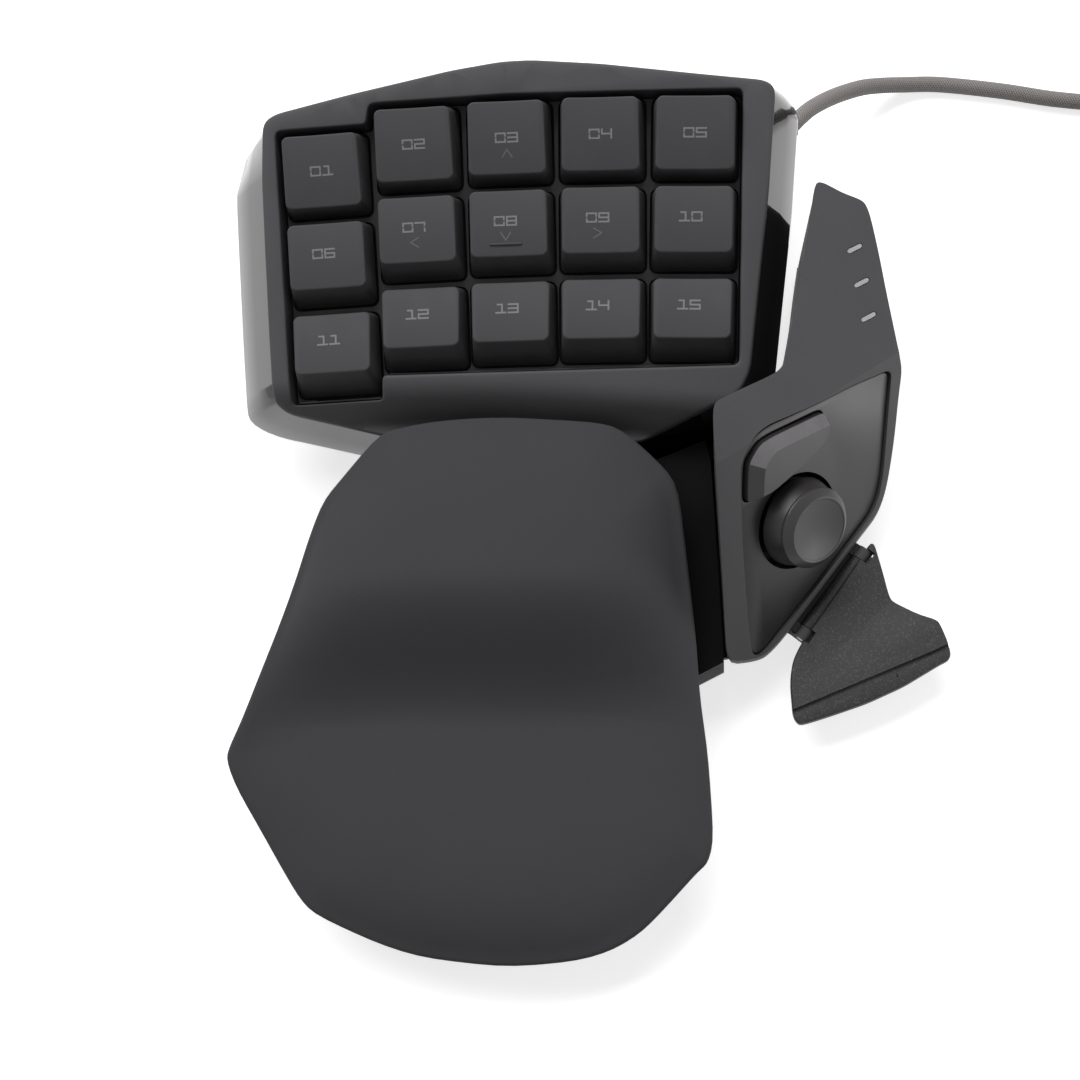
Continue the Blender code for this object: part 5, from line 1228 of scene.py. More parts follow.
@dataclass
class CaseShell:
    """The matt cover round the keys, the plate inside it and the glossy housing under it."""

    deck: Deck
    datum: Matrix
    width: float = 108.0 * MM
    depth: float = 81.6 * MM
    rise: float = 6.0 * MM
    sheet: float = 2.0 * MM
    edge_round: float = 2.2 * MM
    edge_roll: float = 0.7 * MM
    recess_round: float = 0.9 * MM
    recess_roll: float = 0.45 * MM
    fall_cuts: int = 20
    fall_cut_shares: tuple[float, float] = (0.36, 0.011)
    fall_start: float = 32.2 * MM
    fall_share: float = 0.85
    fall_most: float = 6.4 * MM
    fall_blend: float = 2.2 * MM
    fall_lead: float = 0.11
    lead_from: float = 4.0 * MM
    lead_soft: float = 8.0 * MM
    collar_wall: float = 0.8 * MM
    frame_top: float = -4.1 * MM
    recess_margin: float = 0.9 * MM
    front_margin: float = 1.0 * MM
    first_margin: float = 1.7 * MM
    recess_trim: float = 0.8 * MM
    left_flare: float = 8.8 * MM
    flare_top: float = 30.0 * MM
    flare_run: float = 10.0 * MM
    right_flare: float = 5.3 * MM
    rear_flare: float = 4.5 * MM
    front_flare: float = 2.0 * MM
    belt_drop: float = 11.5 * MM
    tuck: float = 4.5 * MM
    front_tuck: float = 2.0 * MM
    wall: float = 1.2 * MM
    wall_round: float = 2.4 * MM
    flange: float = 5.2 * MM
    flange_height: float = 3.6 * MM
    foot: float = 4.4 * MM
    belt_bulge: float = 0.15 * MM
    belt_round: float = 0.8 * MM
    shoulder: tuple[tuple[float, float], ...] = (
        (24.0 * MM, -43.0 * MM), (38.0 * MM, -46.0 * MM), (41.1 * MM, -46.0 * MM), (41.1 * MM, -43.4 * MM),
        (42.9 * MM, -41.8 * MM), (48.0 * MM, -38.2 * MM), (48.0 * MM, -32.0 * MM), (38.0 * MM, -32.0 * MM),
        (24.0 * MM, -37.5 * MM),
    )
    shoulder_low: float = 4.5 * MM
    shoulder_top: float = 8.0 * MM
    shoulder_round: float = 1.0 * MM
    shoulder_edge: float = 0.6 * MM
    plate_top: float = -0.6 * MM
    plate_sheet: float = 1.0 * MM
    plate_gap: float = 0.38 * MM
    plate_round: float = 0.8 * MM
    sill_width: float = 0.42 * MM
    sill_rise: float = 1.5 * MM
    sill_round: float = 0.15 * MM
    window_gap: float = 0.45 * MM
    window_round: float = 2.0 * MM
    outline_shares: tuple[tuple[float, float], ...] = (
        (-0.473, -0.424), (-0.449, -0.452), (-0.359, -0.482), (-0.252, -0.518),
        (-0.093, -0.556), (0.111, -0.566), (0.244, -0.548), (0.382, -0.466),
        (0.436, -0.434), (0.458, -0.379), (0.477, -0.173), (0.501, 0.078),
        (0.511, 0.230), (0.518, 0.337), (0.500, 0.359), (0.375, 0.382),
        (0.183, 0.419), (0.048, 0.436), (-0.010, 0.435), (-0.107, 0.418),
        (-0.305, 0.368), (-0.458, 0.324), (-0.481, 0.301), (-0.485, 0.154),
        (-0.482, -0.027), (-0.478, -0.234), (-0.475, -0.345), (-0.474, -0.385),
    )

    def outline(self) -> list[tuple[float, float]]:
        """The cover's outer edge on the deck."""
        return scaled(self.outline_shares, self.width, self.depth)

    def recess(self) -> list[tuple[float, float]]:
        """The opening in the cover, which steps down with the first column.

        Returns:
            The opening's corners, in the deck's frame.
        """
        corner = self.deck.corner
        columns = len(self.deck.column_drops)
        last = columns * (self.deck.rows - 1)
        gap = self.deck.column_pitch - self.deck.cap_width
        m = self.recess_margin
        n = self.front_margin
        trim = self.recess_trim
        near_left = corner(last + 1, -1, -1)
        near_first = corner(last + 1, 1, -1)
        near_step = corner(last + 2, -1, -1)
        near_right = corner(last + columns, 1, -1)
        far_right = corner(columns, 1, 1)
        rear_middle = corner(columns // 2 + 1, 0, 1)
        step_rear = corner(2, -1, 1)
        first_rear = corner(1, 1, 1)
        far_left = corner(1, -1, 1)
        first = self.first_margin
        return [
            (near_left.x - m, near_left.y - first), (near_first.x + gap / 2, near_first.y - first),
            (near_step.x - gap / 2 + trim, near_step.y - n), (near_right.x + m - trim, near_right.y - n),
            (near_right.x + m, near_right.y - n + trim), (far_right.x + m, far_right.y + m - trim),
            (far_right.x + m - trim, far_right.y + m), (rear_middle.x, rear_middle.y + m),
            (step_rear.x - gap / 2 + trim, step_rear.y + m), (step_rear.x - gap / 2, step_rear.y + m - trim),
            (first_rear.x + gap / 2, first_rear.y + m), (far_left.x - m + trim, far_left.y + m),
            (far_left.x - m, far_left.y + m - trim),
        ]

    def face(self, u: float, v: float) -> float:
        """Height of the cover over the deck, which falls away past a slanting line at the front.

        Args:
            u: Place across the deck.
            v: Place up the deck.

        Returns:
            The height over the deck.
        """
        ahead = u + self.lead_from
        lead = self.fall_lead * (ahead + sqrt(ahead * ahead + self.lead_soft ** 2)) / 2
        past = -self.fall_start - lead - v
        if past < -self.fall_blend:
            return self.rise
        if past < self.fall_blend:
            return self.rise - self.fall_share * (past + self.fall_blend) ** 2 / (4 * self.fall_blend)
        return self.rise - min(self.fall_share * past, self.fall_most)

    def build_bezel(self) -> None:
        """The bent cover sheet with its collar round the keys."""
        under = self.rise - self.sheet
        foot = self.frame_top + SEAT_GAP
        outline = softened(self.outline(), self.edge_round)
        recess = softened(self.recess(), self.recess_round, 3)
        collar = grown(recess, self.collar_wall)
        shape = pierced([
            rolled(outline, self.rise, self.edge_roll, -1) + [(outline, under)],
            rolled(recess, self.rise, self.recess_roll, 1)
            + [(recess, foot), (collar, foot), (collar, under)],
        ])
        first, step = self.fall_cut_shares
        count = self.fall_cuts
        cuts = [((0, -self.depth * (first + step * i), 0), (0, 1, 0)) for i in range(count)]
        cuts += [((self.width * (i / count - 0.5), 0, 0), (1, 0, 0)) for i in range(1, count + 1)]
        for place, across in cuts:
            split(shape, place, across)
        for corner in shape.verts:
            if corner.co.z > under - WELD:
                corner.co.z += self.face(corner.co.x, corner.co.y) - self.rise
        add_piece("key_cover", shape, self.deck.matrix(self.datum), [COVER_ABS],
                  ["keypad_bezel"])

    def build_plate(self) -> None:
        """The plate inside the cover, open round each cap, with a fine bevel along its edges."""
        low = self.plate_top - self.plate_sheet
        edge = softened(grown(self.recess(), -self.plate_gap), self.plate_round, 3)
        width = self.deck.cap_width + 2 * self.window_gap
        depth = self.deck.cap_depth + 2 * self.window_gap
        window = softened(oblong(width, depth), self.window_round, 5)
        cutter = together([moved(plate(window, low - OVERRUN, self.plate_top + OVERRUN), place)
                           for _, _, place in self.deck.keys()])
        sheet = combined(plate(edge, low, self.plate_top), cuts=[cutter])
        add_piece("key_surround", sheet, self.deck.matrix(self.datum), [PLATE_ABS],
                  rim=FINE_RIM)

    def build_sill(self) -> None:
        """The step along the recess's near edge, which catches the light in front of the caps."""
        bars = []
        corners = [Vector(point) for point in self.recess()[:4]]
        for start, end in (corners[:2], corners[2:]):
            run = end - start
            inwards = Vector((-run.y, run.x)).normalized()
            middle = (start + end) / 2 + inwards * (self.plate_gap + self.sill_width / 2)
            bar = block(run.length - 2 * self.recess_trim, self.sill_width, self.plate_top, self.sill_rise)
            bar = rounded(bar, above(self.sill_rise - FACE_BAND), self.sill_round)
            bars.append(moved(bar, Matrix.Translation(middle.to_3d()) @ facing(run)))
        add_piece("key_sill", together(bars), self.deck.matrix(self.datum), [COVER_ABS])

    def wall_paths(self) -> list[list[Vector]]:
        """For each point of the cover's edge, the housing's rim, belt and foot under it.

        Returns:
            Three points for each corner of the edge.
        """
        outline = [Vector(point) for point in softened(self.outline(), self.wall_round)]
        deck = self.deck.matrix(Matrix.Identity(4))
        paths = []
        for (u, v), normal in zip(outline, outward(outline)):
            normal = normal.normalized()
            start = deck @ Vector((u, v, self.face(u, v) - self.sheet - SEAT_GAP))
            height = start.z - self.belt_drop
            spread = min(max((self.flare_top - v) / self.flare_run, 0), 1)
            across = self.right_flare if normal.x > 0 else self.left_flare * spread
            along = self.rear_flare if normal.y > 0 else self.front_flare
            belt = Vector((start.x + normal.x * across, start.y + normal.y * along, height))
            narrow = 1 - 2 * self.tuck / self.width
            short = 1 - 2 * self.front_tuck / self.depth
            paths.append([start, belt, Vector((start.x * narrow, start.y * short, self.foot))])
        return paths

    def build_housing(self) -> None:
        """The flared glossy tray, with its flange."""
        stations = []
        for start, belt, foot in self.wall_paths():
            out = Vector(((belt - start).x, (belt - start).y, 0)).normalized() * self.belt_bulge
            upper = belt + (start - belt).normalized() * self.belt_round
            lower = belt + (foot - belt).normalized() * self.belt_round
            arc = [upper.lerp(belt, share).lerp(belt.lerp(lower, share), share) for share in (0.0, 0.5, 1.0)]
            stations.append([start, start.lerp(upper, 0.5) + out, *arc, lower.lerp(foot, 0.5), foot])
        rows = [list(row) for row in zip(*stations)]
        foot = rows[-1]
        flange = [point + Vector((0, 0, self.flange_height)) for point in inset(foot, self.wall)]
        belt = rows[len(rows) // 2]
        rings = rows + [
            inset(foot, self.flange), inset(flange, self.flange - self.wall), inset(belt, self.wall),
            inset(rows[0], self.wall),
        ]
        shape, _ = swept(rings, closed=True)
        add_piece("glossy_housing", shape, self.datum, [GLOSS_ABS], ["keypad_housing"],
                  sharp=50.0)

    def build_shoulder(self) -> None:
        """The low black step that joins the housing, the base and the wing, in the base's black with its
        painted shade.
        """
        step = plate(softened(self.shoulder, self.shoulder_round, 3), self.shoulder_low, self.shoulder_top)
        step = rounded(step, above(self.shoulder_top - FACE_BAND), self.shoulder_edge)
        add_piece("base_shoulder", step, self.datum, [BASE_BLACK_PAINTED_SHADE])

    def build(self) -> None:
        """Makes the cover, the plate and its sill, the housing and the step beside it."""
        self.build_bezel()
        self.build_plate()
        self.build_sill()
        self.build_housing()
        self.build_shoulder()


def inset(ring: Sequence[Vector], distance: float) -> list[Vector]:
    """A ring moved inwards in plan, with its heights kept."""
    plan = grown([(point.x, point.y) for point in ring], -distance)
    return [Vector((x, y, point.z)) for (x, y), point in zip(plan, ring)]


def catmull(points: Sequence[Vector], segment: int, share: float) -> Vector:
    """A point of the smooth curve through all the points.

    Args:
        points: All the points, in order.
        segment: The stretch's number.
        share: How far along the stretch, from 0 to 1.

    Returns:
        The point.
    """
    before = points[max(segment - 1, 0)]
    start, end = points[segment], points[segment + 1]
    after = points[min(segment + 2, len(points) - 1)]
    t = share
    return (start * 2 + (end - before) * t + (before * 2 - start * 5 + end * 4 - after) * t * t
            + (start * 3 - before - end * 3 + after) * t * t * t) / 2


@dataclass
class PalmRest:
    """The soft-touch palm rest: a hump that drops to the wrist, its tray, feet and release."""

    datum: Matrix
    width: float = 101.0 * MM
    length: float = 112.3 * MM
    axis: float = 11.0 * MM
    rear: float = 38.5 * MM
    rim_rear: float = 29.2 * MM
    rim_front: float = 12.2 * MM
    crest_rear: float = 33.0 * MM
    crest_front: float = 17.8 * MM
    fall_shares: tuple[float, float] = (0.31, 0.57)
    middle_share: float = 0.52
    wall: float = 2.4 * MM
    undercut: float = 4.0 * MM
    band: float = 4.6 * MM
    lip: float = 1.3 * MM
    edge_radius: float = 1.1 * MM
    edge_degrees: tuple[int, ...] = (25, 50, 70, 90)
    corner_round: float = 6.0 * MM
    crown_power: int = 6
    first_spread: float = 0.03
    inner_skip: int = 4
    foot: float = 4.4 * MM
    housing_front: float = -47.5 * MM
    spine_front: float = 98.0 * MM
    spine_left: float = 32.5 * MM
    ring_count: int = 26
    outline_shares: tuple[tuple[float, float], ...] = (
        (0.080, 0.0), (-0.052, -0.004), (-0.139, -0.017), (-0.178, -0.029),
        (-0.256, -0.109), (-0.295, -0.150), (-0.326, -0.222), (-0.350, -0.290),
        (-0.384, -0.373), (-0.428, -0.469), (-0.465, -0.551), (-0.490, -0.598),
        (-0.498, -0.622), (-0.477, -0.673), (-0.426, -0.750), (-0.378, -0.825),
        (-0.341, -0.879), (-0.309, -0.906), (-0.180, -0.958), (-0.088, -0.983),
        (0.078, -1.0), (0.213, -0.991), (0.287, -0.974), (0.349, -0.943),
        (0.401, -0.898), (0.468, -0.834), (0.489, -0.819), (0.502, -0.777),
        (0.494, -0.623), (0.480, -0.523), (0.475, -0.416), (0.460, -0.273),
        (0.445, -0.134), (0.403, -0.089), (0.336, -0.033), (0.290, -0.016),
    )

    def outline(self) -> list[tuple[float, float]]:
        """The rim in plan, with its corners rounded."""
        corners = scaled(self.outline_shares, self.width, self.length, (-self.axis, -self.rear))
        return softened(corners, self.corner_round, 3)

    def share(self, y: float) -> float:
        """How far along the palm rest a place lies, from 0 at its rear to 1 at its front."""
        return (-y - self.rear) / self.length

    def rim_height(self, y: float) -> float:
        """Height of the rim."""
        return self.rim_rear + (self.rim_front - self.rim_rear) * min(max(self.share(y), 0), 1)

    def height(self, y: float, spread: float) -> float:
        """Height of the surface: spread is 1 at the rim and 0 in the middle.

        Args:
            y: Place along the palm rest.
            spread: How far out towards the rim.

        Returns:
            The height over the desk.
        """
        low, high = self.fall_shares
        crest = self.crest_rear + (self.crest_front - self.crest_rear) * eased(low, high, self.share(y))
        rim = self.rim_height(y)
        return rim + (crest - rim) * (1 - spread ** self.crown_power)

    def ring(self, plan: Outline, spread: float, drop: float = 0.0) -> list[Vector]:
        """A ring of the surface, drawn in towards the middle.

        Args:
            plan: The surface's outermost ring in plan.
            spread: The ring's share of it.
            drop: How far it lies under the surface.

        Returns:
            The ring's points.
        """
        middle = Vector((-self.axis, -self.rear - self.length * self.middle_share))
        places = [middle + (Vector(point) - middle) * spread for point in plan]
        return [Vector((p.x, p.y, self.height(p.y, spread) - drop)) for p in places]

    def skirt(self, outline: Outline) -> list[Vector]:
        """The wall's foot: low at the front, and a short band where it passes over the keypad.

        Args:
            outline: The rim in plan.

        Returns:
            The foot's points.
        """
        inner = grown(outline, -self.undercut)
        loop = []
        for (x, y), (_, edge) in zip(inner, outline):
            rim = self.rim_height(edge)
            if y > self.housing_front:
                loop.append(Vector((x, edge + (y - edge) / 2, rim - self.lip)))
            else:
                over_spine = y > -self.spine_front and x > -self.spine_left
                loop.append(Vector((x, y, rim - self.band if over_spine else self.foot)))
        return loop

    def build(self) -> None:
        """Makes the cover and dresses what is under it."""
        outline = self.outline()
        drawn = grown(outline, -self.edge_radius)
        first = self.first_spread
        spreads = [first + (1 - first) * (i / (self.ring_count - 1)) for i in range(self.ring_count)]
        rings = [self.ring(drawn, spread) for spread in spreads]
        top = rings[-1]
        for degrees in self.edge_degrees:
            angle = radians(degrees)
            plan = grown(outline, -self.edge_radius * (1 - sin(angle)))
            drop = self.edge_radius * (1 - cos(angle))
            rings.append([Vector((x, y, point.z - drop)) for (x, y), point in zip(plan, top)])
        skirt = self.skirt(outline)
        inner = grown(outline, -self.wall)
        rings += [skirt, inset(skirt, self.wall)]
        rings += [self.ring(inner, spread, self.wall) for spread in spreads[::-self.inner_skip]]
        shape, _ = swept(rings)
        add_piece("palm_rest_shell", shape, self.datum, [SOFT_LACQUER], ["palm_cover"],
                  "palm_rest", sharp=60.0)
        dress_node("palm_tray", INNER_ABS)
        dress_node("palm_latch_button", SATIN_BUTTON)
        for node in ("palm_foot_left", "palm_foot_right"):
            dress_node(node, RUBBER)


@dataclass
class ThumbWing:
    """The folded thumb wing: shell, satin panel, button, stick and light pipe."""

    datum: Matrix
    left: float = 41.4 * MM
    front: float = 89.6 * MM
    width: float = 39.6 * MM
    length: float = 95.5 * MM
    crest: tuple[float, float, float] = (46.5 * MM, -52.0 * MM, 43.5 * MM)
    top_fall: float = 0.542
    top_rise: float = 0.1405
    panel_elevation: float = radians(38)
    panel_azimuth: float = radians(-37.52)
    wall: float = 1.5 * MM
    band: float = 3.0 * MM
    tuck: float = 4.5 * MM
    end_tuck: float = 3.0 * MM
    foot: float = 4.4 * MM
    ceiling: float = 70.0 * MM
    plan_round: float = 3.0 * MM
    upward_least: float = 0.3
    edge_radius: float = 0.9 * MM
    shell_rim: float = 0.2 * MM
    stick_place: tuple[float, float] = (58.8 * MM, -61.6 * MM)
    panel_length: float = 64.0 * MM
    panel_height: float = 40.0 * MM
    panel_sink: float = 0.6 * MM
    panel_sheet: float = 1.6 * MM
    panel_round: float = 2.2 * MM
    panel_edge: float = 0.25 * MM
    hole_sides: int = 72
    stick_hole: float = 10.4 * MM
    button_place: tuple[float, float] = (6.5 * MM, 15.9 * MM)
    button_length: float = 24.3 * MM
    button_height: float = 12.6 * MM
    button_rise: float = 2.2 * MM
    button_root: float = 3.4 * MM
    button_bevel: float = 1.6 * MM
    button_shift: tuple[float, float] = (0.6 * MM, 1.3 * MM)
    button_round: float = 1.6 * MM
    button_rim: float = 0.15 * MM
    button_band_share: float = 0.28
    bevel_lit: tuple[float, float] = (0.49, 0.87)
    bevel_slopes: tuple[float, float] = (0.2, 0.97)
    bevel_least: float = 0.25
    light_first: tuple[float, float] = (71.5 * MM, -6.8 * MM)
    light_step: tuple[float, float] = (1.25 * MM, -6.95 * MM)
    light_length: float = 3.9 * MM
    light_width: float = 0.9 * MM
    light_turn: float = radians(28)
    light_sink: float = 0.1 * MM
    light_bar_width: float = 5.0 * MM
    light_bar_sheet: float = 1.2 * MM
    light_count: int = 3
    outline_shares: tuple[tuple[float, float], ...] = (
        (0.558, 0.997), (0.520, 0.905), (0.490, 0.823), (0.442, 0.731),
        (0.404, 0.658), (0.376, 0.600), (0.353, 0.580), (0.311, 0.564),
        (0.192, 0.534), (0.045, 0.497), (0.010, 0.485), (0.0, 0.457),
        (0.018, 0.280), (0.030, 0.172), (0.045, 0.0), (0.162, 0.012),
        (0.237, 0.024), (0.290, 0.044), (0.346, 0.070), (0.790, 0.306),
        (0.869, 0.347), (0.912, 0.388), (0.934, 0.428), (0.960, 0.492),
        (0.985, 0.586), (1.0, 0.626), (0.980, 0.655), (0.955, 0.712),
        (0.922, 0.785), (0.891, 0.862), (0.854, 0.939), (0.833, 0.966),
        (0.808, 0.978), (0.707, 0.985), (0.639, 0.995), (0.596, 1.0),
    )
    panel_shares: tuple[tuple[float, float], ...] = (
        (0.578, 0.133), (0.428, 0.288), (0.303, 0.400), (0.125, 0.575),
        (0.055, 0.608), (-0.023, 0.570), (-0.103, 0.413), (-0.203, 0.203),
        (-0.327, -0.078), (-0.417, -0.303), (-0.406, -0.358), (-0.369, -0.375),
        (-0.286, -0.380), (0.145, -0.395), (0.205, -0.393), (0.266, -0.360),
        (0.330, -0.278),
    )
    button_shares: tuple[tuple[float, float], ...] = (
        (0.502, -0.262), (0.502, -0.159), (0.021, 0.397), (-0.103, 0.500),
        (-0.288, 0.444), (-0.498, 0.0), (-0.498, -0.079), (-0.354, -0.238),
        (-0.004, -0.421), (0.276, -0.500), (0.412, -0.444),
    )

    def panel_out(self) -> Vector:
        """The way the panel faces."""
        level, azimuth = cos(self.panel_elevation), self.panel_azimuth
        return Vector((level * cos(azimuth), level * sin(azimuth), sin(self.panel_elevation)))

    def plate_out(self) -> Vector:
        """The way the top plate faces."""
        return Vector((self.top_fall, -self.top_rise, 1)).normalized()

    def height_on(self, out: Vector, x: float, y: float) -> float:
        """Height at a place of the plane through the crest that faces along out."""
        return self.crest[2] - (out.x * (x - self.crest[0]) + out.y * (y - self.crest[1])) / out.z

    def panel_turn(self) -> Matrix:
        """The panel's directions: along its hinge line, up its slope and out of its face.

        Returns:
            The turn, without a place.
        """
        out = self.panel_out()
        along = UP.cross(out).normalized()
        return axes(along, out.cross(along), out)

    def panel_frame(self) -> Matrix:
        """The panel's frame, where the stick's axis meets its plane.

        Returns:
            The frame, in the row frame.
        """
        x, y = self.stick_place
        place = Matrix.Translation((x, y, self.height_on(self.panel_out(), x, y)))
        return self.datum @ place @ self.panel_turn()

    def outline(self) -> list[tuple[float, float]]:
        """The wing's edge in plan."""
        return scaled(self.outline_shares, self.width, self.length, (self.left, -self.front))

    def body(self, drawn_in: float, floor: float) -> Shape:
        """The wing as a block under its two planes, or its hollow when it is drawn in.

        Args:
            drawn_in: How far all its faces are drawn in.
            floor: Height of its foot.

        Returns:
            The closed shape.
        """
        plan = softened(grown(self.outline(), -drawn_in), self.plan_round, 3)
        shape = plate(plan, floor, self.ceiling)
        crest = Vector(self.crest)
        for out in (self.plate_out(), self.panel_out()):
            split(shape, crest - out * drawn_in, out, drop=True)
            fill_open(shape)
        bmesh.ops.recalc_face_normals(shape, faces=shape.faces)
        tops = {face for face in shape.faces if face.normal.z > self.upward_least}
        for out in (self.plate_out(), self.panel_out()):
            walls = {face for face in shape.faces if face not in tops}
            around = [part for kind in (shape.verts, shape.edges) for part in kind
                      if not walls.isdisjoint(part.link_faces)]
            bmesh.ops.bisect_plane(shape, geom=around + [face for face in shape.faces if face in walls],
                                   dist=WELD, plane_co=crest - out * drawn_in - UP * self.band, plane_no=out)
        if not drawn_in:
            rim = {edge for face in shape.faces if face.normal.z > self.upward_least for edge in face.edges}
            rounded(shape, lambda e: e in rim, self.edge_radius)
        middle = -self.front + self.length / 2
        for corner in shape.verts:
            x, y, z = corner.co
            level = min(self.height_on(out, x, y) for out in (self.plate_out(), self.panel_out()))
            level = level - self.band - drawn_in
            if z < level - WELD:
                depth = min((level - z) / max(level - self.foot, WELD), 1)
                corner.co.x = self.left + (x - self.left) * (1 - depth * self.tuck / self.width)
                corner.co.y = middle + (y - middle) * (1 - depth * 2 * self.end_tuck / self.length)
        return shape

    def light_frames(self) -> list[Matrix]:
        """The frame of each indicator slot on the top plate.

        Returns:
            A frame for each light, in the datum's.
        """
        out = self.plate_out()
        across = (Vector((1, 0, 0)) - out * out.x).normalized()
        turn = axes(across, out.cross(across), out)
        frames = []
        for number in range(self.light_count):
            x = self.light_first[0] + self.light_step[0] * number
            y = self.light_first[1] + self.light_step[1] * number
            spot = Matrix.Translation((x, y, self.height_on(out, x, y)))
            frames.append(spot @ turn @ Matrix.Rotation(self.light_turn, 4, "Z"))
        return frames

    def capsule(self, length: float, width: float, low: float, high: float) -> Shape:
        """An upright bar with round ends.

        Args:
            length: Its extent in X.
            width: Its extent in Y.
            low: Height of its foot.
            high: Height of its top.

        Returns:
            The closed shape.
        """
        half = length / 2 - width / 2
        end, side, turn = half + width / 2, width / 2, width / 4
        corners = [(-half, -side), (half, -side), (end, -turn), (end, turn),
                   (half, side), (-half, side), (-end, turn), (-end, -turn)]
        return plate(softened(corners, turn, 2), low, high)

    def capsules(self, grow: float, low: float, high: float) -> list[Shape]:
        """A capsule at each light, longer and wider by grow than the light itself."""
        return [moved(self.capsule(self.light_length + grow, self.light_width + grow, low, high), place)
                for place in self.light_frames()]

    def build_shell(self) -> None:
        """The matt shell with its openings and the two ears for the paddle's pin."""
        deep = self.wall + OVERRUN
        flat_panel = self.datum.inverted() @ self.panel_frame()
        opening = moved(plate(softened(self.panel_plan(0.0), self.panel_round), -deep, OVERRUN), flat_panel)
        slots = self.capsules(SEAT_GAP, -deep, OVERRUN)
        hollow = self.body(self.wall, self.foot - OVERRUN)
        ears, bore = Hinge(self).ears()
        shell = combined(self.body(0.0, self.foot), ears, [hollow, opening, *slots, bore])
        add_piece("wing_shell", shell, self.datum, [COVER_ABS], ["thumb_shell"],
                  rim=self.shell_rim)
        top = -self.wall - SEAT_GAP
        across, along = self.light_step
        bar = block(self.light_bar_width, sqrt(across ** 2 + along ** 2) * self.light_count,
                    top - self.light_bar_sheet, top)
        pipe = combined(moved(bar, self.light_frames()[1]), self.capsules(0.0, -deep, -self.light_sink))
        add_piece("light_pipe_tips", pipe, self.datum, [MILKY_LIGHT], ["indicator_light_pipe"])

    def panel_plan(self, grow: float) -> list[tuple[float, float]]:
        """The panel's opening in its own frame."""
        return grown(scaled(self.panel_shares, self.panel_length, self.panel_height), grow)

    def button_plan(self, grow: float) -> list[tuple[float, float]]:
        """The button's edge in the panel's frame."""
        corners = scaled(self.button_shares, self.button_length, self.button_height, self.button_place)
        return grown(corners, grow)

    def build_panel(self) -> None:
        """The recessed panel with its holes."""
        low = -self.wall - SEAT_GAP - self.panel_sheet
        edge = softened(self.panel_plan(-SEAT_GAP), self.panel_round)
        shape = plate(edge, low, -self.panel_sink)
        rounded(shape, above(-self.panel_sink - FACE_BAND), self.panel_edge, 2)
        holes = [
            plate(circle(self.stick_hole, self.hole_sides), low - OVERRUN, OVERRUN),
            plate(softened(self.button_plan(RUN_GAP), self.button_round), low - OVERRUN, OVERRUN),
        ]
        panel = combined(shape, cuts=holes)
        add_piece("wing_panel", panel, self.panel_frame(), [SATIN_PANEL], ["thumb_panel"],
                  rim=FINE_RIM)

    def build_button(self) -> None:
        """The button, whose broad bevel is painted lighter along its upper sides: a painted highlight."""
        edge = self.button_plan(0.0)
        across, down = self.button_shift
        face = [(x + across, y - down) for x, y in self.button_plan(-self.button_bevel)]
        band = self.button_rise * self.button_band_share
        levels = ((-self.button_root, edge), (band, edge), (self.button_rise, face))
        rings = [ring_at(softened(plan, self.button_round), level) for level, plan in levels]
        shape, _ = swept(rings)
        low, high = self.bevel_slopes
        # Bevel faces that lean towards bevel_lit get the lighter finish: a painted highlight
        for side in shape.faces:
            side.normal_update()
            if low < side.normal.z < high and side.normal.xy.dot(self.bevel_lit) > self.bevel_least:
                side.material_index = 1
        add_piece("thumb_key", shape, self.panel_frame(), [SATIN_BUTTON, BEVEL_PAINTED_HIGHLIGHT],
                  ["thumb_button"], "thumb_button", sharp=20.0, rim=self.button_rim)

    def build(self) -> None:
        """Makes the wing's covers and button."""
        self.build_shell()
        Hinge(self).build_ridge()
        self.build_panel()
        self.build_button()


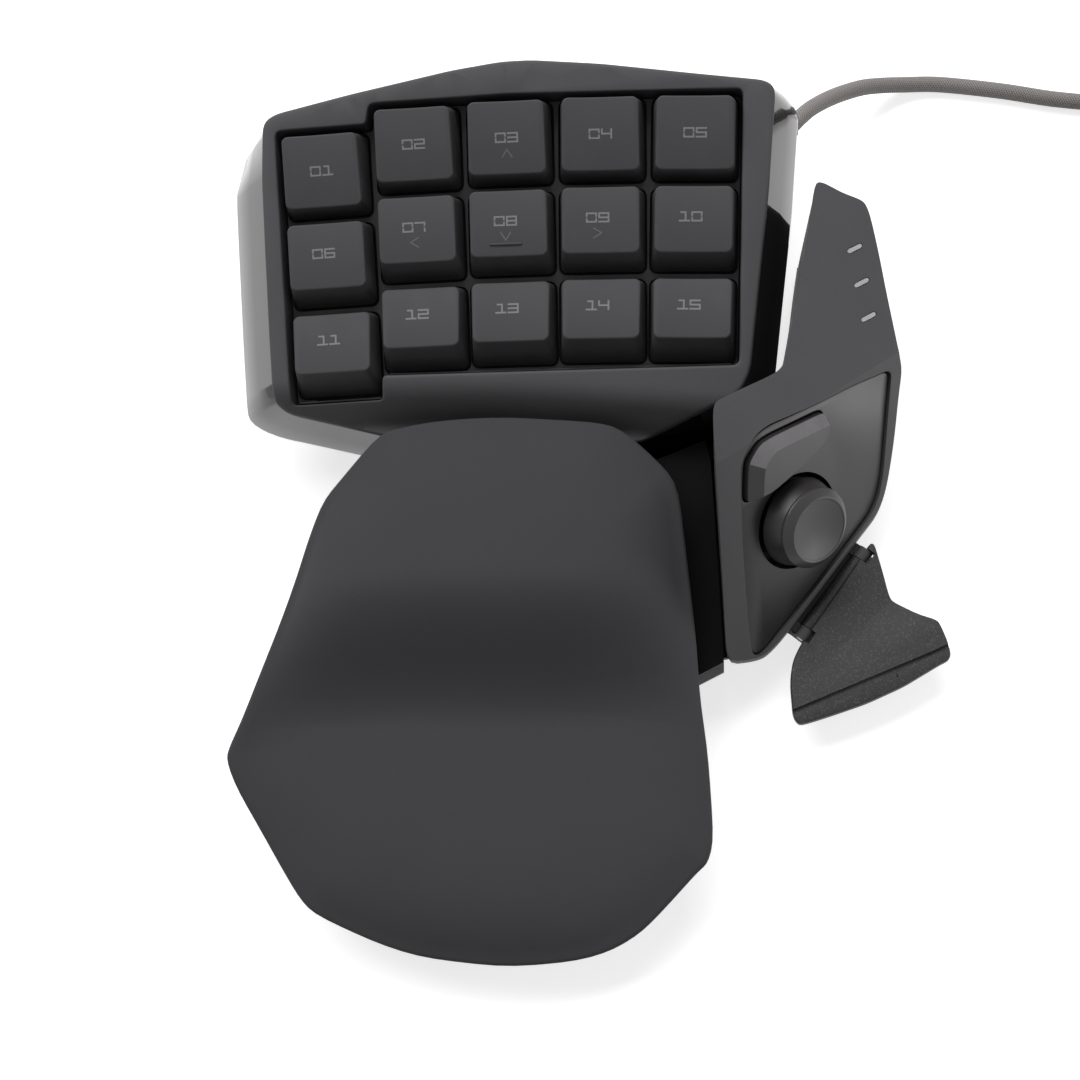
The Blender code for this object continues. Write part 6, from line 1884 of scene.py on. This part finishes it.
@dataclass
class Hinge:
    """The paddle's hinge on the wing's lower edge."""

    wing: ThumbWing
    wing_corner: int = 18
    offset: float = 2.6 * MM
    height: float = 6.8 * MM
    barrel_radius: float = 1.8 * MM
    barrel_length: float = 18.5 * MM
    side_gap: float = 0.15 * MM
    pin_radius: float = 0.8 * MM
    ear_width: float = 2.6 * MM
    ear_root: float = 0.4 * MM
    web_drop_share: float = 0.8
    web_rise_share: float = 0.5
    ridge_gap: float = 0.2 * MM
    ridge_width: float = 1.9 * MM
    ridge_drop: float = 3.0 * MM
    ridge_rise: float = 0.6 * MM
    ridge_round: float = 0.15 * MM
    ridge_end_share: float = 0.9
    shade_shelf_reach: float = 2.4 * MM

    def frame(self) -> Matrix:
        """The hinge's frame in the datum's: X along the axis and Y back towards the wing.

        Returns:
            The frame.
        """
        start, end = self.wing.outline()[self.wing_corner:self.wing_corner + 2]
        out = self.wing.panel_out()
        middle = (Vector(start) + Vector(end)) / 2 + out.xy.normalized() * self.offset
        along = UP.cross(out).normalized()
        return Matrix.Translation((middle.x, middle.y, self.height)) @ axes(along, UP.cross(along), UP)

    def ears(self) -> tuple[list[Shape], Shape]:
        """The two knuckles on their webs, and the bore through the knuckles.

        Returns:
            The closed shapes to join on, and the one to cut out.
        """
        made = []
        depth = self.offset + self.wing.wall + self.ear_root
        radius = self.barrel_radius
        half = self.ear_width / 2
        for side in (-1, 1):
            centre = side * (self.barrel_length / 2 + self.side_gap + half)
            place = self.frame() @ Matrix.Translation((centre, 0, 0)) @ LAID_ALONG_X
            made.append(moved(rod(radius, -half, half), place))
            web = block(self.ear_width, depth, -radius * self.web_drop_share, radius * self.web_rise_share,
                        (centre, depth / 2))
            made.append(moved(web, self.frame()))
        reach = self.barrel_length / 2 + self.ear_width + OVERRUN
        return made, moved(self.bore(reach), self.frame() @ LAID_ALONG_X)

    def bore(self, reach: float) -> Shape:
        """What the pin's bore takes away, to that reach on both sides."""
        return rod(self.pin_radius + SEAT_GAP, -reach, reach, BORE_SIDES)

    def build_ridge(self) -> None:
        """The dark bead along the wing's lower edge behind the barrel, and a dark shelf under the barrel
        that stands in for the shade in the gap there: painted shade.
        """
        near = self.barrel_radius + self.ridge_gap
        far = near + self.ridge_width
        half = self.barrel_length / 2 + self.side_gap + self.ear_width
        shade_shelf = -self.barrel_radius - self.ridge_gap
        # The shelf under the barrel is dark plastic put where there is only shade: painted shade
        profile = [(-self.shade_shelf_reach, -self.ridge_drop), (far, -self.ridge_drop), (far, self.ridge_rise),
                   (near, self.ridge_rise), (near, shade_shelf), (-self.shade_shelf_reach, shade_shelf)]
        bead = rounded(plate(profile, -half, half), above(self.ridge_end_share * half), self.ridge_round, 2)
        turn = Matrix(((0, 0, 1), (1, 0, 0), (0, 1, 0))).to_4x4()
        add_piece("hinge_bead", bead, self.wing.datum @ self.frame() @ turn, [INNER_ABS])


@dataclass
class Thumbstick:
    """The stick's skirted cap over its CAD shaft, gimbal ring and socket."""

    wing: ThumbWing
    pivot_depth: float = 4.6 * MM
    radius: float = 8.65 * MM
    height: float = 6.1 * MM
    skirt: float = 0.6 * MM
    skirt_radius: float = 9.5 * MM
    neck_radius: float = 8.2 * MM
    rim_drop: float = 1.6 * MM
    face_radius: float = 6.8 * MM
    dish: float = 0.6 * MM
    dish_drop: float = 0.16 * MM
    dish_share: float = 0.95
    dish_steps: int = 8
    sheet: float = 2.2 * MM
    skirt_steps: Outline = ((-0.2 * MM, 0), (0, 0.2 * MM), (-0.15 * MM, 0.8 * MM))
    neck_steps: Outline = ((0.25 * MM, -1.6 * MM), (0, -0.9 * MM))
    rim_steps: Outline = ((-0.25 * MM, -0.45 * MM), (0, -0.1 * MM), (-0.1 * MM, 0.25 * MM))
    face_steps: Outline = (
        (0.35 * MM, -0.08 * MM), (0.1 * MM, 0), (-0.15 * MM, -0.05 * MM), (-0.3 * MM, -0.16 * MM),
    )

    def build(self) -> None:
        """Turns the cap: hollow skirt, rolled rim, broad bevel and dished face."""
        crown = self.pivot_depth + self.height
        foot = self.pivot_depth - self.skirt
        under = crown - self.dish - self.sheet
        inner = self.neck_radius - self.sheet
        lip = crown - self.rim_drop
        profile = [(0, under), (inner, under), (inner, foot)]
        for radius, height, steps in (
                (self.skirt_radius, foot, self.skirt_steps), (self.neck_radius, lip, self.neck_steps),
                (self.radius, lip, self.rim_steps), (self.face_radius, crown, self.face_steps)):
            profile += [(radius + out, height + up) for out, up in steps]
        for i in range(1, self.dish_steps + 1):
            share = 1 - i / self.dish_steps
            depth = self.dish * (1 - share * share)
            profile.append((self.face_radius * self.dish_share * share, crown - self.dish_drop - depth))
        pivot = self.wing.panel_frame() @ Matrix.Translation((0, 0, -self.pivot_depth))
        add_piece("stick_cap", turned(profile), pivot, [SATIN_BUTTON], ["thumbstick_cap"],
                  "stick", sharp=25.0)
        for node in ("stick_shaft", "stick_gimbal_ring", "stick_socket"):
            dress_node(node, INNER_ABS)


LIP_CORNERS = slice(8, 15)
GROOVE_CORNERS = slice(9, 15)


@dataclass
class Paddle:
    """The broad thumb paddle: textured blade, groove, lip and hinge barrel."""

    wing: ThumbWing
    length: float = 41.7 * MM
    reach: float = 30.3 * MM
    top: float = 8.8 * MM
    sheet: float = 2.2 * MM
    lip: float = 4.2 * MM
    lip_width: float = 2.2 * MM
    groove: float = 0.9 * MM
    groove_depth: float = 0.8 * MM
    groove_overrun: float = 6.0 * MM
    plan_round: float = 2.0 * MM
    bridge_drop: float = 0.02 * MM
    edge: float = 0.45 * MM
    outline_shares: tuple[tuple[float, float], ...] = (
        (0.691, 0.086), (0.592, 0.257), (0.487, 0.426), (0.484, 0.472),
        (0.506, 0.653), (0.537, 0.772), (0.523, 0.818), (0.482, 0.908),
        (0.434, 0.987), (0.403, 1.0), (0.362, 0.970), (0.161, 0.858),
        (-0.019, 0.723), (-0.182, 0.571), (-0.293, 0.462), (-0.309, 0.429),
        (-0.293, 0.370), (-0.233, 0.300), (-0.163, 0.218), (-0.072, 0.146),
        (0.020, 0.120),
    )

    def plan(self, hinge: Hinge) -> list[tuple[float, float]]:
        """The blade's edge in the hinge's frame.

        Args:
            hinge: The hinge that the blade hangs from.

        Returns:
            The edge's corners.
        """
        start = Vector(self.wing.outline()[hinge.wing_corner])
        shift = (hinge.frame().inverted() @ start.to_3d()).x
        return [(x * self.length + shift, hinge.offset - y * self.reach) for x, y in self.outline_shares]

    def groove_plan(self, plan: Outline) -> list[tuple[float, float]]:
        """The band that the groove cuts along the far edge and out through both sides.

        Args:
            plan: The blade's edge.

        Returns:
            The band's corners.
        """
        edge = [Vector(point) for point in plan[GROOVE_CORNERS]]
        edge = [edge[0] * 2 - edge[1], *edge, edge[-1] * 2 - edge[-2]]
        near, far = [], []
        for before, point, after in zip(edge, edge[1:], edge[2:]):
            run = (after - before).normalized()
            inwards = Vector((-run.y, run.x))
            inwards *= 1 if inwards.y > 0 else -1
            near.append(point + inwards * self.lip_width)
            far.append(point + inwards * (self.lip_width + self.groove))
        for line in (near, far):
            line[0] += (line[0] - line[1]).normalized() * self.groove_overrun
            line[-1] += (line[-1] - line[-2]).normalized() * self.groove_overrun
        return [tuple(point) for point in near + far[::-1]]

    def build(self) -> None:
        """Makes the blade and its hinge barrel."""
        hinge = Hinge(self.wing)
        top = self.top - hinge.height
        plan = self.plan(hinge)
        blade = plate(softened(plan, self.plan_round), top - self.sheet, top)
        rounded(blade, above(top - FACE_BAND), self.edge)
        inner = grown(plan, -self.lip_width)[LIP_CORNERS]
        outer = grown(plan, -self.edge)[LIP_CORNERS]
        lip = plate(outer + inner[::-1], top - self.lip, top - self.sheet / 2)
        groove = plate(self.groove_plan(plan), top - self.groove_depth, top + OVERRUN)
        half = hinge.barrel_length / 2
        barrel = moved(rod(hinge.barrel_radius, -half, half), LAID_ALONG_X)
        bridge = block(hinge.barrel_length, hinge.offset, -hinge.pin_radius,
                       hinge.barrel_radius - self.bridge_drop, (0, -hinge.offset))
        centre = half + hinge.side_gap + hinge.ear_width / 2
        room = (hinge.ear_width + 2 * hinge.side_gap, 2 * (hinge.barrel_radius + RUN_GAP))
        notches = [block(*room, -self.lip, self.lip, (side * centre, 0)) for side in (-1, 1)]
        bore = moved(hinge.bore(half + OVERRUN), LAID_ALONG_X)
        shape = combined(blade, [lip, barrel, bridge], [groove, *notches, bore])
        add_piece("paddle_blade", shape, self.wing.datum @ hinge.frame(), [SPARKLE_ABS],
                  ["thumb_paddle"], "paddle", rim=FINE_RIM)
        dress_node("paddle_pin", STEEL)


CORD_FLOOR = 1.9 * MM
COIL_FLOOR = 3.2 * MM
CORD_ROUTE = (
    Vector((0.0598, 0.0286, 0.0213)), Vector((0.0622, 0.0315, 0.0204)),
    Vector((0.0652, 0.0350, 0.0180)), Vector((0.0702, 0.0398, 0.0132)),
    Vector((0.0764, 0.0441, 0.0083)), Vector((0.0812, 0.0461, 0.0052)),
    Vector((0.0872, 0.0474, 0.0026)), Vector((0.0952, 0.0474, CORD_FLOOR)),
    Vector((0.1085, 0.0452, CORD_FLOOR)), Vector((0.1215, 0.0424, CORD_FLOOR)),
    Vector((0.1335, 0.0412, CORD_FLOOR)), Vector((0.1420, 0.0440, CORD_FLOOR)),
    Vector((0.1500, 0.0482, 0.0026)), Vector((0.1580, 0.0496, COIL_FLOOR)),
    Vector((0.1650, 0.0496, COIL_FLOOR)),
)


@dataclass
class StrainRelief:
    """The ribbed rubber sleeve where the cord leaves the housing."""

    datum: Matrix
    length: float = 11.0 * MM
    root_radius: float = 3.2 * MM
    tip_radius: float = 2.4 * MM
    ribs: int = 5
    root_part: int = 3
    rib_depth: float = 0.35 * MM
    rib_shares: tuple[tuple[int, float], ...] = ((1, 0.2), (1, 0.45), (0, 0.6), (0, 0.95))
    sides: int = 40

    def matrix(self) -> Matrix:
        """The sleeve's frame, pointing out of the housing along the cord's first stretch.

        Returns:
            The frame, in the row frame.
        """
        start, after = CORD_ROUTE[:2]
        out = (after - start).normalized()
        across = UP.cross(out).normalized()
        place = Matrix.Translation(start - out * (self.length + SEAT_GAP))
        return self.datum @ place @ axes(across, out.cross(across), out)

    def build(self) -> bpy.types.Object:
        """Turns the sleeve with its ribs.

        Returns:
            The new object.
        """
        root = self.length / self.root_part
        profile = [(0, 0), (self.root_radius, 0), (self.root_radius, root)]
        step = (self.length - root) / self.ribs
        for rib in range(self.ribs):
            start = root + rib * step
            radius = self.root_radius + (self.tip_radius - self.root_radius) * (rib + 1) / self.ribs
            profile += [(radius - self.rib_depth * deep, start + step * share)
                        for deep, share in self.rib_shares]
        profile.append((0, self.length))
        return add_piece("cord_sleeve", turned(profile, self.sides), self.matrix(), [RUBBER],
                         ["strain_relief"], sharp=40.0)


@dataclass
class CordSet:
    """The braided cord from the housing to its coil, with the strap and the plug."""

    datum: Matrix
    diameter: float = 3.6 * MM
    sides: int = 14
    run_steps: int = 110
    route_steps: int = 40
    coil_radius: float = 21.0 * MM
    turns: int = 12
    layers: int = 4
    loop_points: int = 40
    spacing: float = 4.1 * MM
    climb_half: float = 0.25
    entry: float = 6.0 * MM
    tail_length: float = 46.0 * MM
    tail_height: float = 4.0 * MM
    tail_steps: int = 20
    tail_level_share: float = 0.34
    tail_end_share: float = 0.10
    strap_width: float = 8.0 * MM
    strap_sheet: float = 0.9 * MM
    strap_gap: float = 0.5 * MM
    strap_low: float = 0.05 * MM
    strap_round: float = 1.6 * MM
    strap_rim: float = 0.15 * MM
    plug_length: float = 20.0 * MM
    plug_width: float = 14.0 * MM
    plug_height: float = 7.2 * MM
    plug_tail: float = 8.0 * MM
    plug_round: float = 1.8 * MM
    tail_share: float = 1.4
    grip_steps: tuple[tuple[float, float, float, float], ...] = (
        (0, 1, 1, 1.7 * MM), (0.6, 1.1, 1.05, 1.8 * MM),
    )
    neck_shares: tuple[float, float] = (0.86, 0.9)
    end_steps: tuple[tuple[float, float, float], ...] = (
        (0.6 * MM, 0, 1.8 * MM), (0, 1.0 * MM, 1.6 * MM),
    )
    plug_ridges: int = 6
    ridge_shares: tuple[float, float] = (0.12, 0.5)
    ridge_steps: Outline = ((0, 0), (0.5 * MM, 0.5 * MM), (0.9 * MM, 0.5 * MM), (1.3 * MM, 0))
    shell_length: float = 11.8 * MM
    shell_width: float = 12.0 * MM
    shell_height: float = 4.5 * MM
    shell_wall: float = 0.4 * MM
    shell_rounds: tuple[float, float] = (0.7 * MM, 0.5 * MM)
    window_width: float = 2.0 * MM
    window_place: float = 2.6 * MM
    window_ends: tuple[float, float] = (5.0 * MM, 7.4 * MM)

    def run_points(self) -> list[Vector]:
        """The free stretch: evenly spread points of the smooth curve through the route.

        Returns:
            The points, from the housing on.
        """
        fine = [catmull(CORD_ROUTE, segment, i / self.route_steps)
                for segment in range(len(CORD_ROUTE) - 1) for i in range(self.route_steps)]
        fine.append(CORD_ROUTE[-1].copy())
        lengths = [0.0]
        for a, b in zip(fine, fine[1:]):
            lengths.append(lengths[-1] + (b - a).length)
        result = []
        place = 0
        for i in range(self.run_steps):
            target = lengths[-1] * i / (self.run_steps - 1)
            while place < len(fine) - 2 and lengths[place + 1] < target:
                place += 1
            share = (target - lengths[place]) / (lengths[place + 1] - lengths[place])
            result.append(fine[place].lerp(fine[place + 1], share))
        return result

    def coil_centre(self) -> Vector:
        """The middle of the coil on the floor.

        Returns:
            The point, in the datum's frame.
        """
        end = CORD_ROUTE[-1]
        outermost = self.coil_radius + self.spacing * self.turns / self.layers / 2
        return Vector((end.x + self.entry + SEAT_GAP, end.y - outermost, 0))

    def coil_points(self) -> list[Vector]:
        """Loops that spiral in and out again, climbing a layer at each reversal, and the tail.

        Returns:
            The points, in order along the cord.
        """
        centre = self.coil_centre()
        per_layer = self.turns / self.layers
        widest = self.coil_radius + self.spacing * per_layer / 2
        points = []
        for i in range(self.turns * self.loop_points + 1):
            turn = i / self.loop_points
            layer = min(int(turn // per_layer), self.layers - 1)
            within = turn - layer * per_layer
            wander = within if layer % 2 == 0 else per_layer - within
            climbs = sum(eased(per_layer * k - self.climb_half, per_layer * k + self.climb_half, turn)
                         for k in range(1, self.layers))
            radius = widest - self.spacing * wander
            angle = pi / 2 - 2 * pi * turn
            x, y = centre.x + radius * cos(angle), centre.y + radius * sin(angle)
            points.append(Vector((x, y, COIL_FLOOR + self.spacing * climbs)))
        last = points[-1]
        for i in range(1, self.tail_steps + 1):
            share = i / self.tail_steps
            drop = (last.z - self.tail_height) * eased(self.tail_level_share, 1 - self.tail_end_share, share)
            points.append(last + Vector((self.tail_length * share, 0, -drop)))
        return points

    def tube(self, points: Sequence[Vector]) -> Shape:
        """A round tube through the points, with a map round it and along it.

        Args:
            points: The cord's middle line, in order.

        Returns:
            The closed shape.
        """
        rings = []
        along = [0.0]
        side = Vector((0, 0, 1))
        for i, point in enumerate(points):
            ahead = (points[min(i + 1, len(points) - 1)] - points[max(i - 1, 0)]).normalized()
            side = (side - ahead * side.dot(ahead)).normalized()
            over = ahead.cross(side)
            angles = [2 * pi * k / self.sides for k in range(self.sides)]
            rings.append([point + (side * cos(angle) + over * sin(angle)) * self.diameter / 2
                          for angle in angles])
            if i:
                along.append(along[-1] + (point - points[i - 1]).length)
        shape, rows = swept(rings)
        spots = {corner: (k, along[i]) for i, row in enumerate(rows) for k, corner in enumerate(row)}
        layer = shape.loops.layers.uv.new("around_along")
        for face in shape.faces:
            crosses = {0, self.sides - 1} <= {spots[corner][0] for corner in face.verts}
            for loop in face.loops:
                k, run = spots[loop.vert]
                k = self.sides if crosses and k == 0 else k
                loop[layer].uv = (k / self.sides, run)
        return shape

    def build_strap(self) -> bpy.types.Object:
        """The woven strap round the bundle.

        Returns:
            The new object.
        """
        half = self.spacing * self.turns / self.layers / 2 + self.diameter / 2
        inner = self.coil_radius - half
        inner -= inner - sqrt(inner * inner - self.strap_width ** 2 / 4)
        outer = self.coil_radius + half
        top = COIL_FLOOR + self.spacing * (self.layers - 1) + self.diameter / 2
        low, gap, sheet = self.strap_low, self.strap_gap, self.strap_sheet
        left, right, high = inner - gap, outer + gap, top + gap
        window = [(left, sheet), (right, sheet), (right, high), (left, high)]
        left, right, high = left - sheet, right + sheet, high + sheet
        outside = [(left, low), (right, low), (right, high), (left, high)]
        centre = self.coil_centre()
        rings = []
        for plan, width in ((outside, self.strap_width), (outside, -self.strap_width),
                            (window, -self.strap_width), (window, self.strap_width)):
            edge = softened(plan, self.strap_round)
            rings.append([Vector((x + centre.x, centre.y - width / 2, z)) for x, z in edge])
        shape, _ = swept(rings, closed=True)
        return add_piece("cord_strap", shape, self.datum, [STRAP], ["cord_tie"],
                         rim=self.strap_rim)

    def build_plug(self, points: Sequence[Vector]) -> list[bpy.types.Object]:
        """The moulded grip with its finger ridges and the plated shell.

        Args:
            points: The cord's middle line, whose end carries the plug.

        Returns:
            The grip and the shell.
        """
        heading = (points[-1] - points[-2]).normalized()
        place = self.datum @ Matrix.Translation(points[-1] + heading * SEAT_GAP)
        place = place @ axes(UP.cross(heading), UP, heading)
        tail, width, height = self.diameter * self.tail_share, self.plug_width, self.plug_height
        stations = [(self.plug_tail * along, tail * across, tail * up, curve)
                    for along, across, up, curve in self.grip_steps]
        stations.append((self.plug_tail, width * self.neck_shares[0], height * self.neck_shares[1],
                         self.plug_round))
        first, reach = self.ridge_shares
        for ridge in range(self.plug_ridges):
            z = self.plug_tail + self.plug_length * (first + reach * ridge / self.plug_ridges)
            stations += [(z + shift, width - thin, height - thin, self.plug_round)
                         for shift, thin in self.ridge_steps]
        far = self.plug_tail + self.plug_length
        stations += [(far - back, width - thin, height - thin, curve)
                     for back, thin, curve in self.end_steps]
        grip, _ = swept([ring_at(softened(oblong(wide, deep), curve), z)
                         for z, wide, deep, curve in stations])
        grip_piece = add_piece("plug_body", grip, place, [RUBBER], ["plug_grip"], sharp=40.0)
        start = far + SEAT_GAP
        end = start + self.shell_length
        around, bore_round = self.shell_rounds
        sheet = 2 * self.shell_wall
        outer = plate(softened(oblong(self.shell_width, self.shell_height), around, 3), start, end)
        inner = oblong(self.shell_width - sheet, self.shell_height - sheet)
        hollow = plate(softened(inner, bore_round, 3), start + sheet, end + OVERRUN)
        low, high = (start + share for share in self.window_ends)
        windows = [block(self.window_width, 2 * self.shell_height, low, high, (side * self.window_place, 0))
                   for side in (-1, 1)]
        metal = combined(outer, cuts=[hollow, *windows])
        shell_piece = add_piece("plug_metal", metal, place, [PLATED], ["plug_shell"])
        return [grip_piece, shell_piece]

    def build(self) -> None:
        sleeve = StrainRelief(self.datum).build()
        points = self.run_points() + self.coil_points()
        world = [self.datum @ point for point in points]
        cord = add_piece("cord", self.tube(world), Matrix(), [BRAID], ["cord_run", "cord_coil"],
                         sharp=60.0)
        strap = self.build_strap()
        plug = self.build_plug(points)


class InnerParts:
    """The pieces that keep their solids: the stack under the keys, the base, its feet and screws."""

    FINISHES = {
        "key_frame": (INNER_ABS, Slot.INNER), "dome_sheet": (SILICONE, Slot.SILICONE),
        "membrane_circuit": (FILM, Slot.FILM), "backing_plate": (STEEL, Slot.STEEL),
        "main_circuit_board": (BOARD, Slot.BOARD), "base_plate": (INNER_ABS, Slot.INNER),
        # The base cover takes the base black with its painted shade
        "base_cover": (BASE_BLACK_PAINTED_SHADE, Slot.GLOSS), "thumb_button_switch": (INNER_ABS, Slot.INNER),
        "thumb_circuit_board": (BOARD, Slot.BOARD),
    }

    def build(self) -> None:
        """Dresses each kept solid."""
        for node, (finish, slot) in self.FINISHES.items():
            dress_node(node, finish)
        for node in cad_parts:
            if node.startswith("foot_"):
                dress_node(node, RUBBER)
            elif node.startswith("case_screw_"):
                dress_node(node, STEEL)


@dataclass
class Studio:
    """Pale floor, soft lamps and the camera of the photograph."""

    datum: Matrix
    floor_size: float = 6.0
    floor_drop: float = 0.02 * MM
    camera_place: tuple[float, float, float] = (41.326 * MM, -171.668 * MM, 424.58 * MM)
    camera_back: tuple[float, float, float] = (0.0872, -0.2578, 0.9623)
    camera_up: tuple[float, float, float] = (0.023, 0.966, 0.257)
    camera_lens: float = 66.67
    camera_sensor: float = 36.0
    camera_near: float = 10.0 * MM
    ambient: float = 0.2
    background: str = "#ffffff"
    paper: str = "#d8d8d8"
    paper_mm: float = 40.0
    paper_depth: float = 0.1 * MM
    paper_glow: float = 0.72
    overhead: tuple[float, float, float] = (-0.30, 0.80, 1.20)
    overhead_size: tuple[float, float] = (1.8, 0.6)
    overhead_watts: float = 23.0
    low_lamp: tuple[float, float, float] = (0.27, -0.03, 0.05)
    low_lamp_size: tuple[float, float] = (0.12, 0.08)
    low_lamp_watts: float = 0.16

    def build_floor(self) -> None:
        """A white floor that keeps the object's shadow."""
        shape = bmesh.new()
        bmesh.ops.create_grid(shape, x_segments=1, y_segments=1, size=self.floor_size / 2)
        bmesh.ops.translate(shape, verts=shape.verts, vec=(0, 0, -self.floor_drop))
        mesh = mesh_from("studio_floor", shape)
        made = bpy.data.materials.new("white_paper_floor")
        made.use_nodes = True
        tree = made.node_tree
        shader = tree.nodes["Principled BSDF"]
        shader.inputs["Base Color"].default_value = linear(self.paper)
        shader.inputs["Roughness"].default_value = 0.9
        shader.inputs["Specular IOR Level"].default_value = 0.0
        paper = add_node(tree, "ShaderNodeTexNoise", {"Scale": per_metre(self.paper_mm)},
                         {"Vector": add_node(tree, "ShaderNodeTexCoord").outputs["Object"]})
        bump = add_node(tree, "ShaderNodeBump", {"Strength": 0.05, "Distance": self.paper_depth},
                        {"Height": paper.outputs["Fac"]})
        tree.links.new(bump.outputs["Normal"], shader.inputs["Normal"])
        tree.links.new(self.seen_rays(tree, 0.0, self.paper_glow), shader.inputs["Emission Strength"])
        shader.inputs["Emission Color"].default_value = linear(self.background)
        mesh.materials.append(made)
        linked("studio_floor", mesh)

    def seen_rays(self, tree: bpy.types.NodeTree, unseen: float, seen: float) -> bpy.types.NodeSocket:
        """A strength for rays from the camera or from glossy and clear surfaces, and one for the rest.

        Args:
            tree: The floor's or the world's node tree.
            unseen: Strength for the other rays.
            seen: Strength for the rays that are seen.

        Returns:
            The strength's socket.
        """
        path = add_node(tree, "ShaderNodeLightPath")
        first = add_node(tree, "ShaderNodeMath", {"operation": "MAXIMUM"},
                         {0: path.outputs["Is Camera Ray"], 1: path.outputs["Is Glossy Ray"]})
        second = add_node(tree, "ShaderNodeMath", {"operation": "MAXIMUM"},
                          {0: first.outputs[0], 1: path.outputs["Is Transmission Ray"]})
        strength = add_node(tree, "ShaderNodeMapRange", {"To Min": unseen, "To Max": seen},
                            {"Value": second.outputs[0]})
        return strength.outputs["Result"]

    def build_world(self) -> None:
        """A white surround that lights the object only a little."""
        world = bpy.data.worlds.new("studio")
        world.use_nodes = True
        tree = world.node_tree
        surround = tree.nodes["Background"]
        surround.inputs["Color"].default_value = linear(self.background)
        tree.links.new(self.seen_rays(tree, self.ambient, 1.0), surround.inputs["Strength"])
        bpy.context.scene.world = world

    def add_lamp(self, name: str, place: Sequence[float], size: Sequence[float], watts: float) -> None:
        """A soft lamp that faces the keypad.

        Args:
            name: The lamp's name.
            place: Its place in the room.
            size: Its width and height.
            watts: Its power.
        """
        lamp = bpy.data.lights.new(name, "AREA")
        lamp.shape = "RECTANGLE"
        lamp.size, lamp.size_y = size
        lamp.energy = watts
        thing = linked(name, lamp)
        thing.location = place
        thing.rotation_mode = "QUATERNION"
        thing.rotation_quaternion = (-Vector(place)).to_track_quat("-Z", "Y")

    def build_camera(self) -> None:
        """The camera that the photograph was taken with."""
        back = Vector(self.camera_back).normalized()
        right = Vector(self.camera_up).cross(back).normalized()
        camera = linked("camera", bpy.data.cameras.new("camera"))
        camera.data.lens = self.camera_lens
        camera.data.sensor_width = self.camera_sensor
        camera.data.clip_start = self.camera_near
        camera.matrix_world = (self.datum @ Matrix.Translation(self.camera_place)
                               @ axes(right, back.cross(right), back))
        bpy.context.scene.camera = camera

    def build(self) -> None:
        """Sets up floor, surround, lamps and camera."""
        bpy.context.scene.view_settings.view_transform = "Standard"
        self.build_floor()
        self.build_world()
        self.add_lamp("overhead", self.overhead, self.overhead_size, self.overhead_watts)
        self.add_lamp("right_low", self.low_lamp, self.low_lamp_size, self.low_lamp_watts)
        self.build_camera()


LATCH_PLACE = (-11.0 * MM, -108.5 * MM)


def find_datum() -> Matrix:
    """The datum's place in the row frame, found from the latch button's known place on the datum.

    Returns:
        The datum's frame.
    """
    low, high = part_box("palm_latch_button")
    centre = (low + high) / 2
    return Matrix.Translation((centre.x - LATCH_PLACE[0], centre.y - LATCH_PLACE[1], 0))


def main() -> None:
    """Builds every sub-assembly in order."""
    logging.basicConfig(level=logging.INFO, format="%(name)s: %(message)s")
    datum = find_datum()
    deck = Deck()
    wing = ThumbWing(datum)
    Studio(datum).build()
    CordSet(datum).build()
    KeyDeck(deck, datum).build()
    CaseShell(deck, datum).build()
    PalmRest(datum).build()
    wing.build()
    Thumbstick(wing).build()
    Paddle(wing).build()
    InnerParts().build()
    LOG.info("sizes written")


if __name__ == "__main__":
    main()
